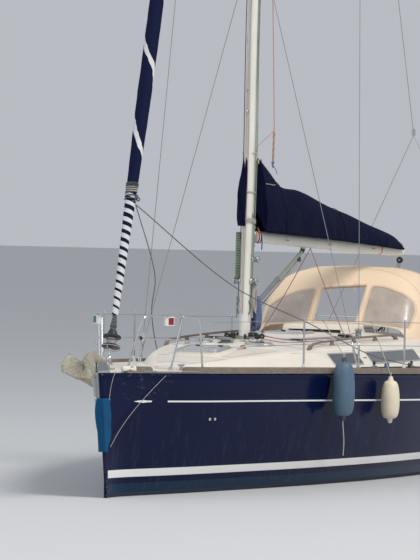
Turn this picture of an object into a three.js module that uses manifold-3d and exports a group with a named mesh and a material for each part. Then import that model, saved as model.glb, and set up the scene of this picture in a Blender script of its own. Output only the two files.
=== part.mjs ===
// Sailing yacht: a fractional sloop of about twelve metres, afloat, sails furled.
// Millimetres. +X is the bow, +Y is port, +Z is up.
// The origin is on the centreline amidships, on the plane of the water.
import * as THREE from 'three';
import { mergeVertices } from 'three/addons/utils/BufferGeometryUtils.js';
import Module from 'manifold-3d';

const wasm = await Module();
wasm.setup();

// Driving dimensions
const STEM_X = 6100;
const TRANSOM_S = 12200;
const GAP = 0.3;
const FAIRLEAD_GAP = { front: 700, aft: 1150, top: 1372 };
const HULL_WALL = 45;
const STEM_RAKE = 0.161;
const STEM_RAKE_END = 1500;
const STERN_RAKE = 0.42;
const STERN_RAKE_START = 10500;
const DECK_EDGE = 30;
const DECK_CAMBER = 0.028;
const DECK_INSET = 32;
const ROOF_WALL = 40;
const MAST_S = 4600;
const MAST_FOOT_Z = 1650;
const MAST_TOP_Z = 17300;
const MAST_RAKE = THREE.MathUtils.degToRad(1.31);
const MAST_LONG = 210;
const MAST_WIDE = 130;
const SPREADER_LOW_Z = 6450;
const SPREADER_HIGH_Z = 11600;
const STAY_FOOT = { s: 240, z: 1450 };
const STAY_TOP_Z = 16500;
const CHAINPLATE = { s: 4770, half: 1380 };
const BOOM_SWING = THREE.MathUtils.degToRad(5);
const BOOM_LENGTH = 4762;
const GOOSENECK_Z = 2870;
const STANCHION_H = 600;
const COCKPIT = { front: 8480, aft: 11500, half: 1080, seatZ: 1060, soleZ: 620 };
const COAMING = { front: 8470, aft: 11480, frontTop: 1490, aftTop: 1400, innerFoot: 1082, inner: 1110, outer: 1250, outerFoot: 1330 };
const RUDDER_S = 11150;
const RUDDER_TOP = -330;
const RUDDER_STOCK = { radius: 30, bore: 30.7, top: 520, tubeLow: -260, tubeHigh: 430, tubeRadius: 62 };
const PROP_S = 9150;
const PROP_Z = -820;
const ENGINE = { front: 8080, aft: 8860, half: 280, low: -330, top: 180 };
const ENGINE_BED = { front: 8050, aft: 8900, centre: 230, half: 45, low: -600 };

// Hull sections. s is the distance aft of the stem head. Each half section is one cubic curve
// from the keel line (0, keelZ) past (bottomHalf, keelZ) and (sideHalf, sideZ) to the sheer.
const HULL = {
  columns: ['s', 'sheerHalf', 'sheerZ', 'keelZ', 'bottomHalf', 'sideHalf', 'sideZ'],
  rows: [
    [0, 22, 1368, 0, 12, 14, 500],
    [400, 205, 1362, -150, 30, 90, 150],
    [950, 455, 1352, -300, 150, 340, 100],
    [1600, 745, 1341, -400, 300, 600, 40],
    [2400, 1050, 1330, -480, 500, 900, -20],
    [3180, 1300, 1318, -530, 700, 1180, -80],
    [4200, 1570, 1298, -570, 900, 1480, -150],
    [5430, 1800, 1270, -595, 1100, 1740, -210],
    [6800, 1935, 1240, -595, 1250, 1890, -250],
    [8200, 1970, 1212, -540, 1300, 1930, -240],
    [9600, 1920, 1188, -400, 1300, 1880, -170],
    [11000, 1790, 1170, -160, 1250, 1740, -20],
    [12200, 1640, 1160, 90, 1150, 1590, 160],
  ],
};

// Cabin roof sections: half width where it meets the deck, half width and height of the
// shoulder, and height of the crown.
const ROOF = {
  columns: ['s', 'baseHalf', 'shoulderHalf', 'shoulderZ', 'crownZ'],
  rows: [
    [1950, 220, 130, 1388, 1398],
    [2600, 540, 420, 1438, 1474],
    [3200, 790, 650, 1494, 1540],
    [4000, 1010, 850, 1538, 1597],
    [4600, 1150, 970, 1564, 1634],
    [5500, 1270, 1060, 1584, 1662],
    [6500, 1340, 1110, 1597, 1682],
    [7500, 1370, 1120, 1605, 1695],
    [8450, 1370, 1110, 1610, 1705],
  ],
};

// Radius of the furled headsail against distance up the stay from the drum.
const FURLED_SAIL = [
  [0, 34], [250, 40], [700, 47], [1250, 56], [1800, 68], [2400, 79], [4200, 80],
  [8000, 70], [12000, 52], [13900, 34],
];

// Folded mainsail cover against distance along the boom: height of its crest above the boom's
// underside, its half width, and the height of its hem above the boom's axis.
const SAIL_COVER = {
  columns: ['along', 'crest', 'half', 'hem'],
  rows: [
    [120, 1000, 120, 62], [350, 885, 140, 62], [730, 710, 160, 62], [1280, 680, 165, 60], [2030, 565, 160, 52],
    [2780, 465, 150, 44], [3450, 375, 135, 34], [4000, 300, 115, 26], [4350, 245, 95, 22], [4560, 170, 75, 20],
  ],
};

// Sprayhood hoops: station, half width at the foot, height at the centre, squareness.
const SPRAYHOOD = {
  columns: ['s', 'half', 'crown', 'foot'],
  rows: [
    [7880, 960, 1800, 1600], [8060, 1040, 2110, 1560], [8250, 1080, 2410, 1520],
    [8400, 1095, 2485, 1500], [8800, 1105, 2520, 1480], [9300, 1110, 2500, 1470],
  ],
};

const PAINT = {
  topsides: { color: 0x141c3c, roughness: 0.18, metalness: 0 },
  gelcoat: { color: 0xeae4d8, roughness: 0.35, metalness: 0 },
  wood: { color: 0x7b6a58, roughness: 0.8, metalness: 0 },
  steel: { color: 0xb9bdc0, roughness: 0.22, metalness: 1 },
  alloy: { color: 0xc9cac6, roughness: 0.45, metalness: 0.6 },
  iron: { color: 0x23272b, roughness: 0.6, metalness: 0.2 },
  glass: { color: 0x11161a, roughness: 0.08, metalness: 0 },
  navyCloth: { color: 0x1a2148, roughness: 0.85, metalness: 0 },
  tanCloth: { color: 0xd2b187, roughness: 0.85, metalness: 0 },
  whitePlastic: { color: 0xeeeeea, roughness: 0.4, metalness: 0 },
  blackPlastic: { color: 0x17181a, roughness: 0.5, metalness: 0 },
  fenderBlue: { color: 0x3d5f78, roughness: 0.55, metalness: 0 },
  fenderCream: { color: 0xe3d8c2, roughness: 0.55, metalness: 0 },
  galvanised: { color: 0xa9a287, roughness: 0.65, metalness: 0.4 },
  bronze: { color: 0x9a7340, roughness: 0.35, metalness: 1 },
  blueSheet: { color: 0x2d5c9a, roughness: 0.6, metalness: 0 },
  rope: { color: 0xc9bfa6, roughness: 0.9, metalness: 0 },
};

const group = new THREE.Group();

// Tables and small maths

function columnAt(table, column, s) {
  const c = table.columns.indexOf(column);
  const rows = table.rows;
  const last = rows.length - 1;
  if (s <= rows[0][0]) return rows[0][c];
  if (s >= rows[last][0]) return rows[last][c];
  let k = 0;
  while (s > rows[k + 1][0]) k += 1;
  const slope = (i) => {
    const a = rows[Math.max(i - 1, 0)];
    const b = rows[Math.min(i + 1, last)];
    return (b[c] - a[c]) / (b[0] - a[0]);
  };
  const width = rows[k + 1][0] - rows[k][0];
  const t = (s - rows[k][0]) / width;
  const [t2, t3] = [t * t, t * t * t];
  return (2 * t3 - 3 * t2 + 1) * rows[k][c] + (t3 - 2 * t2 + t) * width * slope(k)
    + (3 * t2 - 2 * t3) * rows[k + 1][c] + (t3 - t2) * width * slope(k + 1);
}

function rowAt(table, s) {
  return Object.fromEntries(table.columns.map((name) => [name, columnAt(table, name, s)]));
}

function range(from, to, count) {
  return Array.from({ length: count + 1 }, (_, i) => from + ((to - from) * i) / count);
}

function point(s, y, z) {
  return new THREE.Vector3(STEM_X - s, y, z);
}

// Geometry to solid and back

function solid(geometry) {
  const bare = geometry.clone();
  bare.deleteAttribute('normal');
  bare.deleteAttribute('uv');
  const merged = mergeVertices(bare, 1e-3);
  return new wasm.Manifold(new wasm.Mesh({
    numProp: 3,
    vertProperties: Float32Array.from(merged.attributes.position.array),
    triVerts: Uint32Array.from(merged.index.array),
  }));
}

function geometryOf(body) {
  const mesh = body.getMesh();
  const geometry = new THREE.BufferGeometry();
  geometry.setAttribute('position', new THREE.BufferAttribute(Float32Array.from(mesh.vertProperties), 3));
  geometry.setIndex(new THREE.BufferAttribute(Uint32Array.from(mesh.triVerts), 1));
  geometry.computeVertexNormals();
  return geometry;
}

function join(geometries) {
  return geometryOf(geometries.map(solid).reduce((sum, next) => sum.add(next)));
}

function cut(geometry, tools) {
  return geometryOf(tools.map(solid).reduce((rest, tool) => rest.subtract(tool), solid(geometry)));
}

function common(a, b) {
  return geometryOf(solid(a).intersect(solid(b)));
}

function lifted(geometry, dz = GAP) {
  return geometry.clone().translate(0, 0, dz);
}

// Every ring has the same number of points and turns the same way about the direction of travel.
function loft(rings) {
  const n = rings[0].length;
  const vertices = rings.flat();
  const centre = (ring) => ring.reduce((sum, p) => sum.add(p), new THREE.Vector3()).divideScalar(n);
  const faces = [];
  for (let r = 0; r + 1 < rings.length; r += 1) {
    for (let i = 0; i < n; i += 1) {
      const j = (i + 1) % n;
      const [a, b, c, d] = [r * n + i, r * n + j, (r + 1) * n + j, (r + 1) * n + i];
      faces.push(a, b, c, a, c, d);
    }
  }
  const startCap = vertices.push(centre(rings[0])) - 1;
  const endCap = vertices.push(centre(rings[rings.length - 1])) - 1;
  const lastRing = (rings.length - 1) * n;
  for (let i = 0; i < n; i += 1) {
    const j = (i + 1) % n;
    faces.push(startCap, j, i, endCap, lastRing + i, lastRing + j);
  }
  const geometry = new THREE.BufferGeometry();
  geometry.setAttribute('position', new THREE.Float32BufferAttribute(vertices.flatMap((p) => p.toArray()), 3));
  geometry.setIndex(faces);
  if (signedVolume(geometry) < 0) {
    const index = geometry.index.array;
    for (let f = 0; f < index.length; f += 3) [index[f], index[f + 1]] = [index[f + 1], index[f]];
  }
  geometry.computeVertexNormals();
  return geometry;
}

function signedVolume(geometry) {
  const p = geometry.attributes.position;
  const at = (i) => new THREE.Vector3().fromBufferAttribute(p, i);
  const index = geometry.index.array;
  let total = 0;
  for (let f = 0; f < index.length; f += 3) {
    total += at(index[f]).dot(at(index[f + 1]).cross(at(index[f + 2])));
  }
  return total;
}

function box(sFront, sAft, yLow, yHigh, zLow, zHigh) {
  const geometry = new THREE.BoxGeometry(sAft - sFront, yHigh - yLow, zHigh - zLow);
  geometry.translate(STEM_X - (sFront + sAft) / 2, (yLow + yHigh) / 2, (zLow + zHigh) / 2);
  return geometry;
}

function rod(a, b, radius, sides = 8, radiusB = radius) {
  const along = b.clone().sub(a);
  const geometry = new THREE.CylinderGeometry(radiusB, radius, along.length(), sides);
  geometry.applyQuaternion(new THREE.Quaternion().setFromUnitVectors(
    new THREE.Vector3(0, 1, 0), along.clone().normalize(),
  ));
  const middle = a.clone().add(b).multiplyScalar(0.5);
  geometry.translate(middle.x, middle.y, middle.z);
  return geometry;
}

function circle(radius, sides) {
  const shape = new THREE.Shape();
  const corners = range(0, 2 * Math.PI, sides).slice(0, sides);
  shape.setFromPoints(corners.map((a) => new THREE.Vector2(radius * Math.cos(a), radius * Math.sin(a))));
  return shape;
}

function tube(points, radius, steps, sides = 8) {
  const path = new THREE.CatmullRomCurve3(points, false, 'centripetal');
  return new THREE.ExtrudeGeometry(circle(radius, sides), { extrudePath: path, steps, bevelEnabled: false });
}

// A rail bent from straight lengths, with a short round at each corner.
function bentRail(points, radius, bend, sides = 6) {
  const path = new THREE.CurvePath();
  let from = points[0];
  for (let i = 1; i < points.length - 1; i += 1) {
    const [before, at, after] = [points[i - 1], points[i], points[i + 1]];
    const into = at.clone().add(before.clone().sub(at).setLength(bend));
    const outOf = at.clone().add(after.clone().sub(at).setLength(bend));
    path.add(new THREE.LineCurve3(from, into));
    path.add(new THREE.QuadraticBezierCurve3(into, at, outOf));
    from = outOf;
  }
  path.add(new THREE.LineCurve3(from, points[points.length - 1]));
  const samples = path.curves.flatMap((curve) => curve.getPoints(curve.isLineCurve3 ? 1 : 3).slice(1));
  const spine = [points[0], ...samples];
  return sweep(spine, () => radius, sides);
}

// Round section carried along a list of points without twisting.
function sweep(spine, radiusAt, sides) {
  const rings = [];
  const tangentAt = (i) => spine[Math.min(i + 1, spine.length - 1)].clone()
    .sub(spine[Math.max(i - 1, 0)]).normalize();
  let side = new THREE.Vector3(0, 0, 1);
  if (Math.abs(tangentAt(0).z) > 0.9) side = new THREE.Vector3(1, 0, 0);
  for (let i = 0; i < spine.length; i += 1) {
    const tangent = tangentAt(i);
    side = side.clone().sub(tangent.clone().multiplyScalar(side.dot(tangent))).normalize();
    const other = new THREE.Vector3().crossVectors(tangent, side);
    rings.push(range(0, 2 * Math.PI, sides).slice(0, sides).map((angle) => spine[i].clone()
      .addScaledVector(side, radiusAt(i) * Math.cos(angle))
      .addScaledVector(other, radiusAt(i) * Math.sin(angle))));
  }
  return loft(rings);
}

function mirrored(geometry) {
  const copy = geometry.clone();
  copy.scale(1, -1, 1);
  if (!copy.index) return copy;
  const index = copy.index.array;
  for (let f = 0; f < index.length; f += 3) [index[f], index[f + 1]] = [index[f + 1], index[f]];
  copy.computeVertexNormals();
  return copy;
}

function add(name, geometry, paint, parent = group) {
  const mesh = new THREE.Mesh(geometry, new THREE.MeshStandardMaterial(PAINT[paint]));
  mesh.name = name;
  parent.add(mesh);
  return mesh;
}

function addPair(name, geometry, paint, surface = null) {
  const seat = (piece) => (surface ? cut(piece, [lifted(surface)]) : piece);
  add(`${name}_port`, seat(geometry), paint);
  add(`${name}_starboard`, seat(mirrored(geometry)), paint);
}

// Hull, its inner skin and the lines that the deck follows

function hullPoint(s, t, inset = 0) {
  const row = rowAt(HULL, s);
  const [a, b, c, d] = [(1 - t) ** 3, 3 * t * (1 - t) ** 2, 3 * t * t * (1 - t), t ** 3];
  const keel = row.keelZ + inset;
  const y = Math.max(0, b * (row.bottomHalf - inset) + c * (row.sideHalf - inset) + d * (row.sheerHalf - inset));
  const z = (a + b) * keel + c * row.sideZ + d * row.sheerZ;
  const bow = STEM_RAKE * (row.sheerZ - z) * Math.max(0, 1 - s / STEM_RAKE_END);
  const astern = Math.max(0, (s - STERN_RAKE_START) / (TRANSOM_S - STERN_RAKE_START)) ** 2;
  const stern = -STERN_RAKE * (z - row.keelZ) * astern;
  return { s: s + bow + stern, y, z };
}

// The raked stern carries the top of each after section forward of its foot.
function sternShift(s) {
  const astern = Math.max(0, (s - STERN_RAKE_START) / (TRANSOM_S - STERN_RAKE_START)) ** 2;
  return STERN_RAKE * (columnAt(HULL, 'sheerZ', s) - columnAt(HULL, 'keelZ', s)) * astern;
}

function sheerAt(s) {
  let section = s;
  for (let i = 0; i < 30; i += 1) section = s + sternShift(section);
  return { half: columnAt(HULL, 'sheerHalf', section), z: columnAt(HULL, 'sheerZ', section) };
}

function deckTop(s, y) {
  const sheer = sheerAt(s);
  return sheer.z + DECK_EDGE + DECK_CAMBER * sheer.half * (1 - (y / sheer.half) ** 2);
}

function hullLoft(stations, inset, steps, rise) {
  return loft(stations.map((s) => {
    const half = range(0, 1, steps).map((t) => hullPoint(s, t, inset));
    const top = half[half.length - 1];
    const port = half.map((p) => point(p.s, p.y, p.z));
    const starboard = half.slice(1).reverse().map((p) => point(p.s, -p.y, p.z));
    if (rise === 0) return [...port, ...starboard];
    return [...port, point(top.s, top.y, top.z + rise), point(top.s, -top.y, top.z + rise), ...starboard];
  }));
}

const HULL_STATIONS = [0, 130, 330, 650, 1050, 1600, 2250, 3000, 3900, 5000, 6200, 7400, 8600, 9800, 10700,
  11400, TRANSOM_S];
const INNER_STATIONS = [450, 750, 1150, 1700, 2500, 3500, 4800, 6200, 7600, 9000, 10300, 11300, 12050];
const DECK_STATIONS = HULL_STATIONS.slice(1, -1).map((s) => s - sternShift(s));
DECK_STATIONS.push(TRANSOM_S - sternShift(TRANSOM_S) - 50);

function hullOuter() {
  return hullLoft(HULL_STATIONS, 0, 10, 0);
}

const outer = hullOuter();

function buildHull() {
  const inner = hullLoft(INNER_STATIONS, HULL_WALL, 6, 60);
  const { tubeLow, tubeHigh, tubeRadius, bore: stockBore, top } = RUDDER_STOCK;
  const stockTube = rod(point(RUDDER_S, 0, tubeLow), point(RUDDER_S, 0, tubeHigh), tubeRadius, 12);
  const beds = [-1, 1].map((side) => {
    const centre = side * ENGINE_BED.centre;
    return common(box(ENGINE_BED.front, ENGINE_BED.aft, centre - ENGINE_BED.half, centre + ENGINE_BED.half,
      ENGINE_BED.low, ENGINE.low), outer);
  });
  const shell = join([cut(outer, [inner]), common(stockTube, outer), ...beds]);
  return cut(shell, [rod(point(RUDDER_S, 0, 2 * RUDDER_TOP), point(RUDDER_S, 0, top), stockBore, 16)]);
}

add('hull', buildHull(), 'topsides');

// Deck moulding with the cabin roof, coamings and hatch openings

const hatchSpecs = [
  { name: 'fore_hatch_lid', s: 3190, y: 0, long: 520, wide: 520, round: 60 },
  { name: 'saloon_hatch_lid', s: 6200, y: 0, long: 480, wide: 520, round: 50 },
  { name: 'small_hatch_lid_port', s: 4060, y: 380, long: 260, wide: 330, round: 120 },
  { name: 'small_hatch_lid_starboard', s: 4060, y: -380, long: 260, wide: 330, round: 120 },
];

function roofTop(s, y) {
  const row = rowAt(ROOF, s);
  const t = Math.min(1, Math.abs(y) / row.shoulderHalf);
  return row.crownZ - (row.crownZ - row.shoulderZ) * t * t;
}

function roofRing(s, inset, footDrop) {
  const row = rowAt(ROOF, s);
  const foot = sheerAt(s).z + footDrop;
  const shoulder = row.shoulderHalf - inset;
  const crown = [-1, -0.6, -0.2, 0.2, 0.6, 1].map((t) => {
    const z = row.crownZ - inset - (row.crownZ - row.shoulderZ) * t * t;
    return point(s, t * shoulder, z);
  });
  return [point(s, -(row.baseHalf - inset), foot), ...crown, point(s, row.baseHalf - inset, foot)];
}

function roundedPlate(long, wide, round, thick) {
  const [x, y] = [long / 2, wide / 2];
  const shape = new THREE.Shape();
  shape.moveTo(-x + round, -y);
  shape.lineTo(x - round, -y);
  shape.absarc(x - round, -y + round, round, -Math.PI / 2, 0, false);
  shape.lineTo(x, y - round);
  shape.absarc(x - round, y - round, round, 0, Math.PI / 2, false);
  shape.lineTo(-x + round, y);
  shape.absarc(-x + round, y - round, round, Math.PI / 2, Math.PI, false);
  shape.lineTo(-x, -y + round);
  shape.absarc(-x + round, -y + round, round, Math.PI, 1.5 * Math.PI, false);
  return new THREE.ExtrudeGeometry(shape, { depth: thick, bevelEnabled: false, curveSegments: 2 });
}

// A hatch sits in its own plane, which follows the slope and crown of the roof under it.
function hatchPlane(spec) {
  const reach = 150;
  const z = roofTop(spec.s, spec.y);
  const fore = (roofTop(spec.s - reach, spec.y) - roofTop(spec.s + reach, spec.y)) / (2 * reach);
  const side = (roofTop(spec.s, spec.y + reach) - roofTop(spec.s, spec.y - reach)) / (2 * reach);
  const normal = new THREE.Vector3(-fore, -side, 1).normalize();
  const turn = new THREE.Quaternion().setFromUnitVectors(new THREE.Vector3(0, 0, 1), normal);
  return new THREE.Matrix4().compose(point(spec.s, spec.y, z + 14), turn, new THREE.Vector3(1, 1, 1));
}

function hatchPiece(spec, grow, zLow, zHigh) {
  const plate = roundedPlate(spec.long + grow, spec.wide + grow, spec.round + grow / 2, zHigh - zLow);
  return plate.translate(0, 0, zLow).applyMatrix4(hatchPlane(spec));
}

function companionTools() {
  return {
    doorway: box(8380, 8560, -330, 330, 1090, 1760),
    slideWay: box(7860, 8560, -330, 330, 1500, 1790),
  };
}

const RAIL_TOP = 1725;
const ROOF_AFT = 8450;
const HATCH_SLIDE = { front: 7900, aft: 8470, half: 362 };
const GARAGE = { front: 7180, aft: 7880, half: 420, top: 1790, wall: 40, roof: 20 };
const SLIDE_RAIL = { aft: 8445, inner: 345, low: 1640 };
const MAST_STEP = { long: 340, wide: 250, high: 60 };
const LOCKER_LIP = 40;
const SEAT_LOCKER = { front: 8750, aft: 9950, inner: 480, outer: 860, floor: 760, lap: 30, lid: 25 };

function coaming(side) {
  const { innerFoot, inner, outer: outside, outerFoot } = COAMING;
  return loft(range(COAMING.front, COAMING.aft, 4).map((s) => {
    const foot = deckTop(s, outside) - 40;
    const top = coamingTop(s);
    return [point(s, side * innerFoot, foot), point(s, side * inner, top), point(s, side * outside, top),
      point(s, side * outerFoot, foot)];
  }));
}

function coamingTop(s) {
  return THREE.MathUtils.mapLinear(s, COAMING.front, COAMING.aft, COAMING.frontTop, COAMING.aftTop);
}

const roofStations = [1950, 2300, 2750, 3250, 4000, 4900, 6000, 7200, ROOF_AFT];
const roofOuter = loft(roofStations.map((s) => roofRing(s, 0, 5)));
const roofInner = loft([2400, ...roofStations.slice(3, -1), ROOF_AFT - ROOF_WALL]
  .map((s) => roofRing(s, ROOF_WALL, -60)));

function deckRing(s, inset = DECK_INSET) {
  const sheer = sheerAt(s);
  const half = sheer.half - inset;
  const top = [-1, -0.6, -0.2, 0.2, 0.6, 1].map((t) => point(s, t * half, deckTop(s, t * half)));
  return [point(s, -half, sheer.z + GAP), ...top, point(s, half, sheer.z + GAP)];
}

// Side windows: front and aft end at the lower edge and the rake of both ends.
const windowSpecs = [
  { front: 4700, aft: 5500 }, { front: 5790, aft: 7560 },
];
const WINDOW = { low: 1372, high: 1498, rake: 45 };

function windowPrism(spec, side, shrink) {
  const [low, high] = [WINDOW.low + shrink, WINDOW.high - shrink];
  const ring = (y) => [
    point(spec.front + shrink, y, low), point(spec.aft - shrink, y, low),
    point(spec.aft - shrink - WINDOW.rake, y, high), point(spec.front + shrink - WINDOW.rake, y, high),
  ];
  return loft([ring(side * 900), ring(side * 1500)]);
}

const LOCKER = { front: 560, aft: 1120, half: 170 };

const deckPlate = loft(DECK_STATIONS.map((s) => deckRing(s)));

function buildDeck() {
  return cut(join([deckPlate, coaming(1), coaming(-1)]), [
    roofInner,
    ...Object.values(companionTools()),
    box(COCKPIT.front, COCKPIT.aft, -COCKPIT.half, COCKPIT.half, 1000, 1700),
    box(LOCKER.front + LOCKER_LIP, LOCKER.aft - LOCKER_LIP, -LOCKER.half + LOCKER_LIP, LOCKER.half - LOCKER_LIP,
      1300, 1600),
  ]);
}

add('deck', buildDeck(), 'gelcoat');

// Cabin roof standing on the deck, with the slide rails, the mast step and raised hatch rims.
function buildCoachroof() {
  const rails = [-1, 1].map((side) => box(GARAGE.front, SLIDE_RAIL.aft,
    Math.min(side * SLIDE_RAIL.inner, side * GARAGE.half), Math.max(side * SLIDE_RAIL.inner, side * GARAGE.half),
    SLIDE_RAIL.low, RAIL_TOP));
  const { long, wide, high } = MAST_STEP;
  const mastStep = roundedPlate(long, wide, high, high).translate(STEM_X - MAST_S, 0, MAST_FOOT_Z - high - GAP);
  const rims = hatchSpecs.map((spec) => hatchPiece(spec, 50, -45, 0));
  const tools = [
    roofInner,
    lifted(join([deckPlate, coaming(1), coaming(-1)])),
    ...hatchSpecs.map((spec) => hatchPiece(spec, -60, -160, 60)),
    ...Object.values(companionTools()),
  ];
  for (const side of [-1, 1]) {
    for (const spec of windowSpecs) tools.push(windowPrism(spec, side, 0));
  }
  return cut(join([roofOuter, ...rims, ...rails, mastStep]), tools);
}

add('coachroof', buildCoachroof(), 'gelcoat');

for (const [side, word] of [[1, 'port'], [-1, 'starboard']]) {
  const wall = solid(roofOuter).subtract(solid(roofInner));
  windowSpecs.forEach((spec, i) => {
    const pane = wall.intersect(solid(windowPrism(spec, side, GAP)));
    add(`portlight_${i + 1}_${word}`, geometryOf(pane), 'glass');
  });
}

for (const spec of hatchSpecs) {
  add(spec.name, hatchPiece(spec, 0, GAP, 34), 'glass');
}

function buildLockerLid() {
  const lap = LOCKER_LIP / 2;
  const across = [-1, -0.33, 0.33, 1].map((t) => t * (LOCKER.half + lap));
  return loft(range(LOCKER.front - lap, LOCKER.aft + lap, 3).map((s) => [
    ...across.map((y) => point(s, y, deckTop(s, y) + 22)),
    ...[...across].reverse().map((y) => point(s, y, deckTop(s, y) - 8)),
  ]));
}

// A piece whose feet reach a little under the surface is trimmed to stand on it.
function seatedOn(surface, geometry) {
  return cut(geometry, [lifted(surface)]);
}

add('anchor_locker_lid', seatedOn(deckPlate, buildLockerLid()), 'gelcoat');

// Companionway: sliding hatch, its garage and the washboard

function buildGarage() {
  const shell = box(GARAGE.front, GARAGE.aft, -GARAGE.half, GARAGE.half, RAIL_TOP + GAP, GARAGE.top);
  const inside = GARAGE.half - GARAGE.wall;
  const hollow = box(GARAGE.front + 30, GARAGE.aft + 10, -inside, inside, SLIDE_RAIL.low, GARAGE.top - GARAGE.roof);
  return cut(shell, [hollow]);
}

add('hatch_garage', buildGarage(), 'gelcoat');
add('sliding_hatch', box(HATCH_SLIDE.front, HATCH_SLIDE.aft, -HATCH_SLIDE.half, HATCH_SLIDE.half,
  RAIL_TOP + GAP, 1757), 'glass');
add('washboard', box(8412, 8438, -330 + GAP, 330 - GAP, 1090 + GAP, RAIL_TOP - 6), 'glass');

// Cockpit: one moulding let into the deck

function buildCockpit() {
  const { front, aft, half, seatZ, soleZ } = COCKPIT;
  const rim = deckTop(aft, half) - 12;
  const block = box(front + GAP, aft - GAP, -half + GAP, half - GAP, soleZ - 60, rim);
  const inside = hullLoft(INNER_STATIONS, HULL_WALL + 8, 6, 400);
  const fitted = common(block, inside);
  const lockers = [-1, 1].map((side) => box(SEAT_LOCKER.front, SEAT_LOCKER.aft,
    Math.min(side * SEAT_LOCKER.inner, side * SEAT_LOCKER.outer),
    Math.max(side * SEAT_LOCKER.inner, side * SEAT_LOCKER.outer), SEAT_LOCKER.floor, seatZ + 10));
  return cut(fitted, [
    box(front - 10, aft - 40, -half + 40, half - 40, seatZ, rim + 100),
    box(front + 40, 10350, -350, 350, soleZ, rim + 100),
    box(10340, 11130, -700, 700, soleZ, rim + 100),
    box(front - 10, front + 100, -330, 330, 1090, rim + 100),
    ...lockers,
  ]);
}

add('cockpit', buildCockpit(), 'gelcoat');

for (const [side, word] of [[1, 'port'], [-1, 'starboard']]) {
  const { front, aft, inner, outer: outside, lap, lid } = SEAT_LOCKER;
  const [near, far] = [side * (inner - lap), side * (outside + lap)];
  add(`seat_locker_lid_${word}`, box(front - lap, aft + lap, Math.min(near, far), Math.max(near, far),
    COCKPIT.seatZ + GAP, COCKPIT.seatZ + lid), 'gelcoat');
}

// Toe rails along the sheer

function buildToeRail(side) {
  const stations = DECK_STATIONS.slice(1);
  const { front, aft, top } = FAIRLEAD_GAP;
  return cut(loft(stations.map((s) => {
    const sheer = sheerAt(s);
    const [inner, outerEdge] = [sheer.half - DECK_INSET + GAP, sheer.half + 8];
    const [low, high] = [sheer.z + GAP, sheer.z + 72];
    return [point(s, side * inner, low), point(s, side * outerEdge, low),
      point(s, side * (outerEdge - 4), high), point(s, side * (inner + 2), high)];
  })), [box(front, aft, -1000, 1000, top, top + 100)]);
}

for (const [side, word] of [[1, 'port'], [-1, 'starboard']]) {
  add(`toe_rail_${word}`, buildToeRail(side), 'wood');
}

// Keel, rudder, saildrive and propeller

function foilRing(centreS, z, chord, thick, points = 14) {
  return range(0, 2 * Math.PI, points).slice(0, points).map((a) => {
    const along = 0.5 - 0.5 * Math.cos(a);
    const half = 0.5 * thick * Math.sin(a) * (1.45 * Math.sqrt(Math.max(along, 0.0004)) * (1.25 - along) + 0.02) * 1.6;
    return point(centreS - chord / 2 + along * chord, half, z);
  });
}

const KEEL = { s: 6650, root: -430, foot: -1760, bulbZ: -1850, bulbRadius: 150, bulbLong: 2500, flatZ: -1970 };

function buildKeel() {
  const fin = loft([
    foilRing(KEEL.s, KEEL.root, 1750, 190), foilRing(KEEL.s + 60, -1000, 1560, 170),
    foilRing(KEEL.s + 130, KEEL.foot - 60, 1350, 150),
  ]);
  const bulb = loft(range(0, 1, 10).map((t) => {
    const s = KEEL.s + 250 - KEEL.bulbLong / 2 + t * KEEL.bulbLong;
    const r = KEEL.bulbRadius * Math.max(0.06, Math.sin(Math.PI * Math.min(1, t * 0.94 + 0.03)) ** 0.6);
    return range(0, 2 * Math.PI, 12).slice(0, 12).map((a) => point(s, 1.5 * r * Math.cos(a),
      Math.max(KEEL.flatZ, KEEL.bulbZ + r * Math.sin(a))));
  }));
  return cut(join([fin, bulb]), [lifted(outer, -GAP)]);
}

add('keel', buildKeel(), 'iron');

function buildRudder() {
  const centre = RUDDER_S + 120;
  const blade = loft([
    foilRing(centre, RUDDER_TOP, 620, 90), foilRing(centre, -1000, 560, 80), foilRing(centre - 20, -1700, 420, 60),
  ]);
  return join([blade, rod(point(RUDDER_S, 0, RUDDER_TOP - 300), point(RUDDER_S, 0, RUDDER_STOCK.top),
    RUDDER_STOCK.radius, 16)]);
}

add('rudder', buildRudder(), 'iron');

function buildSaildrive() {
  const leg = loft([
    foilRing(PROP_S - 330, -420, 300, 110), foilRing(PROP_S - 300, PROP_Z + 20, 300, 100),
  ]);
  const pod = rod(point(PROP_S - 480, 0, PROP_Z), point(PROP_S - 60, 0, PROP_Z), 48, 14, 60);
  return cut(join([leg, pod]), [lifted(outer, -GAP),
    rod(point(PROP_S - 160, 0, PROP_Z), point(PROP_S, 0, PROP_Z), 16, 12)]);
}

add('saildrive', buildSaildrive(), 'alloy');

function buildPropeller() {
  const parts = [
    rod(point(PROP_S - 59, 0, PROP_Z), point(PROP_S + 40, 0, PROP_Z), 52, 14, 34),
    rod(point(PROP_S - 150, 0, PROP_Z), point(PROP_S, 0, PROP_Z), 15.3, 12),
  ];
  for (const turn of [0, 1, 2]) {
    const blade = loft([[30, 60, 34], [110, 110, 26], [180, 90, 18], [225, 30, 8]].map(([r, chord, pitch]) => {
      const angle = THREE.MathUtils.degToRad(pitch + 20);
      return [[-0.5, -4], [0.5, -4], [0.5, 4], [-0.5, 4]].map(([u, w]) => new THREE.Vector3(
        u * chord * Math.sin(angle) + w * Math.cos(angle), u * chord * Math.cos(angle) - w * Math.sin(angle), r,
      ));
    }));
    blade.rotateX((turn * 2 * Math.PI) / 3);
    blade.translate(STEM_X - PROP_S + 10, 0, PROP_Z);
    parts.push(blade);
  }
  return join(parts);
}

add('propeller', buildPropeller(), 'bronze');
add('engine_block', box(ENGINE.front, ENGINE.aft, -ENGINE.half, ENGINE.half, ENGINE.low + GAP, ENGINE.top), 'iron');

// Bow fittings: stemhead with its roller, anchor and bow guard

const ROLLER = { s: -150, z: 1440, radius: 40 };

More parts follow.
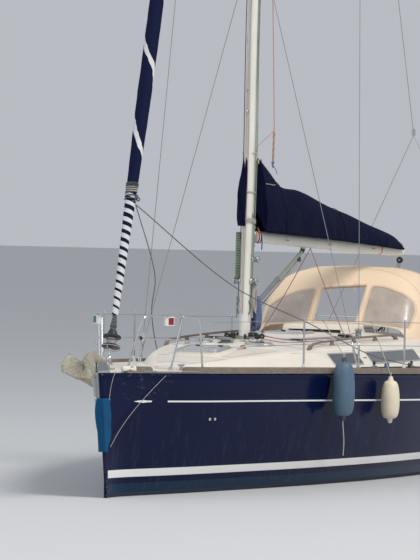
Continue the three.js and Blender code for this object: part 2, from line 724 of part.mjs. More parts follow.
function buildStemhead() {
  const plate = box(-120, 318, -52, 52, 1400, 1412);
  const casting = loft([[-6, 20], [60, 40], [126, 66]].flatMap(([s, half]) => [[
    point(s, -half, 1368 + GAP), point(s, half, 1368 + GAP), point(s, half, 1404), point(s, -half, 1404),
  ]]));
  const cheeks = [-1, 1].map((side) => box(-210, 120, Math.min(side * 44, side * 56), Math.max(side * 44, side * 56),
    1398, 1490));
  const tang = box(215, 265, -8, 8, 1400, STAY_FOOT.z - 5);
  const pin = rod(point(ROLLER.s, -58, ROLLER.z), point(ROLLER.s, 58, ROLLER.z), 9, 10);
  const roller = rod(point(ROLLER.s, -38, ROLLER.z), point(ROLLER.s, 38, ROLLER.z), ROLLER.radius, 14);
  return join([plate, casting, ...cheeks, tang, pin, roller]);
}

add('stemhead', buildStemhead(), 'steel');

// Plough anchor. Rim of one fluke lobe from its notch to its point: station, half width, height.
const FLUKE_RIM = [
  [-531, 0, 1504], [-618, 115, 1597], [-631, 197, 1478], [-626, 188, 1394], [-437, 77, 1307], [-436, 0, 1316],
];
const FLUKE_THICK = 13;
const FLUKE_POINT = { s: -210, z: 1222 };

// Shank against station: height of its lower edge and its depth.
const SHANK_ROWS = [
  [175, 0, 30], [40, 0, 44], [-140, 0, 124], [-300, 2, 122], [-400, 8, 112], [-505, -80, 98], [-545, -120, 70],
];

function buildAnchor() {
  const rest = ROLLER.z + ROLLER.radius + GAP;
  const shank = loft(SHANK_ROWS.map(([s, rise, high]) => [[-11, 0], [11, 0], [11, high], [-11, high]].map(
    ([y, h]) => point(s, y, rest + rise + h),
  )));
  const lobe = (side) => loft([0, FLUKE_THICK].map((back) => FLUKE_RIM.map(
    ([s, y, z]) => point(s + back, side * y, z),
  )));
  const [foreS, half, foreZ] = FLUKE_RIM[4];
  const wedge = loft([
    [[half, foreZ], [-half, foreZ], [-half * 0.9, foreZ + 26], [half * 0.9, foreZ + 26]].map(([y, z]) => point(foreS + 6, y, z)),
    [[12, 0], [-12, 0], [-12, 16], [12, 16]].map(([y, h]) => point(FLUKE_POINT.s, y, FLUKE_POINT.z + h)),
  ]);
  return join([shank, lobe(1), lobe(-1), wedge]);
}

add('anchor', buildAnchor(), 'galvanised');

// Blue sheet over the stem that keeps the anchor off the paint.
const BOW_GUARD = { heights: [502, 620, 760, 900, 1000, 1096], reach: 88, foot: 46, head: 78 };

function buildBowGuard() {
  const { heights, reach, foot, head } = BOW_GUARD;
  const rings = heights.map((z) => {
    const s0 = STEM_RAKE * (1368 - z);
    const half = foot + ((head - foot) * (z - heights[0])) / (heights[heights.length - 1] - heights[0]);
    const outline = [[reach, half], [reach * 0.4, half * 0.62], [-24, 18], [-24, -18], [reach * 0.4, -half * 0.62], [reach, -half]];
    const front = outline.map(([ds, y]) => point(s0 + ds, y, z));
    const back = outline.map(([ds, y]) => point(s0 + ds + (ds === reach ? 0 : 16), y * 0.8, z)).reverse();
    return [...front, ...back];
  });
  return cut(loft(rings), [grownHull(0.25, 0.6)]);
}

function grownHull(grow, ahead) {
  const stations = [0, 130, 330, 650];
  return loft(stations.map((s, k) => {
    const half = range(0, 1, 10).map((t) => hullPoint(s, t));
    const shift = k === 0 ? -ahead : 0;
    const port = half.map((p) => point(p.s + shift, p.y + grow, p.z));
    return [...port, ...half.slice().reverse().map((p) => point(p.s + shift, -p.y - grow, p.z))];
  }));
}

add('bow_guard', buildBowGuard(), 'blueSheet');

// Guard rails

function deckPoint(s, inset, rise) {
  const y = sheerAt(s).half - inset;
  return point(s, y, deckTop(s, y) + rise);
}

const RAIL_R = 12.5;

function buildPulpit() {
  const foot = (s, inset) => deckPoint(s, inset, -6);
  const hoop = bentRail([foot(430, 76), point(640, 250, 1985), point(1010, 425, 1985), point(1440, 600, 1962),
    foot(1500, 78)], RAIL_R, 70);
  const leg = rod(foot(1040, 78), point(1190, 500, 1968), RAIL_R);
  const lower = rod(point(560, 217, 1740), point(1458, 632, 1700), 8);
  return join([hoop, leg, lower]);
}

addPair('pulpit', buildPulpit(), 'steel', deckPlate);

const STANCHIONS = [3180, 5430, 7450, 9300];

const POST_INSET = 66;
const WIRE_DROPS = [20, 300];
const WIRE_R = 4;

// A point on the upper port guard wire between the first two posts.
function guardWireAt(s) {
  const [a, b] = STANCHIONS.slice(0, 2).map((post) => deckPoint(post, POST_INSET, STANCHION_H - WIRE_DROPS[0]));
  return a.lerp(b, (s - STANCHIONS[0]) / (STANCHIONS[1] - STANCHIONS[0]));
}

function buildLifelines() {
  const parts = [];
  const posts = STANCHIONS.map((s) => ({
    foot: deckPoint(s, POST_INSET, -6), head: deckPoint(s, POST_INSET, STANCHION_H),
  }));
  for (const { foot, head } of posts) {
    parts.push(rod(foot, head, RAIL_R, 6));
    parts.push(rod(foot, foot.clone().setZ(foot.z + 70), 22, 6));
  }
  const start = point(1512, 648, 1925);
  const end = deckPoint(11020, 60, STANCHION_H);
  for (const drop of WIRE_DROPS) {
    const line = [start, ...posts.map((p) => p.head), end].map((p) => p.clone().setZ(p.z - drop));
    for (let i = 0; i + 1 < line.length; i += 1) parts.push(rod(line[i], line[i + 1], WIRE_R, 4));
  }
  return join(parts);
}

addPair('lifelines', buildLifelines(), 'steel', deckPlate);

function buildPushpit() {
  const corner = (s, inset, side) => {
    const p = deckPoint(s, inset, STANCHION_H);
    return new THREE.Vector3(p.x, side * p.y, p.z);
  };
  const top = bentRail([
    corner(11040, 76, 1), corner(11620, 90, 1), corner(11620, 90, -1), corner(11040, 76, -1),
  ], RAIL_R, 150);
  const parts = [top];
  for (const side of [1, -1]) {
    for (const [s, inset] of [[11040, 76], [11560, 100]]) {
      const foot = corner(s, inset, side);
      foot.z = deckTop(s, foot.y) - 6;
      const head = corner(s, inset, side);
      parts.push(rod(foot, head, RAIL_R, 6));
    }
    const middle = (s, inset) => corner(s, inset, side).setZ(corner(s, inset, side).z - 290);
    parts.push(rod(middle(11040, 76), middle(11560, 100), 8, 6));
    const inboard = point(11620, side * 450, 0);
    const foot = inboard.clone().setZ(deckTop(11620, 450) - 6);
    parts.push(rod(foot, inboard.clone().setZ(corner(11620, 90, 1).z), RAIL_R, 6));
  }
  return join(parts);
}

add('pushpit', seatedOn(deckPlate, buildPushpit()), 'steel');

// Wooden grab rails on the roof

const HANDRAIL = { front: 4300, aft: 7450, frontHalf: 900, aftHalf: 1000, lift: 44, deep: 24, wide: 30 };

function buildGrabRail() {
  const { front, aft, frontHalf, aftHalf, lift, deep, wide } = HANDRAIL;
  const ring = (s, low, high, thick = wide) => {
    const y = THREE.MathUtils.mapLinear(s, front, aft, frontHalf, aftHalf);
    const foot = roofTop(s, y);
    return [[-0.5, low], [0.5, low], [0.5, high], [-0.5, high]].map(([w, h]) => point(s, y + w * thick, foot + h));
  };
  const top = lift + deep;
  const bar = loft([
    ring(front, -6, 14), ring(front + 130, lift - 22, top - 6), ring(front + 260, lift, top),
    ...range(front + 700, aft - 700, 3).map((s) => ring(s, lift, top)),
    ring(aft - 260, lift, top), ring(aft - 130, lift - 22, top - 6), ring(aft, -6, 14),
  ]);
  const feet = range(front + 60, aft - 60, 4).map((s, i, all) => {
    const half = i === 0 || i === all.length - 1 ? 55 : 60;
    return loft([ring(s - half, -6, 8, wide - 4), ring(s - half * 0.6, -6, lift + 6, wide - 4),
      ring(s + half * 0.6, -6, lift + 6, wide - 4), ring(s + half, -6, 8, wide - 4)]);
  });
  return join([bar, ...feet]);
}

addPair('grab_rail', buildGrabRail(), 'wood', roofOuter);

// Mast, spreaders and standing rigging

const mastUp = new THREE.Vector3(-Math.sin(MAST_RAKE), 0, Math.cos(MAST_RAKE));

function mastAt(z) {
  return point(MAST_S, 0, MAST_FOOT_Z).addScaledVector(mastUp, (z - MAST_FOOT_Z) / mastUp.z);
}

function mastRing(z, scale) {
  const centre = mastAt(z);
  const aft = new THREE.Vector3(Math.cos(MAST_RAKE), 0, Math.sin(MAST_RAKE));
  return range(0, 2 * Math.PI, 16).slice(0, 16).map((a) => centre.clone()
    .addScaledVector(aft, (scale * MAST_LONG * Math.cos(a)) / 2)
    .add(new THREE.Vector3(0, (scale * MAST_WIDE * Math.sin(a)) / 2, 0)));
}

const NECK_AXIS_BACK = MAST_LONG / 2 + 70;
const swingAxis = mastAt(GOOSENECK_Z).add(new THREE.Vector3(-NECK_AXIS_BACK, 0, 0));
const NECK = { half: 95, run: 0.6, block: 28, plateLow: 1890, plateHigh: 3030, bracketTop: 1962 };
const upright = new THREE.Quaternion().setFromUnitVectors(new THREE.Vector3(0, 0, 1), mastUp);

// Toggles above and below the boom's pin, the strut's bracket and the plate that carries them.
function gooseneckParts() {
  const toggles = [-1, 1].map((end) => {
    const centre = swingAxis.clone().addScaledVector(mastUp, end * (NECK.half + NECK.run + NECK.block / 2));
    const block = new THREE.BoxGeometry(110, 70, NECK.block).translate(22, 0, 0).applyQuaternion(upright);
    return block.translate(centre.x, 0, centre.z);
  });
  const foot = mastAt(NECK.bracketTop).add(new THREE.Vector3(-MAST_LONG / 2 - 36, 0, 0));
  const bracket = new THREE.BoxGeometry(100, 60, 60);
  bracket.translate(foot.x, 0, NECK.bracketTop - 30);
  const plate = loft([NECK.plateHigh, NECK.plateLow].map((z) => {
    const c = mastAt(z);
    return [[10, -38], [10, 38], [-14, 38], [-14, -38]]
      .map(([x, y]) => new THREE.Vector3(c.x - MAST_LONG / 2 + x, y, z));
  }));
  return [plate, ...toggles, bracket];
}

function buildMast() {
  const foot = MAST_FOOT_Z + 4;
  const spar = loft([mastRing(foot, 1), mastRing(STAY_TOP_Z, 1), mastRing(MAST_TOP_Z, 0.72)]);
  const heel = rod(point(MAST_S, 0, MAST_FOOT_Z), point(MAST_S, 0, MAST_FOOT_Z + 26), 124, 14);
  const crane = mastAt(MAST_TOP_Z - 40);
  const arm = rod(crane, crane.clone().add(new THREE.Vector3(-260, 0, 20)), 22, 8);
  return join([spar, heel, arm, ...gooseneckParts()]);
}

add('mast', buildMast(), 'alloy');

const spreaderSpecs = [
  { name: 'lower', z: SPREADER_LOW_Z, out: 1130, aft: 490 },
  { name: 'upper', z: SPREADER_HIGH_Z, out: 860, aft: 370 },
];

function spreaderTip(spec) {
  const root = mastAt(spec.z);
  return new THREE.Vector3(root.x - spec.aft, spec.out, spec.z + 60);
}

function buildSpreader(spec) {
  const root = mastAt(spec.z);
  const tip = spreaderTip(spec);
  const start = root.clone().lerp(tip, 0.03);
  const end = root.clone().lerp(tip, 0.985);
  const ring = (centre, chord, thick) => range(0, 2 * Math.PI, 8).slice(0, 8).map((a) => centre.clone()
    .add(new THREE.Vector3((chord * Math.cos(a)) / 2, 0, (thick * Math.sin(a)) / 2)));
  return cut(loft([ring(start, 105, 34), ring(end, 62, 26)]), [grownMast()]);
}

function grownMast() {
  const grow = 1 + (2 * GAP) / MAST_WIDE;
  return loft([mastRing(MAST_FOOT_Z, grow), mastRing(STAY_TOP_Z, grow), mastRing(MAST_TOP_Z + 20, 0.73)]);
}

for (const spec of spreaderSpecs) addPair(`spreader_${spec.name}`, buildSpreader(spec), 'alloy');

const WIRE = 6;

const shroudOutward = (p) => p.clone().add(new THREE.Vector3(-4, WIRE + 3, 0));
const shroudAtMast = (z) => mastAt(z).add(new THREE.Vector3(-20, MAST_WIDE / 2 + WIRE, 0));

// A chainplate standing on the deck, and the eye where its turnbuckle starts.
function chainplate(s, long) {
  const foot = point(s, CHAINPLATE.half, deckTop(s, CHAINPLATE.half) - 8);
  const base = new THREE.BoxGeometry(long, 14, 70);
  base.translate(foot.x, foot.y, foot.z + 35);
  return { base, eye: foot.clone().add(new THREE.Vector3(0, 0, 60)) };
}

function buildCapShroud() {
  const [low, high] = spreaderSpecs.map((spec) => shroudOutward(spreaderTip(spec)));
  const { base, eye } = chainplate(CHAINPLATE.s, 56);
  return join([
    base, rod(eye, eye.clone().lerp(low, 0.07), 13), rod(eye, low, WIRE, 6), rod(low, high, WIRE, 6),
    rod(high, shroudAtMast(STAY_TOP_Z - 100), WIRE, 6), rod(low, shroudAtMast(SPREADER_HIGH_Z - 150), WIRE, 6),
  ]);
}

function buildLowerShroud() {
  const { base, eye } = chainplate(CHAINPLATE.s - 64, 56);
  const top = shroudAtMast(SPREADER_LOW_Z - 150);
  return join([base, rod(eye, eye.clone().lerp(top, 0.07), 13), rod(eye, top, WIRE, 6)]);
}

addPair('cap_shroud', cut(buildCapShroud(), [grownMast()]), 'steel', deckPlate);
addPair('lower_shroud', cut(buildLowerShroud(), [grownMast()]), 'steel', deckPlate);

// Headstay, its roller furler and the furled headsail

const stayFoot = point(STAY_FOOT.s, 0, STAY_FOOT.z);
const stayTop = mastAt(STAY_TOP_Z).add(new THREE.Vector3(MAST_LONG / 2 + 6.4, 0, 0));
const stayUp = stayTop.clone().sub(stayFoot).normalize();
const stayTurn = new THREE.Quaternion().setFromUnitVectors(new THREE.Vector3(0, 1, 0), stayUp);
const DRUM_START = 190;
const SAIL_START = 560;

// Body of revolution about the stay: rows of [distance up the stay, radius], with a bore.
function aboutStay(profile, bore, sides) {
  const outline = profile.map(([along, radius]) => new THREE.Vector2(radius, along));
  const [first, last] = [profile[0][0], profile[profile.length - 1][0]];
  const closed = [new THREE.Vector2(bore, first), ...outline, new THREE.Vector2(bore, last), new THREE.Vector2(bore, first)];
  const geometry = new THREE.LatheGeometry(closed, sides);
  geometry.applyQuaternion(stayTurn);
  geometry.translate(stayFoot.x, stayFoot.y, stayFoot.z);
  return geometry;
}

function onStay(along) {
  return stayFoot.clone().addScaledVector(stayUp, along);
}

const STAY_R = 6;
const sailEnd = SAIL_START + FURLED_SAIL[FURLED_SAIL.length - 1][0];

function buildForestay() {
  return join([rod(onStay(0), onStay(150), 16, 8), rod(onStay(100), stayTop, STAY_R, 8)]);
}

add('forestay', buildForestay(), 'steel');
const bore = STAY_R + 1;
add('furler_drum', aboutStay([
  [DRUM_START, 34], [DRUM_START + 4, 88], [DRUM_START + 22, 92], [DRUM_START + 34, 60], [DRUM_START + 110, 60],
  [DRUM_START + 122, 92], [DRUM_START + 140, 88], [DRUM_START + 190, 46], [DRUM_START + 240, 36],
  [SAIL_START - 1, 24],
], bore, 14), 'blackPlastic');
const swivel = [[20, 20], [40, 34], [120, 34], [140, 20]].map(([along, radius]) => [sailEnd + along, radius]);
add('furled_headsail', aboutStay([
  ...FURLED_SAIL.map(([along, radius]) => [SAIL_START + along, radius]), ...swivel,
], bore, 12), 'navyCloth');

function buildBackstay() {
  const top = mastAt(MAST_TOP_Z - 40).add(new THREE.Vector3(-245, 0, -12));
  const split = point(11150, 0, 4300);
  const parts = [rod(top, split, 6, 6), rod(top, top.clone().lerp(split, 0.012), 18, 8),
    rod(split.clone().setZ(split.z + 60), split.clone().setZ(split.z - 40), 26, 8)];
  for (const side of [1, -1]) {
    const y = side * (sheerAt(11560).half - 190);
    const foot = point(11560, y, deckTop(11560, y) - 6);
    const plate = new THREE.BoxGeometry(80, 16, 82);
    plate.translate(foot.x, foot.y, foot.z + 41);
    parts.push(rod(split, foot.clone().setZ(foot.z + 60), 6, 6), plate);
  }
  return join(parts);
}

add('backstay', seatedOn(deckPlate, buildBackstay()), 'steel');

// Boom, its strut and the folded mainsail under its cover; they swing together on the gooseneck

function placeOnBoom(geometry) {
  const turn = new THREE.Matrix4().makeRotationAxis(mastUp, -BOOM_SWING);
  const back = new THREE.Matrix4().makeTranslation(swingAxis.x, swingAxis.y, swingAxis.z);
  const home = new THREE.Matrix4().makeTranslation(-swingAxis.x, -swingAxis.y, -swingAxis.z);
  return geometry.applyMatrix4(home).applyMatrix4(turn).applyMatrix4(back);
}

const BOOM_DEEP = 140;
const BOOM_WIDE = 90;
const BOOM_DROP = Math.atan2(160, BOOM_LENGTH);

function onBoom(along, y, up) {
  const below = Math.tan(BOOM_DROP) * along;
  return new THREE.Vector3(swingAxis.x - along, y, swingAxis.z - below + up);
}

function buildBoom() {
  const ring = (along, scale) => range(0, 2 * Math.PI, 12).slice(0, 12).map((a) => onBoom(
    along, (scale * BOOM_WIDE * Math.cos(a)) / 2, (scale * BOOM_DEEP * Math.sin(a)) / 2,
  ));
  const spar = loft([ring(5, 1), ring(BOOM_LENGTH - 130, 1), ring(BOOM_LENGTH - 70, 0.7)]);
  const neck = new THREE.CylinderGeometry(26, 26, 2 * NECK.half, 14);
  neck.rotateX(Math.PI / 2).applyQuaternion(upright);
  neck.translate(swingAxis.x, swingAxis.y, swingAxis.z);
  return placeOnBoom(join([spar, neck]));
}

add('boom', buildBoom(), 'alloy');

// The strut turns on the same axis as the boom: its eye runs on the bracket low on the mast.
const STRUT = { eyeZ: 1985, eyeHalf: 20, eyeR: 22, neckR: 14, sleeveR: 30, innerR: 22, along: 1500 };

function buildStrut() {
  const low = swingAxis.clone().addScaledVector(mastUp, (STRUT.eyeZ - swingAxis.z) / mastUp.z);
  const high = onBoom(STRUT.along, 0, -BOOM_DEEP / 2 - 30);
  const knee = low.clone().lerp(high, 0.5);
  const eye = new THREE.CylinderGeometry(STRUT.eyeR, STRUT.eyeR, 2 * STRUT.eyeHalf, 14);
  eye.applyQuaternion(new THREE.Quaternion().setFromUnitVectors(new THREE.Vector3(0, 1, 0), mastUp));
  eye.translate(low.x, low.y, low.z);
  const under = -BOOM_DEEP / 2 - GAP;
  const lug = loft([-60, 60].map((along) => [[-12, under - 30], [12, under - 30], [12, under], [-12, under]]
    .map(([y, up]) => onBoom(STRUT.along + along, y, up))));
  return placeOnBoom(join([
    rod(low, low.clone().lerp(high, 0.08), STRUT.neckR, 10), rod(low.clone().lerp(high, 0.03), knee, STRUT.sleeveR, 10),
    rod(knee, high, STRUT.innerR, 10), eye, lug,
  ]));
}

add('boom_strut', buildStrut(), 'alloy');

function boomShadow() {
  const ring = (along) => range(0, 2 * Math.PI, 12).slice(0, 12).map((a) => onBoom(
    along, ((BOOM_WIDE + 1) * Math.cos(a)) / 2, ((BOOM_DEEP + 1) * Math.sin(a)) / 2,
  ));
  return loft([ring(0), ring(BOOM_LENGTH - 20)]);
}

function coverRing(row) {
  const profile = [[1, 0], [1.08, 0.22], [0.96, 0.5], [0.6, 0.8], [0.22, 1], [-0.22, 1], [-0.6, 0.8], [-0.96, 0.5],
    [-1.08, 0.22], [-1, 0]];
  return profile.map(([w, h]) => onBoom(row.along, w * row.half, row.hem + h * (row.crest - BOOM_DEEP / 2 - row.hem)));
}

function buildSailCover() {
  const alongs = SAIL_COVER.rows.map((row) => row[0]);
  const cover = loft(alongs.map((along) => coverRing(rowAt(SAIL_COVER, along))));
  return cut(placeOnBoom(cover), [placeOnBoom(boomShadow()), placeOnBoom(neckShadow())]);
}

function neckShadow() {
  const ring = (along) => [[-60, -150], [60, -150], [60, 160], [-60, 160]].map(([y, up]) => onBoom(along, y, up));
  return loft([ring(-80), ring(75)]);
}

add('sail_cover', buildSailCover(), 'navyCloth');

// Luff of the folded mainsail standing up the mast under the front of the cover.
function buildCollar() {
  const rows = [[2990, 250, 190], [3120, 300, 220], [3330, 290, 225], [3560, 240, 200], [3760, 185, 170], [3880, 150, 150]];
  const outerCollar = loft(rows.map(([z, long, wide]) => {
    const c = mastAt(z);
    return range(0, 2 * Math.PI, 14).slice(0, 14).map((a) => new THREE.Vector3(
      c.x + 10 + (long / 2 + 20) * Math.cos(a), (wide / 2 + 12) * Math.sin(a), z,
    ));
  }));
  return outerCollar;
}

// The aft half of the collar leaves the boom and its cover free to swing, and the collar is
// open on the mast's port side.
const COLLAR_PORT_EDGE = 30;

add('mast_collar', cut(buildCollar(), [grownMast(), ...collarRelief()]), 'navyCloth');

function collarRelief() {
  const pinStation = STEM_X - swingAxis.x;
  return [
    box(pinStation - 112, pinStation + 600, -400, 400, 2700, 4200),
    box(pinStation - 800, pinStation, COLLAR_PORT_EDGE, 400, 2700, 4200),
  ];
}

// Sprayhood and its hoops

function hoodRing(row, inset) {
  const height = row.crown - inset - row.foot;
  const count = 10;
  return range(0, Math.PI, count).map((a) => {
    const [c, s] = [Math.cos(a), Math.sin(a)];
    const y = (row.half - inset) * Math.sign(c) * Math.abs(c) ** 0.62;
    return point(row.s, y, row.foot + height * Math.abs(s) ** 0.62);
  });
}

function hoodLoft(inset, tail) {
  const rows = SPRAYHOOD.rows.map((r) => Object.fromEntries(SPRAYHOOD.columns.map((name, i) => [name, r[i]])));
  const rings = rows.map((row, i) => hoodRing({ ...row, s: row.s + (i === 0 ? inset : 0), foot: row.foot - tail }, inset));
  if (tail > 0) {
    const last = rows[rows.length - 1];
    rings.push(hoodRing({ ...last, s: last.s + 60, foot: last.foot - tail }, inset));
  }
  return loft(rings);
}

function buildSprayhood() {
  const cloth = 16;
  const shell = cut(hoodLoft(0, 0), [hoodLoft(cloth, 80)]);
  const mouth = loft([7500, 8600].map((s) => [[-310, 1815], [390, 1815], [400, 2270], [-290, 2270]]
    .map(([y, z]) => point(s, y, z))));
  const clear = [lifted(roofOuter, GAP + 1), lifted(coaming(1), GAP + 1), lifted(coaming(-1), GAP + 1),
    box(7000, 8520, -425, 425, 1500, GARAGE.top + GAP + 1),
    ...[-1, 1].map((side) => box(7600, 9400, Math.min(side * 1040, side * 1400), Math.max(side * 1040, side * 1400),
      1000, 1510)),
    lifted(deckPlate, GAP + 1)];
  return cut(shell, [mouth, ...clear]);
}

add('sprayhood', buildSprayhood(), 'tanCloth');

// Cockpit gear: wheel, pedestal and winches

const WHEEL = { s: 10760, z: 1330, radius: 440, tube: 13 };

function buildWheel() {
  const outline = range(0, 2 * Math.PI, 6).map((a) => new THREE.Vector2(
    WHEEL.radius + WHEEL.tube * Math.cos(a), WHEEL.tube * Math.sin(a),
  ));
  const rim = new THREE.LatheGeometry(outline, 24);
  rim.rotateZ(Math.PI / 2);
  const parts = [rim, rod(new THREE.Vector3(-30, 0, 0), new THREE.Vector3(50, 0, 0), 45, 14)];
  for (const angle of range(0, 2 * Math.PI, 6).slice(0, 6)) {
    const tip = new THREE.Vector3(0, Math.cos(angle), Math.sin(angle));
    parts.push(rod(tip.clone().multiplyScalar(30), tip.clone().multiplyScalar(WHEEL.radius), 7, 6));
  }
  parts.push(rod(new THREE.Vector3(40, 0, 0), new THREE.Vector3(110, 0, 0), 11.6, 12));
  return join(parts).translate(STEM_X - WHEEL.s, 0, WHEEL.z);
}

add('steering_wheel', buildWheel(), 'steel');

function buildPedestal() {
  const column = box(WHEEL.s - 250, WHEEL.s - 60, -110, 110, COCKPIT.soleZ + GAP, 1500);
  const top = rod(point(WHEEL.s - 165, 0, 1490), point(WHEEL.s - 165, 0, 1560), 92, 16, 70);
  return cut(join([column, top]), [rod(point(WHEEL.s - 300, 0, WHEEL.z), point(WHEEL.s, 0, WHEEL.z), 12.4, 12)]);
}

add('pedestal', buildPedestal(), 'whitePlastic');

function buildWinch(x, y, z, size) {
  const outline = [[0, 0], [62, 0], [62, 14], [46, 26], [40, 60], [46, 92], [58, 104], [58, 118], [20, 128], [0, 128]]
    .map(([r, h]) => new THREE.Vector2(r * size, h * size));
  const drum = new THREE.LatheGeometry(outline, 12);
  drum.rotateX(Math.PI / 2);
  return drum.translate(x, y, z);
}

const winchSpecs = [
  { name: 'primary_winch', s: 9900, y: 1180, z: coamingTop(9900) - 4, size: 1 },
];
const bothCoamings = join([coaming(1), coaming(-1)]);
for (const spec of winchSpecs) {
  addPair(spec.name, buildWinch(STEM_X - spec.s, spec.y, spec.z, spec.size), 'steel', bothCoamings);
}

// Fenders hung from the port guard wires

const fenderSpecs = [
  { name: 'fender_blue', s: 3600, y: 1585, z: 1140, radius: 130, long: 640, paint: 'fenderBlue' },
  { name: 'fender_cream', s: 4670, y: 1812, z: 990, radius: 110, long: 460, paint: 'fenderCream' },
];

function buildFender(spec) {
  const { radius: r, long } = spec;
  const straight = long / 2 - r;
  const dome = range(0, Math.PI / 2, 4).map((a) => [r * Math.cos(a), straight + r * Math.sin(a)]);
  const upper = [...dome.slice(0, -1), [28, long / 2 - 2], [24, long / 2 + 40], [0, long / 2 + 40]];
  const profile = [...upper.map(([x, y]) => [x, -y]).reverse(), ...upper].map(([x, y]) => new THREE.Vector2(x, y));
  const body = new THREE.LatheGeometry(profile, 12);
  body.rotateX(Math.PI / 2);
  body.translate(STEM_X - spec.s, spec.y, spec.z);
  const eye = point(spec.s, spec.y, spec.z + long / 2 + 30);
  const wire = guardWireAt(spec.s);
  const hitch = wire.clone().add(eye.clone().sub(wire).setLength(WIRE_R + GAP));
  return join([body, rod(eye, hitch, 6, 6)]);
}

for (const spec of fenderSpecs) add(spec.name, buildFender(spec), spec.paint);

// The free end of the blue fender's rope hangs from its lower eye: s, y, z along the route.
const TAIL_RADIUS = 6;
const TAIL_ROUTE = [
  [3600, 1585, 779.7], [3600, 1585, 764], [3601, 1585, 740], [3603, 1586, 712], [3606, 1588, 682],
  [3610, 1590, 650], [3613, 1592, 618], [3615, 1594, 586], [3615, 1596, 554], [3613, 1597, 522],
  [3610, 1598, 490], [3607, 1598, 458], [3605, 1597, 426], [3604, 1596, 396], [3604, 1595, 370],
];
add('fender_tail', tube(TAIL_ROUTE.map(([s, y, z]) => point(s, y, z)), TAIL_RADIUS, 30), 'rope');

export default group;
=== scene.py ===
"""Sailing yacht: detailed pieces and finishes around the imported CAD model.

Metres. +X is the bow, +Y is port, +Z is up, and the water plane is z = 0.
Stations are written as s, the distance aft of the stem head.
"""
import math
import random

import bmesh
import bpy
from bpy.props import FloatProperty, FloatVectorProperty, PointerProperty
from mathutils import Matrix, Vector


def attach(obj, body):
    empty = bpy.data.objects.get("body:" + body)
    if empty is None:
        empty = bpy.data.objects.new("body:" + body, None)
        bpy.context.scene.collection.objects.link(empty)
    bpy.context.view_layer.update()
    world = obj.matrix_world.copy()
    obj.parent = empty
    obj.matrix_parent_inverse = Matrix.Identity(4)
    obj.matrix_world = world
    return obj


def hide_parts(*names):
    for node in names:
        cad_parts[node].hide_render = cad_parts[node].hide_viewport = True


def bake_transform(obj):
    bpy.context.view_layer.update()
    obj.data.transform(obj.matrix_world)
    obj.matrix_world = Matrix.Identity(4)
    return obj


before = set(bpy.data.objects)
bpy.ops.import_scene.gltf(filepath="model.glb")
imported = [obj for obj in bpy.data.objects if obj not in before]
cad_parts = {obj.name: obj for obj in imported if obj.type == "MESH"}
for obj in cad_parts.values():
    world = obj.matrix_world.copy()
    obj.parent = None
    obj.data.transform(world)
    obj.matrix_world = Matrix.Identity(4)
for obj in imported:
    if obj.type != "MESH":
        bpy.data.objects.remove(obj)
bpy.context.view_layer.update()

bl_info = {
    "name": "Sailing Yacht Pieces",
    "version": (1, 0, 0),
    "blender": (4, 5, 0),
    "location": "View3D > Sidebar > Yacht",
    "description": "Builds the hull, deck, rig, cloth and fittings of a moored sailing yacht",
    "category": "Add Mesh",
}

# Driving dimensions

STEM_X = 6.1
TRANSOM_S = 12.2
STEM_RAKE = 0.161
STEM_RAKE_END = 1.5
STERN_RAKE = 0.42
STERN_RAKE_START = 10.5
DECK_EDGE = 0.030
DECK_CAMBER = 0.028
DECK_INSET = 0.032
MAST_S = 4.6
MAST_FOOT_Z = 1.65
MAST_TOP_Z = 17.3
MAST_RAKE = math.radians(1.31)
MAST_LONG = 0.210
MAST_WIDE = 0.130
SPREADERS = {"lower": (6.45, 1.130, 0.490), "upper": (11.6, 0.860, 0.370)}
STAY_FOOT = (0.240, 1.450)
STAY_TOP_Z = 16.5
CHAINPLATE_S = 4.77
CHAINPLATE_HALF = 1.38
BOOM_SWING = math.radians(5)
BOOM_LENGTH = 4.762
BOOM_DEEP = 0.140
BOOM_WIDE = 0.090
BOOM_DROP = 0.160 / BOOM_LENGTH
GOOSENECK_Z = 2.870
STANCHION_H = 0.600
STANCHIONS = (3.18, 5.43, 7.45, 9.30)
POST_INSET = 0.066
RAIL_R = 0.0125
ROOF_AFT = 8.45
RAIL_TOP = 1.725
SEAM = 0.0003
TURN_STEPS = 14
BALL_SIDES = 14
MERGE = 1e-5
UP = Vector((0, 0, 1))
PORT = Vector((0, 1, 0))
AHEAD = Vector((1, 0, 0))
SIDES = ((1, "port"), (-1, "starboard"))

# Station, sheer half breadth, sheer height, keel height, then the two inner control points
# of the half section: bottom half breadth, side half breadth and side height.
HULL = [
    (0.0, 0.022, 1.368, 0.0, 0.012, 0.014, 0.500),
    (0.4, 0.205, 1.362, -0.150, 0.030, 0.090, 0.150),
    (0.95, 0.455, 1.352, -0.300, 0.150, 0.340, 0.100),
    (1.6, 0.745, 1.341, -0.400, 0.300, 0.600, 0.040),
    (2.4, 1.050, 1.330, -0.480, 0.500, 0.900, -0.020),
    (3.18, 1.300, 1.318, -0.530, 0.700, 1.180, -0.080),
    (4.2, 1.570, 1.298, -0.570, 0.900, 1.480, -0.150),
    (5.43, 1.800, 1.270, -0.595, 1.100, 1.740, -0.210),
    (6.8, 1.935, 1.240, -0.595, 1.250, 1.890, -0.250),
    (8.2, 1.970, 1.212, -0.540, 1.300, 1.930, -0.240),
    (9.6, 1.920, 1.188, -0.400, 1.300, 1.880, -0.170),
    (11.0, 1.790, 1.170, -0.160, 1.250, 1.740, -0.020),
    (12.2, 1.640, 1.160, 0.090, 1.150, 1.590, 0.160),
]

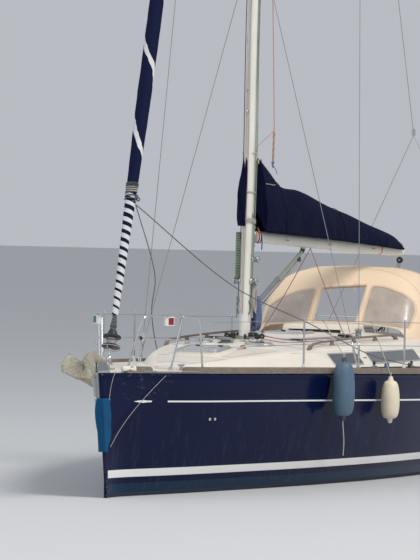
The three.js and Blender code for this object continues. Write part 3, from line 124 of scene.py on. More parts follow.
# Station, half breadth at the deck, half breadth and height of the shoulder, crown height.
ROOF = [
    (1.95, 0.220, 0.130, 1.388, 1.398),
    (2.6, 0.540, 0.420, 1.438, 1.474),
    (3.2, 0.790, 0.650, 1.494, 1.540),
    (4.0, 1.010, 0.850, 1.538, 1.597),
    (4.6, 1.150, 0.970, 1.564, 1.634),
    (5.5, 1.270, 1.060, 1.584, 1.662),
    (6.5, 1.340, 1.110, 1.597, 1.682),
    (7.5, 1.370, 1.120, 1.605, 1.695),
    (8.45, 1.370, 1.110, 1.610, 1.705),
]

# Distance up the stay from the drum, radius of the furled sail there.
FURLED_SAIL = [
    (0.0, 0.034), (0.25, 0.040), (0.7, 0.047), (1.25, 0.056), (1.8, 0.068), (2.4, 0.079), (4.2, 0.080),
    (8.0, 0.070), (12.0, 0.052), (13.9, 0.034),
]

# Distance along the boom, crest above the boom's underside, half width, hem above the boom's axis.
SAIL_COVER = [
    (0.12, 1.000, 0.120, 0.062), (0.35, 0.885, 0.140, 0.062), (0.73, 0.710, 0.160, 0.062),
    (1.28, 0.680, 0.165, 0.060), (2.03, 0.565, 0.160, 0.052), (2.78, 0.465, 0.150, 0.044),
    (3.45, 0.375, 0.135, 0.034), (4.00, 0.300, 0.115, 0.026), (4.35, 0.245, 0.095, 0.022),
    (4.56, 0.170, 0.075, 0.020),
]

# Station, half breadth at the foot, crown height, foot height of each section of the sprayhood.
SPRAYHOOD = [
    (7.88, 0.960, 1.800, 1.600), (8.06, 1.040, 2.110, 1.560), (8.25, 1.080, 2.410, 1.520),
    (8.40, 1.095, 2.485, 1.500), (8.80, 1.105, 2.520, 1.480), (9.30, 1.110, 2.500, 1.470),
]

# Free end of the blue fender's rope: station, half breadth, height along its route.
TAIL_ROUTE = [
    (3.600, 1.585, 0.7797), (3.600, 1.585, 0.764), (3.601, 1.585, 0.740), (3.603, 1.586, 0.712),
    (3.606, 1.588, 0.682), (3.610, 1.590, 0.650), (3.613, 1.592, 0.618), (3.615, 1.594, 0.586),
    (3.615, 1.596, 0.554), (3.613, 1.597, 0.522), (3.610, 1.598, 0.490), (3.607, 1.598, 0.458),
    (3.605, 1.597, 0.426), (3.604, 1.596, 0.396), (3.604, 1.595, 0.370),
]


# Lines of the hull, deck and cabin

def between(rows, s):
    """Columns of a station table at s, on a smooth curve through its rows."""
    last = len(rows) - 1
    if s <= rows[0][0]:
        return rows[0][1:]
    if s >= rows[last][0]:
        return rows[last][1:]
    k = next(i for i in range(last) if s <= rows[i + 1][0])
    width = rows[k + 1][0] - rows[k][0]
    t = (s - rows[k][0]) / width

    def slope(i, c):
        a, b = rows[max(i - 1, 0)], rows[min(i + 1, last)]
        return (b[c] - a[c]) / (b[0] - a[0])

    return tuple(
        (2 * t**3 - 3 * t**2 + 1) * rows[k][c] + (t**3 - 2 * t**2 + t) * width * slope(k, c)
        + (3 * t**2 - 2 * t**3) * rows[k + 1][c] + (t**3 - t**2) * width * slope(k + 1, c)
        for c in range(1, len(rows[0])))


def point(s, y, z):
    return Vector((STEM_X - s, y, z))


def section_z(row, t):
    _, sheer_z, keel_z, _, _, side_z = row
    return ((1 - t)**3 + 3 * t * (1 - t)**2) * keel_z + 3 * t * t * (1 - t) * side_z + t**3 * sheer_z


def hull_point(s, t):
    """Point of the port half section: t runs from 0 at the keel line to 1 at the sheer."""
    row = between(HULL, s)
    sheer_half, sheer_z, keel_z, bottom_half, side_half, _ = row
    b, c, d = 3 * t * (1 - t)**2, 3 * t * t * (1 - t), t**3
    y = max(0.0, b * bottom_half + c * side_half + d * sheer_half)
    z = section_z(row, t)
    bow = STEM_RAKE * (sheer_z - z) * max(0.0, 1 - s / STEM_RAKE_END)
    astern = max(0.0, (s - STERN_RAKE_START) / (TRANSOM_S - STERN_RAKE_START))**2
    return point(s + bow - STERN_RAKE * (z - keel_z) * astern, y, z)


def height_fraction(s, z):
    """Fraction t of the half section at station s that stands at height z."""
    row = between(HULL, s)
    low, high = 0.0, 1.0
    if z <= row[2]:
        return 0.0
    for _ in range(40):
        middle = (low + high) / 2
        low, high = (middle, high) if section_z(row, middle) < z else (low, middle)
    return (low + high) / 2


def stern_shift(s):
    row = between(HULL, s)
    astern = max(0.0, (s - STERN_RAKE_START) / (TRANSOM_S - STERN_RAKE_START))**2
    return STERN_RAKE * (row[1] - row[2]) * astern


def sheer(s):
    """Half breadth and height of the deck edge at distance s from the stem head."""
    section = s
    for _ in range(30):
        section = s + stern_shift(section)
    row = between(HULL, section)
    return row[0], row[1]


def deck_top(s, y):
    half, z = sheer(s)
    return z + DECK_EDGE + DECK_CAMBER * half * (1 - (y / half)**2)


def deck_point(s, inset, rise=0.0, side=1):
    y = sheer(s)[0] - inset
    return point(s, side * y, deck_top(s, y) + rise)


def roof_top(s, y):
    _, shoulder_half, shoulder_z, crown_z = between(ROOF, s)
    t = min(1.0, abs(y) / shoulder_half)
    return crown_z - (crown_z - shoulder_z) * t * t


def cabin_side(s, z, side=1, out=0.0):
    """Point on the cabin side at height z, moved out along the side's own normal."""
    base, shoulder, shoulder_z, _ = between(ROOF, s)
    foot = sheer(s)[1] + 0.005
    t = (z - foot) / (shoulder_z - foot)
    tilt = math.atan2(base - shoulder, shoulder_z - foot)
    y = base + (shoulder - base) * t
    return point(s, side * (y + out * math.cos(tilt)), z + out * math.sin(tilt))


MAST_UP = Vector((-math.sin(MAST_RAKE), 0, math.cos(MAST_RAKE)))
MAST_AFT = Vector((-math.cos(MAST_RAKE), 0, -math.sin(MAST_RAKE)))


def mast_at(z, aft=0.0, y=0.0):
    """Point at height z up the mast, offset aft and to port of its axis."""
    foot = point(MAST_S, 0, MAST_FOOT_Z)
    return foot + MAST_UP * ((z - MAST_FOOT_Z) / MAST_UP.z) + MAST_AFT * aft + Vector((0, y, 0))


SWING_AXIS = mast_at(GOOSENECK_Z) - Vector((MAST_LONG / 2 + 0.07, 0, 0))
SWING = (Matrix.Translation(SWING_AXIS) @ Matrix.Rotation(-BOOM_SWING, 4, MAST_UP)
         @ Matrix.Translation(-SWING_AXIS))


def on_boom(along, y=0.0, up=0.0):
    """Point on the swung boom: distance along it, to port of it and above its axis."""
    return SWING @ (SWING_AXIS + Vector((-along, y, up - BOOM_DROP * along)))


STAY_BASE = point(STAY_FOOT[0], 0, STAY_FOOT[1])
STAY_TOP = mast_at(STAY_TOP_Z) + Vector((MAST_LONG / 2 + 0.0064, 0, 0))
STAY_UP = (STAY_TOP - STAY_BASE).normalized()


def on_stay(along, side=0.0, fore=0.0):
    return STAY_BASE + STAY_UP * along + PORT * side + PORT.cross(STAY_UP) * fore


# Curves

def steps(start, end, count):
    return [start + (end - start) * i / count for i in range(count + 1)]


def blend(a, b, t):
    return a + (b - a) * t


def ease(t):
    t = min(1.0, max(0.0, t))
    return t * t * (3 - 2 * t)


def flowing(points, count):
    """Evenly spread points on a smooth curve through the given ones."""
    knots = [0.0]
    for a, b in zip(points, points[1:]):
        knots.append(knots[-1] + max((b - a).length, 1e-6))
    rows = [(knot, *p) for knot, p in zip(knots, points)]
    return [Vector(between(rows, knots[-1] * i / count)) for i in range(count + 1)]


def bent(points, bend, arc=5):
    """Straight lengths joined by short rounds, as a bent tube runs."""
    path = [points[0]]
    for before, at, after in zip(points, points[1:], points[2:]):
        into = at + (before - at).normalized() * bend
        out = at + (after - at).normalized() * bend
        for t in steps(0, 1, arc):
            path.append(into * (1 - t)**2 + at * (2 * t * (1 - t)) + out * t * t)
    path.append(points[-1])
    return path


def hanging(a, b, drop, count=16):
    return [blend(a, b, t) - Vector((0, 0, 4 * drop * t * (1 - t))) for t in steps(0, 1, count)]


def wrapped(a, b, radius, turns, start=0.0):
    """Helix of the given radius about the line from a to b."""
    axis = (b - a).normalized()
    side = axis.orthogonal().normalized()
    other = axis.cross(side)
    path = []
    for t in steps(0, 1, turns * TURN_STEPS):
        angle = start + 2 * math.pi * turns * t
        path.append(blend(a, b, t) + side * (radius * math.cos(angle)) + other * (radius * math.sin(angle)))
    return path


def ring_of(count, start=0.0):
    return [start + 2 * math.pi * i / count for i in range(count)]


def rounded_outline(long, wide, radius, arc=5):
    """Corner-rounded rectangle about the origin, as (u, v) pairs turning left."""
    outline = []
    for cx, cy, first in ((1, -1, -90), (1, 1, 0), (-1, 1, 90), (-1, -1, 180)):
        for a in steps(math.radians(first), math.radians(first + 90), arc):
            outline.append((cx * (long / 2 - radius) + radius * math.cos(a),
                            cy * (wide / 2 - radius) + radius * math.sin(a)))
    return outline


# Meshes

class Shape:
    """Points, faces, the finish of each face and its place along the piece, before the mesh is made."""

    def __init__(self):
        self.points = []
        self.faces = []
        self.finishes = []
        self.along = []

    def add(self, points, faces, finish, along=None):
        start = len(self.points)
        self.points.extend(points)
        for k, face in enumerate(faces):
            self.faces.append([start + i for i in face])
            self.finishes.append(finish if isinstance(finish, str) else finish[k])
            self.along.append(along[k] if along else [(0.0, 0.0)] * len(face))
        return self

    def loft(self, rings, finish, closed=True, caps=True):
        """Skin over rings of equal length. The finish may depend on the ring and the step round it."""
        n = len(rings[0])
        if any(len(ring) != n for ring in rings):
            raise ValueError("the rings of a loft differ in length")
        faces, kinds, along = [], [], []
        travelled = 0.0
        for r in range(len(rings) - 1):
            length = (rings[r + 1][0] - rings[r][0]).length
            for i in range(n if closed else n - 1):
                j = (i + 1) % n
                faces.append((r * n + i, r * n + j, (r + 1) * n + j, (r + 1) * n + i))
                kinds.append(finish(r, i) if callable(finish) else finish)
                u0, u1 = i / n, (i + 1) / n
                along.append([(u0, travelled), (u1, travelled), (u1, travelled + length),
                              (u0, travelled + length)])
            travelled += length
        if caps and closed:
            last = (len(rings) - 1) * n
            end_finish = finish(0, 0) if callable(finish) else finish
            faces += [tuple(range(n))[::-1], tuple(range(last, last + n))]
            kinds += [end_finish, end_finish]
            along += [[(0.0, 0.0)] * n, [(0.0, travelled)] * n]
        return self.add([p for ring in rings for p in ring], faces, kinds, along)

    def tube(self, path, radius, finish, sides=10, flat=1.0):
        """Round or flattened section carried along a path without twisting."""
        last = len(path) - 1
        side = None
        rings = []
        for i, p in enumerate(path):
            tangent = (path[min(i + 1, last)] - path[max(i - 1, 0)]).normalized()
            if side is None:
                up = UP if abs(tangent.z) < 0.9 else AHEAD
                side = (up - tangent * up.dot(tangent)).normalized()
            side = (side - tangent * side.dot(tangent)).normalized()
            other = tangent.cross(side)
            r = radius(i / last) if callable(radius) else radius
            rings.append([p + side * (r * flat * math.cos(a)) + other * (r * math.sin(a))
                          for a in ring_of(sides)])
        return self.loft(rings, finish)

    def rod(self, a, b, radius, finish, sides=12):
        return self.tube([a, b], radius, finish, sides)

    def turned(self, base, axis, profile, finish, sides=24, squash=1.0, across=None):
        """Body of revolution: profile rows are (radius, height along the axis)."""
        axis = axis.normalized()
        side = (across or axis.orthogonal()).normalized()
        other = axis.cross(side)
        rings = [[base + axis * h + side * (r * math.cos(a)) + other * (r * squash * math.sin(a))
                  for a in ring_of(sides)] for r, h in profile]
        return self.loft(rings, finish)

    def ball(self, centre, radius, finish):
        rows = [(radius * max(0.02, math.sin(a)), -radius * math.cos(a))
                for a in steps(0.02, math.pi - 0.02, 8)]
        return self.turned(centre, UP, rows, finish, BALL_SIDES)

    def torus(self, centre, axis, radius, thick, finish, count=24, sides=8):
        axis = axis.normalized()
        side = axis.orthogonal().normalized()
        other = axis.cross(side)
        rings = []
        for a in ring_of(count):
            out = side * math.cos(a) + other * math.sin(a)
            rings.append([centre + out * radius + out * (thick * math.cos(b)) + axis * (thick * math.sin(b))
                          for b in ring_of(sides)])
        return self.loft(rings + [rings[0]], finish, caps=False)

    def block(self, low, high, finish):
        (x0, y0, z0), (x1, y1, z1) = low, high
        rings = [[Vector(p) for p in ((x0, y0, z), (x1, y0, z), (x1, y1, z), (x0, y1, z))] for z in (z0, z1)]
        return self.loft(rings, finish)

    def bar(self, a, b, wide, thick, finish, up=UP):
        """Flat bar from a to b, its thickness measured along up."""
        run = (b - a).normalized()
        side = run.cross(up).normalized()
        lift = side.cross(run)
        rings = [[p + side * (u * wide / 2) + lift * (v * thick / 2)
                  for u, v in ((-1, -1), (1, -1), (1, 1), (-1, 1))]
                 for p in (a, b)]
        return self.loft(rings, finish)

    def plate(self, outline, low, high, place, finish):
        """Flat outline given thickness between low and high in the frame of a placing matrix."""
        rings = [[place @ Vector((u, v, w)) for u, v in outline] for w in (low, high)]
        return self.loft(rings, finish)

    def frame_ring(self, outer, inner, low, high, place, finish):
        """Flat ring between two outlines of equal length."""
        rings = [[place @ Vector((u, v, w)) for u, v in outline]
                 for outline, w in ((outer, low), (outer, high), (inner, high), (inner, low), (outer, low))]
        return self.loft(rings, finish, caps=False)

    def join(self, other):
        start = len(self.points)
        self.points += other.points
        self.faces += [tuple(start + i for i in face) for face in other.faces]
        self.finishes += other.finishes
        self.along += other.along
        return self

    def moved(self, matrix):
        self.points = [matrix @ p for p in self.points]
        return self

    def mesh(self, name, sharp=35.0):
        mesh = bpy.data.meshes.new(name)
        mesh.from_pydata(self.points, [], self.faces)
        names = list(dict.fromkeys(self.finishes))
        for finish in names:
            mesh.materials.append(material(finish))
        mesh.polygons.foreach_set("material_index", [names.index(f) for f in self.finishes])
        attribute = mesh.attributes.new("along", 'FLOAT_VECTOR', 'CORNER')
        flat = [value for face in self.along for (u, v) in face for value in (u, v, 0.0)]
        attribute.data.foreach_set("vector", flat)
        work = bmesh.new()
        work.from_mesh(mesh)
        bmesh.ops.remove_doubles(work, verts=work.verts, dist=MERGE)
        bmesh.ops.dissolve_degenerate(work, edges=work.edges, dist=MERGE)
        bmesh.ops.recalc_face_normals(work, faces=work.faces)
        work.to_mesh(mesh)
        work.free()
        mesh.polygons.foreach_set("use_smooth", [True] * len(mesh.polygons))
        mesh.set_sharp_from_angle(angle=math.radians(sharp))
        mesh.update()
        return mesh

    def piece(self, name, body="root", replaces=(), slot=None, bevel=0.0, sharp=35.0):
        """Make the object, ride it on its body unless it spans a joint, and hide the CAD nodes it replaces.
        """
        thing = bpy.data.objects.new(name, self.mesh(name, sharp))
        bpy.context.scene.collection.objects.link(thing)
        if bevel:
            add_modifier(thing, 'BEVEL', width=bevel, segments=2, limit_method='ANGLE', harden_normals=True)
        if body:
            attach(thing, body)
        if replaces:
            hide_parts(*replaces)
        return thing


def add_modifier(thing, kind, **settings):
    modifier = thing.modifiers.new(kind.title(), kind)
    for name, value in settings.items():
        setattr(modifier, name, value)
    return modifier


def settle(thing):
    """Apply the modifiers of a piece to its mesh."""
    graph = bpy.context.evaluated_depsgraph_get()
    mesh = bpy.data.meshes.new_from_object(thing.evaluated_get(graph), preserve_all_data_layers=True,
                                           depsgraph=graph)
    thing.modifiers.clear()
    thing.data = mesh
    return thing


def carve(thing, tools, operation='DIFFERENCE', sharp=30.0):
    """Cut or join closed shapes into a piece, then shade it afresh."""
    helpers = []
    for tool in tools:
        helper = bpy.data.objects.new("tool", tool.mesh("tool"))
        bpy.context.scene.collection.objects.link(helper)
        add_modifier(thing, 'BOOLEAN', object=helper, operation=operation, solver='MANIFOLD')
        helpers.append(helper)
    settle(thing)
    for helper in helpers:
        bpy.data.objects.remove(helper)
    thing.data.polygons.foreach_set("use_smooth", [True] * len(thing.data.polygons))
    thing.data.set_sharp_from_angle(angle=math.radians(sharp))
    return thing


def copied(thing, name, finish):
    """Another piece with the same mesh as it stands, all in one finish."""
    twin = bpy.data.objects.new(name, thing.data.copy())
    bpy.context.scene.collection.objects.link(twin)
    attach(twin, "root")
    twin.data.materials.clear()
    twin.data.materials.append(material(finish))
    return twin


def mirrored(points):
    return [Vector((p.x, -p.y, p.z)) for p in points]


def on_side(points, side):
    """The points as they are for port, mirrored for starboard."""
    return points if side > 0 else mirrored(points)


def span(side, inner, outer):
    """The two breadths on one side, in rising order."""
    return tuple(sorted((side * inner, side * outer)))


# Finishes

class Value:
    """A node socket that takes part in sums, so that shader maths reads as an expression."""

    def __init__(self, tree, socket):
        self.tree = tree
        self.socket = socket

    def combine(self, operation, first, second=None):
        wide = [v for v in (first, second) if isinstance(v, Value) and v.socket.type != 'VALUE']
        if wide:
            first, second = (Vector((v, v, v)) if isinstance(v, (int, float)) else v for v in (first, second))
            return node(self.tree, 'ShaderNodeVectorMath', {'operation': operation}, {0: first, 1: second})
        inputs = {0: first} if second is None else {0: first, 1: second}
        return node(self.tree, 'ShaderNodeMath', {'operation': operation}, inputs)

    def __add__(self, other):
        return self.combine('ADD', self, other)

    def __radd__(self, other):
        return self.combine('ADD', other, self)

    def __sub__(self, other):
        return self.combine('SUBTRACT', self, other)

    def __rsub__(self, other):
        return self.combine('SUBTRACT', other, self)

    def __mul__(self, other):
        return self.combine('MULTIPLY', self, other)

    def __rmul__(self, other):
        return self.combine('MULTIPLY', other, self)

    def __truediv__(self, other):
        return self.combine('DIVIDE', self, other)

    def __pow__(self, other):
        return self.combine('POWER', self, other)

    def __gt__(self, other):
        return self.combine('GREATER_THAN', self, other)

    def __lt__(self, other):
        return self.combine('LESS_THAN', self, other)

    def part(self, axis):
        """One component of a vector."""
        split = node(self.tree, 'ShaderNodeSeparateXYZ', {}, {0: self})
        return Value(self.tree, split.socket.node.outputs["XYZ".index(axis)])

    def band(self, low, high, soft):
        """1 where the value lies between low and high, falling off over soft."""
        rise = self.ramp(low - soft, low + soft)
        return rise * (1 - self.ramp(high - soft, high + soft))

    def ramp(self, low, high, to_low=0.0, to_high=1.0):
        inputs = {0: self, 1: low, 2: high, 3: to_low, 4: to_high}
        return node(self.tree, 'ShaderNodeMapRange', {'clamp': True}, inputs)

    def fraction(self):
        return self.combine('FRACT', self)

    def sine(self):
        return self.combine('SINE', self)


def node(tree, kind, settings=None, inputs=None, output=0):
    """Add a node: its settings first, then the value or link of each socket."""
    made = tree.nodes.new(kind)
    for name, value in (settings or {}).items():
        setattr(made, name, value)
    for key, value in (inputs or {}).items():
        socket = made.inputs[key]
        if isinstance(value, Value):
            tree.links.new(value.socket, socket)
        elif socket.type == 'RGBA':
            socket.default_value = (*value, 1.0) if len(value) == 3 else value
        else:
            socket.default_value = value
    return Value(tree, made.outputs[output])


class Finish:
    """One material. Constants go to the shader's own sockets and varying looks through its methods."""

    def __init__(self, **constants):
        self.material = bpy.data.materials.new("finish")
        self.material.use_nodes = True
        self.tree = self.material.node_tree
        self.shader = self.tree.nodes["Principled BSDF"]
        for key, value in constants.items():
            socket = self.shader.inputs[key.replace("_", " ").title().replace("Ior", "IOR")]
            socket.default_value = (*value, 1.0) if socket.type == 'RGBA' and len(value) == 3 else value
        self.place = node(self.tree, 'ShaderNodeTexCoord', {}, {}, output=3)

    def spread(self, stretch):
        """Object coordinates, stretched."""
        return node(self.tree, 'ShaderNodeMapping', {}, {0: self.place, 3: stretch})

    def noise(self, scale, detail=3.0, roughness=0.55, stretch=(1, 1, 1), distortion=0.0):
        inputs = {'Vector': self.spread(stretch), 'Scale': scale, 'Detail': detail, 'Roughness': roughness,
                  'Distortion': distortion}
        return node(self.tree, 'ShaderNodeTexNoise', {}, inputs)

    def cells(self, scale):
        inputs = {'Vector': self.spread((1, 1, 1)), 'Scale': scale}
        return node(self.tree, 'ShaderNodeTexVoronoi', {'feature': 'F1'}, inputs)

    def weave(self, pitch):
        """Crossing threads of a plain woven cloth, by the place in the model."""
        density = 1.0 / pitch
        x, y, z = (self.place.part(axis) for axis in "XYZ")
        warp = ((x + y) * (2 * math.pi * density)).sine()
        weft = ((z + x * 0.4) * (2 * math.pi * density)).sine()
        return warp * weft * 0.5 + 0.5

    def along(self):
        """Turns round and metres along a rope, tube or strap."""
        return node(self.tree, 'ShaderNodeAttribute', {'attribute_name': "along"}, {}, output=1)

    def mix(self, factor, first, second):
        return node(self.tree, 'ShaderNodeMix', {'data_type': 'RGBA'}, {0: factor, 6: first, 7: second},
                    output=2)

    def bump(self, height, distance=0.001, strength=0.5):
        inputs = {'Height': height, 'Distance': distance, 'Strength': strength}
        normal = node(self.tree, 'ShaderNodeBump', {}, inputs)
        self.tree.links.new(normal.socket, self.shader.inputs['Normal'])

    def feed(self, **inputs):
        for key, value in inputs.items():
            self.tree.links.new(value.socket, self.shader.inputs[key.replace("_", " ").title()])
        return self


class YachtPaints(bpy.types.PropertyGroup):
    """Colours of the hull, deck, spars and cloth"""

    topsides: FloatVectorProperty(
        name="Topsides", description="Gelcoat of the hull above the water",
        subtype='COLOR', size=3, min=0, max=1, default=(0.002, 0.0055, 0.034))
    stripe: FloatVectorProperty(
        name="Stripes", description="Cove line and boot stripe",
        subtype='COLOR', size=3, min=0, max=1, default=(0.78, 0.78, 0.76))
    band: FloatVectorProperty(
        name="Waterline band", description="Blue band just above the water",
        subtype='COLOR', size=3, min=0, max=1, default=(0.006, 0.026, 0.060))
    gelcoat: FloatVectorProperty(
        name="Deck gelcoat", description="Deck, cabin roof and cockpit mouldings",
        subtype='COLOR', size=3, min=0, max=1, default=(0.80, 0.745, 0.66))
    teak: FloatVectorProperty(
        name="Weathered teak", description="Silvered teak of the toe rails, grab rails and seats",
        subtype='COLOR', size=3, min=0, max=1, default=(0.215, 0.185, 0.155))
    spar: FloatVectorProperty(
        name="Spars", description="Anodised mast and boom",
        subtype='COLOR', size=3, min=0, max=1, default=(0.30, 0.33, 0.28))
    cover: FloatVectorProperty(
        name="Navy canvas", description="Mainsail cover, collar and sacrificial strips",
        subtype='COLOR', size=3, min=0, max=1, default=(0.0015, 0.0035, 0.022))
    hood: FloatVectorProperty(
        name="Tan canvas", description="Sprayhood cloth",
        subtype='COLOR', size=3, min=0, max=1, default=(0.92, 0.72, 0.52))


class YachtWear(bpy.types.PropertyGroup):
    """How worn and dirty the yacht looks"""

    scuffs: FloatProperty(
        name="Hull scuffs", description="Strength of the pale scuffs near the stem",
        subtype='FACTOR', min=0, max=1, default=0.4)
    grime: FloatProperty(
        name="Deck grime", description="Strength of the dirt in the deck's corners",
        subtype='FACTOR', min=0, max=1, default=0.35)
    rust: FloatProperty(
        name="Anchor rust", description="Strength of the stains on the galvanised anchor",
        subtype='FACTOR', min=0, max=1, default=0.5)


BRAID_PITCH = 0.030
DIAMONDS = 330
SAIL_BANDS = {"low": 0.094, "high": 0.92, "edge": 0.30}
MADE = {}


def material(name):
    if name not in MADE:
        MADE[name] = FINISHES[name]().material
        MADE[name].name = name
    return MADE[name]


def paints():
    return bpy.context.scene.yacht_paints


def wear():
    return bpy.context.scene.yacht_wear


def shade(colour, factor):
    return tuple(min(1.0, c * factor) for c in colour)


def hull_gloss(colour, scuffed=True):
    look = Finish(coat_weight=0.07, coat_roughness=0.06, specular_ior_level=0.12)
    x, z = look.place.part("X"), look.place.part("Z")
    cloud = look.noise(0.9, 4, stretch=(0.6, 1, 1.8)).ramp(0.3, 0.75)
    runs = look.noise(16, 4, stretch=(1, 1, 0.05)).ramp(0.52, 0.80)
    colour_now = look.mix(cloud * 0.35, tuple(colour), shade(colour, 1.7))
    colour_now = look.mix(runs * z.ramp(1.25, 0.55) * 0.045, colour_now, (0.35, 0.37, 0.42))
    roughness = cloud * 0.10 + runs * 0.08 + 0.13
    if scuffed:
        fleck = look.noise(38, 5, 0.75, stretch=(1, 1, 0.6)).ramp(0.60, 0.68)
        smear = look.noise(7, 4, 0.6, stretch=(1.2, 1, 4)).ramp(0.56, 0.72)
        foot = x.ramp(5.68, 5.86) * z.ramp(0.42, 0.22)
        shoulder = x.ramp(5.0, 5.3) * x.ramp(5.9, 5.7) * z.ramp(1.05, 1.15)
        mask = (fleck * foot + smear * shoulder * 0.30) * wear().scuffs
        colour_now = look.mix(mask, colour_now, (0.50, 0.52, 0.56))
        roughness = roughness + mask * 0.4
    look.feed(base_color=colour_now, roughness=roughness)
    look.bump(look.noise(90, 2), 0.0004, 0.08)
    return look


def antifouled(colour):
    look = Finish()
    patch = look.noise(4, 5, 0.6)
    worn = look.noise(22, 4, 0.7).ramp(0.58, 0.75)
    shown = look.mix(patch, shade(colour, 0.6), shade(colour, 1.6))
    look.feed(base_color=look.mix(worn * 0.45, shown, (0.10, 0.13, 0.12)), roughness=worn * 0.2 + 0.72)
    look.bump(look.noise(120, 3) + worn * 0.4, 0.0008, 0.5)
    return look


def moulded(colour, pattern=False):
    """Cream gelcoat, chalky in patches, with patches of dirt, and moulded diamonds underfoot."""
    look = Finish(coat_weight=0.15, coat_roughness=0.25)
    chalk = look.noise(2.2, 5).ramp(0.35, 0.7)
    grime = look.noise(14, 5, 0.7, stretch=(1, 1, 2.5)).ramp(0.55, 0.8) * wear().grime
    shown = look.mix(chalk * 0.5, tuple(colour), shade(colour, 1.08))
    shown = look.mix(grime * 0.6, shown, (0.36, 0.31, 0.24))
    look.feed(base_color=shown, roughness=chalk * 0.15 + grime * 0.3 + (0.62 if pattern else 0.34))
    if pattern:
        x, y = look.place.part("X"), look.place.part("Y")
        first = ((x + y) * DIAMONDS).sine()
        second = ((x - y) * DIAMONDS).sine()
        look.bump(first * second, 0.0012, 0.8)
    else:
        look.bump(look.noise(60, 3), 0.0005, 0.12)
    return look


def grained(colour, brown):
    """Bare weathered wood with its grain along the boat, dark pores and browner worn patches."""
    look = Finish()
    grain = look.noise(26, 6, 0.65, stretch=(0.10, 1.6, 1.6), distortion=0.6)
    pores = look.noise(150, 3, 0.6, stretch=(0.06, 1, 1)).ramp(0.55, 0.72)
    patch = look.noise(1.7, 3).ramp(0.35, 0.7)
    shown = look.mix(grain.ramp(0.3, 0.7), shade(colour, 0.62), shade(colour, 1.30))
    shown = look.mix(patch * 0.45, shown, brown)
    shown = look.mix(pores * 0.5, shown, shade(colour, 0.30))
    look.feed(base_color=shown, roughness=grain * 0.2 + 0.68)
    look.bump(grain + pores * -0.6, 0.0012, 0.6)
    return look


def metal(colour, rough, brushed=0.0, stain=0.0):
    look = Finish(metallic=1.0)
    smudge = look.noise(30, 4, 0.7)
    shown = look.mix(smudge.ramp(0.3, 0.8), colour, shade(colour, 0.78))
    if stain:
        spots = look.noise(24, 5, 0.75).ramp(0.58, 0.70)
        shown = look.mix(spots * stain, shown, (0.24, 0.12, 0.05))
    roughness = smudge * 0.18 + rough
    look.feed(base_color=shown, roughness=roughness)
    look.bump(look.noise(220, 2, stretch=(1, 1, 0.1)) * brushed + smudge * 0.2, 0.0003, 0.25)
    return look


def spar_alloy_look():
    """Anodised tube, clouded by salt, with faint vertical runs."""
    colour = paints().spar
    look = Finish(coat_weight=0.1, coat_roughness=0.3, metallic=0.35)
    salt = look.noise(5, 5, 0.65, stretch=(1, 1, 0.35)).ramp(0.35, 0.75)
    runs = look.noise(40, 4, 0.6, stretch=(1, 1, 0.03)).ramp(0.5, 0.75)
    shown = look.mix(salt * 0.6, tuple(colour), shade(colour, 0.86))
    shown = look.mix(runs * 0.18, shown, (0.30, 0.29, 0.26))
    look.feed(base_color=shown, roughness=salt * 0.2 + 0.34)
    look.bump(look.noise(180, 2, stretch=(1, 1, 0.08)), 0.0003, 0.2)
    return look


def pale_spar_and_lit_face_look():
    """Paler spar finish: the whole boom, and the mast's forward half painted lighter as its lit side, a
    painted highlight beside the darker after half.
    """
    look = Finish(coat_weight=0.2, coat_roughness=0.2)
    cloud = look.noise(4, 5, 0.6, stretch=(1, 1, 0.4)).ramp(0.35, 0.75)
    runs = look.noise(34, 4, stretch=(1, 1, 0.04)).ramp(0.55, 0.8)
    shown = look.mix(cloud, (0.70, 0.70, 0.64), (0.80, 0.79, 0.74))
    shown = look.mix(runs * 0.25, shown, (0.42, 0.45, 0.38))
    look.feed(base_color=shown, roughness=cloud * 0.15 + 0.36)
    return look


def zinc_coated(metallic, lit_brightening=1.0):
    look = Finish(metallic=metallic)
    bloom = look.cells(38).ramp(0.0, 0.7)
    patch = look.noise(9, 5, 0.7).ramp(0.35, 0.7)
    rust = look.noise(17, 5, 0.75).ramp(0.56, 0.70) * wear().rust
    # A brightening factor above one makes a paler copy of the coating: painted light for the anchor's lit
    # faces.
    shown = look.mix(bloom, shade((0.36, 0.34, 0.26), lit_brightening), shade((0.50, 0.48, 0.40), lit_brightening))
    shown = look.mix(patch * 0.6, shown, (0.31, 0.27, 0.17))
    shown = look.mix(rust, shown, (0.30, 0.13, 0.045))
    look.feed(base_color=shown, roughness=patch * 0.2 + 0.55)
    look.bump(bloom * 0.3 + look.noise(70, 4), 0.0012, 0.5)
    return look


def tip_orange_look():
    look = Finish()
    chip = look.noise(55, 5, 0.7).ramp(0.5, 0.62)
    look.feed(base_color=look.mix(chip, (0.50, 0.22, 0.10), (0.36, 0.34, 0.28)), roughness=chip * 0.2 + 0.5)
    return look


def engine_paint_look():
    look = Finish()
    cloud = look.noise(6, 4)
    look.feed(base_color=look.mix(cloud, (0.20, 0.23, 0.24), (0.33, 0.36, 0.37)),
              roughness=cloud * 0.2 + 0.45)
    return look


def plastic(colour, rough=0.4, fade=1.25):
    look = Finish()
    cloud = look.noise(12, 4, 0.6).ramp(0.3, 0.75)
    look.feed(base_color=look.mix(cloud, colour, shade(colour, fade)), roughness=cloud * 0.15 + rough)
    look.bump(look.noise(300, 2), 0.0002, 0.2)
    return look


def lens(dark, pale, rough=0.12):
    look = Finish(roughness=rough, coat_weight=0.6)
    look.feed(base_color=look.mix(look.noise(30), dark, pale))
    return look


def glazed(dark, pale):
    """Smoke acrylic: dark, glossy, with faint dust and fine crazing."""
    look = Finish(coat_weight=0.8, coat_roughness=0.04)
    dust = look.noise(9, 5, 0.65).ramp(0.4, 0.8)
    look.feed(base_color=look.mix(dust, dark, pale), roughness=dust * 0.2 + 0.08)
    look.bump(look.noise(3, 2), 0.002, 0.05)
    return look


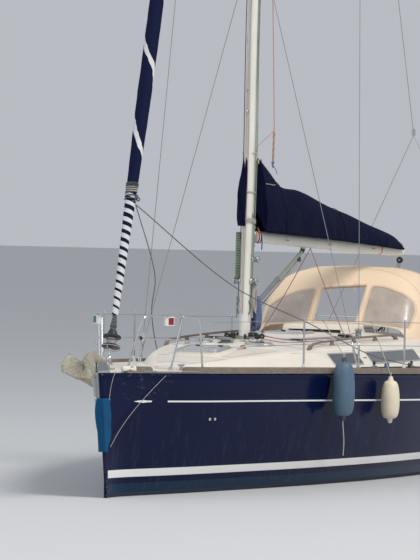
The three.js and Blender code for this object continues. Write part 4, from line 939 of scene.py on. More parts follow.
def canvas(colour, pitch=0.0014, faded=1.5, dirt=(0.12, 0.10, 0.08)):
    """Woven acrylic: fine plain weave, sun-faded in patches, with soft dirt and a weak specular gloss."""
    look = Finish(specular_ior_level=0.12)
    weave = look.weave(pitch)
    fade = look.noise(1.6, 4).ramp(0.3, 0.75)
    soil = look.noise(7, 5, 0.7).ramp(0.56, 0.80)
    slub = look.noise(120, 3, stretch=(1, 1, 0.15))
    shown = look.mix(fade * 0.55, tuple(colour), shade(colour, faded))
    shown = look.mix(soil * 0.12, shown, dirt)
    shown = look.mix(weave * 0.16, shown, shade(colour, 0.6))
    look.feed(base_color=shown, roughness=fade * 0.08 + 0.82)
    look.bump(weave * 0.5 + slub * 0.4, 0.0007, 0.55)
    return look


def webbing(colour):
    return canvas(colour, pitch=0.002, faded=1.3)


def clear_vinyl_look():
    """Flexible window, a little milky, with soft ripples and creases."""
    look = Finish(coat_weight=0.7, coat_roughness=0.08)
    haze = look.noise(4, 5, 0.6).ramp(0.35, 0.8)
    ripple = look.noise(3.2, 3, stretch=(1, 1, 0.5), distortion=0.8)
    look.feed(base_color=look.mix(haze, (0.52, 0.43, 0.37), (0.66, 0.57, 0.49)), roughness=haze * 0.2 + 0.14,
              alpha=haze * 0.12 + 0.74)
    look.bump(ripple, 0.012, 0.5)
    return look


def furled_sail_look():
    """Rolled genoa: pale and banded low down, navy sacrificial cloth above with pale turns."""
    look = Finish(specular_ior_level=0.15)
    offset = look.place - Vector(STAY_BASE)
    fore = PORT.cross(STAY_UP)
    dot = {'operation': 'DOT_PRODUCT'}
    height = node(look.tree, 'ShaderNodeVectorMath', dot, {0: offset, 1: STAY_UP}, output=1)
    ahead = node(look.tree, 'ShaderNodeVectorMath', dot, {0: offset, 1: fore}, output=1)
    turns = look.place.part("Y").combine('ARCTAN2', look.place.part("Y"), ahead) * (0.5 / math.pi)
    stray = look.noise(2.4, 3) * 0.4
    low_phase = (turns + height * (1 / SAIL_BANDS["low"]) + stray).fraction()
    low_share = height.ramp(0.70, 2.15, 0.28, 0.62)
    pale_low = low_phase.combine('GREATER_THAN', low_phase, low_share)
    high_phase = (turns + height * (1 / SAIL_BANDS["high"]) + stray).fraction()
    pale_high = high_phase < 0.13
    pale = height.ramp(1.95, 2.0, 1.0, 0.0) * pale_low + height.ramp(1.95, 2.0) * pale_high
    edge = (turns + height * (1 / SAIL_BANDS["edge"]) + stray).fraction()
    crease = look.noise(26, 4, 0.6, stretch=(1, 1, 0.2))
    # The crease noise lightens and darkens both cloths: painted light and shade of the folds, as well as
    # their bump.
    navy = look.mix(crease, shade(paints().cover, 1.0), shade(paints().cover, 2.3))
    cream = look.mix(crease, (0.56, 0.56, 0.56), (0.78, 0.78, 0.77))
    look.feed(base_color=look.mix(pale, navy, cream), roughness=crease * 0.1 + 0.72)
    look.bump(edge.ramp(0.0, 0.12) * 0.7 + crease * 0.5 + look.weave(0.0012) * 0.06, 0.006, 0.6)
    return look


def inflated(colour, scuff):
    look = Finish(coat_weight=0.12, coat_roughness=0.4)
    cloud = look.noise(5, 5, 0.65).ramp(0.35, 0.75)
    rub = look.noise(30, 5, 0.7, stretch=(1, 1, 0.25)).ramp(0.56, 0.76)
    shown = look.mix(cloud * 0.6, colour, shade(colour, 1.28))
    look.feed(base_color=look.mix(rub * 0.5, shown, scuff), roughness=cloud * 0.15 + 0.5)
    look.bump(rub + look.noise(140, 2) * 0.3, 0.0008, 0.4)
    return look


def braided(ground, fleck=None, share=0.18):
    """Braided rope: crossing strand ridges round and along it, with a coloured fleck in one strand, and the
    grooves between ridges painted darker as painted shade.
    """
    look = Finish(sheen_weight=0.2, sheen_roughness=0.6)
    place = look.along()
    turns, metres = place.part("X"), place.part("Y")
    right = (turns * 2 + metres * (1 / BRAID_PITCH)).fraction()
    left = (turns * 2 - metres * (1 / BRAID_PITCH)).fraction()
    strand_relief_and_shade = ((right * (16 * math.pi)).sine() + (left * (16 * math.pi)).sine()) * 0.5
    dirt = look.noise(9, 5, 0.65).ramp(0.4, 0.8)
    # Grooves of the braid painted darker than the ridges: painted shade.
    shown = look.mix(strand_relief_and_shade.ramp(-1.0, 0.6), shade(ground, 0.55), ground)
    if fleck:
        shown = look.mix(right < share, shown, fleck)
    look.feed(base_color=look.mix(dirt * 0.35, shown, shade(ground, 0.6)), roughness=dirt * 0.1 + 0.8)
    look.bump(strand_relief_and_shade, 0.0010, 0.7)
    return look


def stage_floor_look():
    look = Finish(roughness=0.75)
    cloud = look.noise(0.05, 2)
    tone = bpy.context.scene.yacht_stage.floor
    look.feed(base_color=look.mix(cloud, tuple(tone), shade(tone, 0.98)))
    return look


FINISHES = {
    "topsides": lambda: hull_gloss(paints().topsides),
    "stripe_white": lambda: hull_gloss(paints().stripe, scuffed=False),
    "waterline_blue": lambda: hull_gloss(paints().band),
    "antifouling": lambda: antifouled((0.012, 0.018, 0.038)),
    "keel_paint": lambda: antifouled((0.020, 0.024, 0.030)),
    "gelcoat": lambda: moulded(paints().gelcoat),
    "non_slip": lambda: moulded(shade(paints().gelcoat, 0.90), pattern=True),
    "bilge": lambda: moulded((0.45, 0.46, 0.46)),
    "teak": lambda: grained(paints().teak, (0.20, 0.125, 0.075)),
    "teak_edge": lambda: grained(shade(paints().teak, 0.75), (0.19, 0.085, 0.045)),
    "stainless": lambda: metal((0.66, 0.67, 0.68), 0.12, stain=0.12),
    "dull_steel": lambda: metal((0.40, 0.41, 0.42), 0.34, brushed=0.6, stain=0.2),
    "chain_plate": lambda: metal((0.52, 0.53, 0.54), 0.25, stain=0.35),
    "bronze": lambda: metal((0.45, 0.30, 0.13), 0.30, stain=0.35),
    "spar_alloy": spar_alloy_look,
    "spar_white": pale_spar_and_lit_face_look,
    "galvanised": lambda: zinc_coated(0.35),
    # Paler, less metallic copy for the fluke lobes: painted light on their lit faces.
    "galvanised_lit_copy": lambda: zinc_coated(0.05, 1.45),
    "tip_orange": tip_orange_look,
    "engine_paint": engine_paint_look,
    "black_plastic": lambda: plastic((0.016, 0.017, 0.019), 0.38, 1.6),
    "grey_plastic": lambda: plastic((0.17, 0.18, 0.19), 0.45),
    "white_plastic": lambda: plastic((0.74, 0.74, 0.71), 0.32, 1.06),
    "lens_red": lambda: lens((0.20, 0.008, 0.010), (0.34, 0.02, 0.02)),
    "lens_green": lambda: lens((0.005, 0.10, 0.07), (0.01, 0.18, 0.12)),
    "lens_clear": lambda: lens((0.60, 0.62, 0.60), (0.74, 0.76, 0.74), 0.1),
    "dark_glass": lambda: glazed((0.020, 0.024, 0.028), (0.045, 0.052, 0.058)),
    "hatch_pane": lambda: glazed((0.17, 0.20, 0.24), (0.26, 0.30, 0.34)),
    "hatch_frame": lambda: metal((0.72, 0.73, 0.73), 0.32, brushed=0.4),
    "navy_canvas": lambda: canvas(paints().cover, faded=1.7, dirt=(0.10, 0.10, 0.12)),
    "navy_tape": lambda: canvas(shade(paints().cover, 0.6), pitch=0.0009),
    "tan_canvas": lambda: canvas(paints().hood, faded=1.12, dirt=(0.30, 0.21, 0.13)),
    "tan_tape": lambda: canvas(shade(paints().hood, 0.82), pitch=0.0009, faded=1.1),
    "guard_cloth": lambda: canvas((0.010, 0.078, 0.185), pitch=0.0012, faded=1.35, dirt=(0.05, 0.07, 0.09)),
    "red_webbing": lambda: webbing((0.42, 0.030, 0.028)),
    "blue_webbing": lambda: webbing((0.020, 0.060, 0.26)),
    "clear_vinyl": clear_vinyl_look,
    "furled_sail": furled_sail_look,
    "fender_blue": lambda: inflated((0.072, 0.130, 0.190), (0.22, 0.27, 0.31)),
    "fender_cream": lambda: inflated((0.74, 0.66, 0.50), (0.42, 0.36, 0.27)),
    "fender_eye": lambda: inflated((0.035, 0.055, 0.085), (0.12, 0.14, 0.16)),
    "rope_white": lambda: braided((0.62, 0.58, 0.50)),
    "rope_cream": lambda: braided((0.62, 0.50, 0.34)),
    "rope_dark": lambda: braided((0.050, 0.055, 0.075), (0.30, 0.30, 0.32)),
    "rope_blue": lambda: braided((0.030, 0.085, 0.30), (0.55, 0.58, 0.62)),
    "rope_red": lambda: braided((0.40, 0.035, 0.030), (0.62, 0.55, 0.50)),
    "rope_red_fleck": lambda: braided((0.62, 0.58, 0.52), (0.45, 0.03, 0.03), 0.30),
    "rope_green": lambda: braided((0.10, 0.23, 0.12), (0.60, 0.60, 0.50), 0.35),
    "rope_orange": lambda: braided((0.62, 0.23, 0.075), (0.70, 0.60, 0.45)),
    "stage_floor": stage_floor_look,
}


# Pieces: each function makes one group, and the operators below call them

WATERLINE = {"band_low": 0.045, "band_high": 0.145, "boot_low": 0.215, "boot_high": 0.300}
COVE = {"low": 0.319, "high": 0.301, "front": 0.95}
NOSE = 0.030
BOOT_FRONT = 0.075
BOTTOM_ROWS = 10
SIDE_ROWS = 8
BOOT_ROW = BOTTOM_ROWS + 2
COVE_ROW = BOOT_ROW + SIDE_ROWS + 1
SHELL = 0.020
TRANSOM_BULGE = 0.022
STOCK_S = 11.15
ENGINE_BED = {"aft_x": -2.80, "fore_x": -1.95, "y": 0.23, "half": 0.045, "low": -0.50, "top": -0.331}


def skin_point(s, z):
    """Hull surface at station s and height z, with the stem rounded off."""
    p = hull_point(s, height_fraction(s, z))
    if s < NOSE:
        p.y *= math.sqrt(max(0.0, 1 - (1 - s / NOSE)**2))
    return p


def hull_levels(s):
    """Heights of the hull's rows at a station: the stripes' edges are rows of their own."""
    _, sheer_z, keel_z, *_ = between(HULL, s)
    keel = min(keel_z, WATERLINE["band_low"] - 0.002)
    under = [blend(keel, WATERLINE["band_low"], math.sin(t * math.pi / 2) * 0.4 + t * 0.6)
             for t in steps(0, 1, BOTTOM_ROWS)]
    cove_low, cove_high = sheer_z - COVE["low"], sheer_z - COVE["high"]
    side = steps(WATERLINE["boot_high"], cove_low, SIDE_ROWS)
    top = steps(cove_high, sheer_z, 4)
    return under + [WATERLINE["band_high"], WATERLINE["boot_low"]] + side + top


def hull_finish(row, s):
    if row < BOTTOM_ROWS:
        return "antifouling"
    if row == BOTTOM_ROWS:
        return "waterline_blue" if s > BOOT_FRONT else "topsides"
    if (row == BOOT_ROW and s > BOOT_FRONT) or (row == COVE_ROW and s > COVE["front"]):
        return "stripe_white"
    return "topsides"


def build_hull():
    nose = [NOSE * (1 - math.cos(t)) for t in steps(0, math.pi / 2, 6)]
    bow = nose + [0.045, BOOT_FRONT, 0.11, 0.16, 0.23, 0.31, 0.4, 0.5, 0.62, 0.78, COVE["front"], 1.1, 1.3,
                  1.55]
    stations = bow + steps(1.8, 10.4, 29) + steps(10.6, TRANSOM_S, 9)
    skin = Shape()
    rows = len(hull_levels(0.0))
    for side in (1, -1):
        grid = [on_side([skin_point(s, z) for z in hull_levels(s)], side) for s in stations]
        faces, kinds = [], []
        for k in range(len(stations) - 1):
            for r in range(rows - 1):
                faces.append((k * rows + r, k * rows + r + 1, (k + 1) * rows + r + 1, (k + 1) * rows + r))
                kinds.append(hull_finish(r, (stations[k] + stations[k + 1]) / 2))
        skin.add([p for column in grid for p in column], faces, kinds)
    edge = [skin_point(TRANSOM_S, z) for z in hull_levels(TRANSOM_S)]
    across = steps(1, -1, 12)
    stern = [[Vector((p.x - TRANSOM_BULGE * (1 - u * u), p.y * u, p.z)) for u in across] for p in edge]
    faces, kinds = [], []
    for r in range(rows - 1):
        for c in range(len(across) - 1):
            a = r * len(across) + c
            faces.append((a, a + 1, a + 1 + len(across), a + len(across)))
            kinds.append(hull_finish(r, TRANSOM_S))
    skin.add([p for line in stern for p in line], faces, kinds)
    hull = skin.piece("hull_skin", replaces=["hull"], slot="topsides", sharp=50)
    add_modifier(hull, 'SOLIDIFY', thickness=SHELL, offset=-1.0)

    inside = Shape()
    bed = ENGINE_BED
    for side in (1, -1):
        y = side * bed["y"]
        inside.block((bed["aft_x"], y - bed["half"], bed["low"]),
                     (bed["fore_x"], y + bed["half"], bed["top"]), "bilge")
    inside.turned(point(STOCK_S, 0, -0.24), UP, [(0.062, 0), (0.062, 0.65), (0.050, 0.67)], "bilge")
    inside.piece("hull_beds", slot="gelcoat", bevel=0.006)

    dart = Shape()
    for side in (1, -1):
        rings = []
        for s, half in ((0.47, 0.001), (0.53, 0.010), (0.60, 0.016), (0.66, 0.009), (0.72, 0.009)):
            z = between(HULL, s)[1] - 0.31 - 0.004 * (0.72 - s)
            ring = on_side([skin_point(s, z - half), skin_point(s, z + half)], side)
            out = Vector((0.25, side, 0)).normalized() * 0.0012
            rings.append([ring[0] + out, ring[1] + out, ring[1] - out * 2, ring[0] - out * 2])
        dart.loft(rings, "stripe_white")
    dart.piece("cove_darts", slot="topsides")

    outlets = Shape()
    for s, z in ((1.62, 0.83), (1.70, 0.83), (9.4, 0.36), (9.55, 0.36)):
        p = skin_point(s, z)
        ahead = skin_point(s + 0.05, z) - skin_point(s - 0.05, z)
        up = skin_point(s, z + 0.05) - skin_point(s, z - 0.05)
        out = up.cross(ahead).normalized()
        out = out if out.y > 0 else -out
        outlets.turned(p - out * 0.004, out, [(0.016, 0), (0.016, 0.006), (0.009, 0.008), (0.008, 0.001)],
                       "white_plastic", 16)
    outlets.piece("skin_fittings", slot="white_plastic")


# Deck, toe rails and what is bolted to the side decks

COCKPIT_BOX = ((8.48, 11.5), 1.08, (1.0, 1.7))
LOCKER_CUT = ((0.60, 1.08), 0.13)
COAMING = {"front": 8.47, "aft": 11.48, "front_top": 1.49, "aft_top": 1.40}
COMPANION_HALF = 0.33
DECK_FRONT = 0.13
DECK_AFT = 11.700


def span_block(s, y, z):
    """Closed box between two stations, two breadths and two heights."""
    return Shape().block((STEM_X - s[1], y[0], z[0]), (STEM_X - s[0], y[1], z[1]), "gelcoat")


def deck_slab():
    rings = []
    for s in steps(DECK_FRONT, DECK_AFT, 60):
        half, z = sheer(s)
        half -= DECK_INSET
        top = [point(s, half * t, deck_top(s, half * t)) for t in steps(1, -1, 22)]
        rings.append(top + [point(s, -half, z + SEAM), point(s, half, z + SEAM)])
    return Shape().loft(rings, "gelcoat")


def coaming_top(s):
    t = (s - COAMING["front"]) / (COAMING["aft"] - COAMING["front"])
    return blend(COAMING["front_top"], COAMING["aft_top"], t)


def coaming_shape(side):
    rings = []
    for s in steps(COAMING["front"], COAMING["aft"], 24):
        foot = deck_top(s, 1.25) - 0.04
        top = coaming_top(s)
        outline = [(1.082, foot), (1.098, top - 0.06)]
        outline += [(1.140 - 0.040 * math.cos(a), top - 0.030 + 0.030 * math.sin(a))
                    for a in steps(0.3, 1.57, 4)]
        outline += [(1.215 + 0.035 * math.sin(a), top - 0.035 + 0.035 * math.cos(a))
                    for a in steps(0, 1.3, 4)]
        outline += [(1.330, foot)]
        rings.append([point(s, side * y, z) for y, z in outline])
    return Shape().loft(rings, "gelcoat")


def roof_ring(s, inset=0.0, foot_drop=0.005, round_to=0.055):
    """Cabin section with a rounded shoulder, from starboard foot over the crown to port foot."""
    base, shoulder, shoulder_z, crown_z = between(ROOF, s)
    base, shoulder = base - inset, shoulder - inset
    foot = sheer(s)[1] + foot_drop
    shoulder_z, crown_z = shoulder_z - inset, crown_z - inset
    near = min(round_to, (shoulder_z - foot) * 0.5, shoulder * 0.4)
    side_run = Vector((base - shoulder, foot - shoulder_z)).normalized() * near
    at = Vector((shoulder, shoulder_z))
    inner_y = shoulder - near
    inner = Vector((inner_y, crown_z - (crown_z - shoulder_z) * (inner_y / shoulder)**2))
    half = [inner * (1 - t)**2 + at * (2 * t * (1 - t)) + (at + side_run) * t * t for t in steps(0, 1, 6)]
    crown = []
    for t in steps(0, 1, 7)[:-1]:
        y = inner_y * t
        crown.append(Vector((y, crown_z - (crown_z - shoulder_z) * (y / shoulder)**2)))
    right = crown[1:] + half + [Vector((base, foot))]
    profile = [Vector((-p.x, p.y)) for p in reversed(right)] + [crown[0]] + right
    return [point(s, p.x, p.y) for p in profile]


def roof_inside():
    stations = [2.4] + steps(3.25, ROOF_AFT - 0.04, 14)
    return Shape().loft([roof_ring(s, inset=0.04, foot_drop=-0.06, round_to=0.04) for s in stations], "bilge")


def companion_cuts():
    """Openings of the companionway: down through the bulkhead and forward under the sliding hatch."""
    door = (-COMPANION_HALF, COMPANION_HALF)
    return [span_block((8.38, 8.56), door, (1.09, 1.76)), span_block((7.86, 8.56), door, (1.50, 1.79))]


def build_deck():
    deck = deck_slab().piece("deck_moulding", replaces=["deck"], slot="gelcoat")
    carve(deck, [coaming_shape(1), coaming_shape(-1)], 'UNION')
    (front, aft), half, heights = COCKPIT_BOX
    locker, locker_half = LOCKER_CUT
    carve(deck, [roof_inside(), *companion_cuts(), span_block((front, aft), (-half, half), heights),
                 span_block(locker, (-locker_half, locker_half), (1.3, 1.6))])
    add_modifier(deck, 'BEVEL', width=0.008, segments=2, limit_method='ANGLE', angle_limit=math.radians(50))

    pads = Shape()
    rise = 0.0022

    def pad(s_from, s_to, inner, outer):
        for side in (1, -1):
            rows = []
            for s in steps(s_from, s_to, 6):
                near, far = inner(s), outer(s)
                rows.append([point(s, side * y, deck_top(s, y) + rise) for y in steps(near, far, 4)])
            pads.loft(rows, "non_slip", closed=False)

    def rail_side(s):
        return sheer(s)[0] - 0.15

    def cabin_edge(s):
        return max(between(ROOF, s)[0] + 0.06, 0.05) if s > ROOF[0][0] else 0.02

    for s_from in (2.25, 3.35, 4.45, 5.60, 6.70, 7.60):
        pad(s_from, s_from + (0.83 if s_from > 7 else 1.02), cabin_edge, rail_side)
    pad(1.30, 2.15, cabin_edge, lambda s: sheer(s)[0] - 0.13)
    pad(8.55, 9.45, lambda s: 1.37, rail_side)
    pad(9.52, 10.9, lambda s: 1.37, rail_side)
    for side in (1, -1):
        for s_from, s_to in ((8.9, 9.78), (10.02, 10.7)):
            rows = [[point(s, side * y, coaming_top(s) + rise) for y in steps(1.145, 1.205, 2)]
                    for s in steps(s_from, s_to, 6)]
            pads.loft(rows, "non_slip", closed=False)
    pads.piece("deck_pads", slot="gelcoat")


TOE_RAIL = {"front": 0.345, "aft": 11.35, "proud": 0.007}
FAIRLEAD = {"front": 0.700, "aft": 1.150, "low": 0.019, "high": 0.072, "round": 0.035}


def rail_height(s):
    """Full height outside the fairlead gap, a low strip in it, with rounded ends."""
    front, aft, low, high, soft = (FAIRLEAD[k] for k in ("front", "aft", "low", "high", "round"))
    inside = min(s - front, aft - s)
    if inside > 0:
        return low
    back = min(1.0, -inside / soft)
    return low + (high - low) * math.sqrt(1 - (1 - back)**2)


def build_toe_rails():
    front, aft, soft = FAIRLEAD["front"], FAIRLEAD["aft"], FAIRLEAD["round"]
    ends = [soft * (1 - math.cos(t)) for t in steps(0, math.pi / 2, 5)]
    near = [front - soft + e for e in ends] + [front + 0.004, aft - 0.004]
    near += [aft + soft - e for e in reversed(ends)]
    stations = steps(TOE_RAIL["front"], front - soft, 6)[:-1] + near
    stations += steps(aft + soft, TOE_RAIL["aft"], 60)[1:]
    for side, word in SIDES:
        rings = []
        for s in stations:
            half, z = sheer(s)
            inner, outer = half - DECK_INSET + 0.001, half + TOE_RAIL["proud"]
            low, high = z + SEAM, z + rail_height(s)
            edge = min(0.006, (high - low) * 0.3)
            start = min(1.0, (s - TOE_RAIL["front"]) / 0.03 + 0.35)
            high = low + (high - low) * start
            outline = [(inner, low), (outer, low), (outer + 0.001, low + (high - low) * 0.55),
                       (outer - 0.002, high - edge)]
            outline += [(outer - 0.006, high), (inner + 0.006, high), (inner + 0.002, high - edge)]
            rings.append([point(s, side * y, h) for y, h in outline])

        def rail_finish(r, i):
            return "teak_edge" if i in (3, 4) and rail_height(stations[r]) > 0.06 else "teak"

        rail = Shape().loft(rings, rail_finish)
        for s in steps(1.9, 10.9, 5):
            half, z = sheer(s)
            rail.bar(point(s, side * (half + 0.0075), z + 0.012), point(s, side * (half + 0.0075), z + 0.060),
                     0.0015, 0.001, "black_plastic", up=Vector((0, side, 0)))
        rail.piece(f"toe_rail_teak_{word}", replaces=[f"toe_rail_{word}"], slot="teak", sharp=40)

        trim = Shape()
        for s_from, s_to in ((0.56, 0.74), (1.10, 1.34)):
            path = [deck_point(s, 0.020, 0.0, side) for s in steps(s_from, s_to, 5)]
            for p, s in zip(path, steps(s_from, s_to, 5)):
                p.z = sheer(s)[1] + 0.022
                p.y = side * (sheer(s)[0] + 0.010)
            trim.tube(path, 0.006, "stainless", 8)
        corner = [point(s, side * (sheer(s)[0] - 0.024), sheer(s)[1] + 0.045) for s in steps(0.30, 0.47, 4)]
        trim.tube(corner, lambda t: 0.022 + 0.014 * t, "white_plastic", 10, flat=1.1)
        trim.piece(f"rail_trim_{word}", slot="stainless")


def cleat(shape, c):
    """Horn cleat along the boat on its two feet."""
    reach = 0.11
    horn = [c + AHEAD * (u * reach) + Vector((0, 0, 0.048 + 0.012 * abs(u))) for u in steps(-1, 1, 10)]
    shape.tube(horn, lambda t: 0.006 + 0.009 * math.sin(math.pi * t), "stainless", 10)
    for u in (-0.32, 0.32):
        shape.tube([c + AHEAD * (u * reach), c + AHEAD * (u * 0.10) + UP * 0.046],
                   lambda t: 0.016 - 0.006 * t, "stainless", 10)
    shape.plate(rounded_outline(0.10, 0.036, 0.017), 0.0, 0.004, Matrix.Translation(c), "stainless")


SHEET_TRACK = {"front": 4.95, "aft": 7.25, "front_half": 1.36, "aft_half": 1.50}


def track_at(s, side, rise):
    """Point over the headsail sheet's track."""
    t = (s - SHEET_TRACK["front"]) / (SHEET_TRACK["aft"] - SHEET_TRACK["front"])
    y = blend(SHEET_TRACK["front_half"], SHEET_TRACK["aft_half"], t)
    return point(s, side * y, deck_top(s, y) + rise)


def build_deck_gear():
    gear = Shape()
    for side in (1, -1):
        for s, inset in ((1.22, 0.10), (6.45, 0.09), (10.55, 0.09)):
            y = sheer(s)[0] - inset
            cleat(gear, point(s, side * y, deck_top(s, y) + 0.001))
    gear.piece("mooring_cleats", slot="stainless")

    track = Shape()
    for side in (1, -1):
        path = [track_at(s, side, 0.014) for s in steps(SHEET_TRACK["front"], SHEET_TRACK["aft"], 12)]
        for a, b in zip(path, path[1:]):
            track.bar(a, b, 0.030, 0.018, "black_plastic")
        for s in (5.35, 6.60):
            car = track_at(s, side, 0.026)
            track.bar(car - Vector((0.05, 0, 0)), car + Vector((0.05, 0, 0)), 0.042, 0.022, "stainless")
            track.turned(car + Vector((0, -0.012, 0.040)), PORT,
                         [(0.008, 0), (0.030, 0.003), (0.024, 0.012), (0.030, 0.021), (0.008, 0.024)],
                         "black_plastic")
    track.piece("genoa_tracks", slot="black_plastic", bevel=0.002)
    filler = Shape()
    for s, y, side in ((7.9, 1.62, -1), (8.25, 1.66, 1), (5.1, 1.60, -1)):
        p = point(s, side * y, deck_top(s, y) - 0.001)
        filler.turned(p, UP, [(0.034, 0), (0.034, 0.004), (0.026, 0.006), (0.004, 0.006)], "chain_plate")
    filler.piece("deck_fillers", slot="stainless")


# Cabin roof with its windows, hatches, rails and fittings

HATCHES = {
    "fore_hatch": ("fore_hatch_lid", 3.19, 0.0, 0.520, 0.520, 0.060),
    "saloon_hatch": ("saloon_hatch_lid", 6.20, 0.0, 0.480, 0.520, 0.050),
    "small_hatch_port": ("small_hatch_lid_port", 4.06, 0.380, 0.260, 0.330, 0.120),
    "small_hatch_starboard": ("small_hatch_lid_starboard", 4.06, -0.380, 0.260, 0.330, 0.120),
}
WINDOWS = ((4.70, 5.50), (5.79, 7.56))
WINDOW = {"low": 1.372, "high": 1.498, "rake": 0.045, "round": 0.022, "parts": 24}
GARAGE = {"front": 7.18, "aft": 7.88, "half": 0.42, "top": 1.79}
SLIDE = {"front": 7.90, "aft": 8.47, "half": 0.362}
HANDRAIL = {"front": 4.30, "aft": 7.45, "front_half": 0.90, "aft_half": 1.00, "lift": 0.044, "deep": 0.024,
            "wide": 0.030}


def hatch_place(s, y):
    """Placing matrix of a hatch: its own plane on the slope and crown of the roof."""
    reach = 0.15
    fore = (roof_top(s - reach, y) - roof_top(s + reach, y)) / (2 * reach)
    side = (roof_top(s, y + reach) - roof_top(s, y - reach)) / (2 * reach)
    normal = Vector((-fore, -side, 1)).normalized()
    turn = UP.rotation_difference(normal).to_matrix().to_4x4()
    return Matrix.Translation(point(s, y, roof_top(s, y) + 0.014)) @ turn


def hatch_prism(spec, grow, low, high):
    s, y, long, wide, radius = spec[1:]
    return Shape().plate(rounded_outline(long + grow, wide + grow, radius + grow / 2), low, high,
                         hatch_place(s, y), "gelcoat")


def window_prism(front, aft, side):
    low, high, rake = WINDOW["low"], WINDOW["high"], WINDOW["rake"]
    rings = [[point(s, side * y, z)
              for s, z in ((front, low), (aft, low), (aft - rake, high), (front - rake, high))]
             for y in (0.9, 1.5)]
    return Shape().loft(rings, "gelcoat")


def build_cabin():
    stations = [ROOF[0][0], 2.05, 2.17, 2.32, 2.5, 2.7, 2.95, 3.2] + steps(3.5, ROOF_AFT, 22)
    roof = Shape().loft([roof_ring(s) for s in stations], "gelcoat")
    roof = roof.piece("cabin_roof", replaces=["coachroof"], slot="gelcoat")
    rims = [hatch_prism(spec, 0.05, -0.045, 0.0) for spec in HATCHES.values()]
    rails = [span_block((GARAGE["front"], 8.445), span(side, 0.345, GARAGE["half"]), (1.64, RAIL_TOP))
             for side in (1, -1)]
    step = Shape().plate(rounded_outline(0.34, 0.25, 0.06), -0.060 - SEAM, -SEAM,
                         Matrix.Translation(point(MAST_S, 0, MAST_FOOT_Z)), "gelcoat")
    carve(roof, [*rims, *rails, step], 'UNION')
    lift = Matrix.Translation((0, 0, SEAM))
    below = deck_slab().moved(lift)
    holes = [hatch_prism(spec, -0.06, -0.16, 0.06) for spec in HATCHES.values()]
    windows = [window_prism(front, aft, side) for front, aft in WINDOWS for side in (1, -1)]
    carve(roof, [roof_inside(), below, coaming_shape(1).moved(lift), coaming_shape(-1).moved(lift), *holes,
                 *companion_cuts(), *windows])
    add_modifier(roof, 'BEVEL', width=0.004, segments=2, limit_method='ANGLE', angle_limit=math.radians(50))

    pads = Shape()

    def pad(s_from, s_to, inner, outer):
        for side in (1, -1):
            rows = [[point(s, side * y, roof_top(s, y) + 0.0025) for y in steps(inner(s), outer(s), 4)]
                    for s in steps(s_from, s_to, 8)]
            pads.loft(rows, "non_slip", closed=False)

    def shoulder(s):
        return between(ROOF, s)[1] - 0.10

    pad(2.25, 2.80, lambda s: 0.0, lambda s: between(ROOF, s)[1] - 0.06)
    pad(2.90, 3.80, lambda s: 0.33, shoulder)
    pad(4.30, 5.75, lambda s: 0.30, lambda s: 0.82)
    pad(5.85, 7.05, lambda s: 0.36, lambda s: 0.88)
    pads.piece("roof_pads", slot="gelcoat")


def window_outline(front, aft, grow):
    """Rounded slanting outline of a side window as (station, height) pairs."""
    radius = WINDOW["round"]
    low, high, rake = WINDOW["low"] - grow, WINDOW["high"] + grow, WINDOW["rake"]
    corners = [(front - grow, low), (aft + grow, low), (aft + grow - rake, high), (front - grow - rake, high)]
    outline = []
    for k in range(4):
        a, b, c = (Vector(corners[(k + i) % 4]) for i in (-1, 0, 1))
        into, out = b + (a - b).normalized() * radius, b + (c - b).normalized() * radius
        outline += [into * (1 - t)**2 + b * (2 * t * (1 - t)) + out * t * t for t in steps(0, 1, 4)]
        far = c + (b - c).normalized() * radius
        outline += [blend(out, far, t) for t in steps(0, 1, WINDOW["parts"] if k % 2 == 0 else 2)[1:-1]]
    return outline


def build_windows():
    for side, word in SIDES:
        for number, (front, aft) in enumerate(WINDOWS, 1):
            inner = window_outline(front, aft, -0.004)
            outer = window_outline(front, aft, 0.011)
            shape = Shape()
            rings = [[cabin_side(p.x, p.y, side, out) for p in inner] for out in (-0.030, 0.0035)]
            shape.loft(rings, "dark_glass")
            trim = [[cabin_side(p.x, p.y, side, out) for p in outline]
                    for outline, out in ((outer, -0.001), (outer, 0.0045), (inner, 0.0065),
                                         (inner, -0.001), (outer, -0.001))]
            shape.loft(trim, "hatch_frame", caps=False)
            shape.piece(f"side_window_{number}_{word}", replaces=[f"portlight_{number}_{word}"],
                        slot="dark_glass")
        dash = Shape()
        rows = [[cabin_side(s, z, side, 0.004) for s in steps(5.60, 5.70, 3)] for z in (1.434, 1.446)]
        dash.loft(rows, "grey_plastic", closed=False)
        crease = [cabin_side(s, blend(1.525, 1.545, (s - 4.3) / 4), side, -0.001)
                  for s in steps(3.9, 8.3, 30)]
        dash.tube(crease, 0.0035, "gelcoat", 6)
        dash.piece(f"cabin_moulding_{word}", slot="gelcoat")


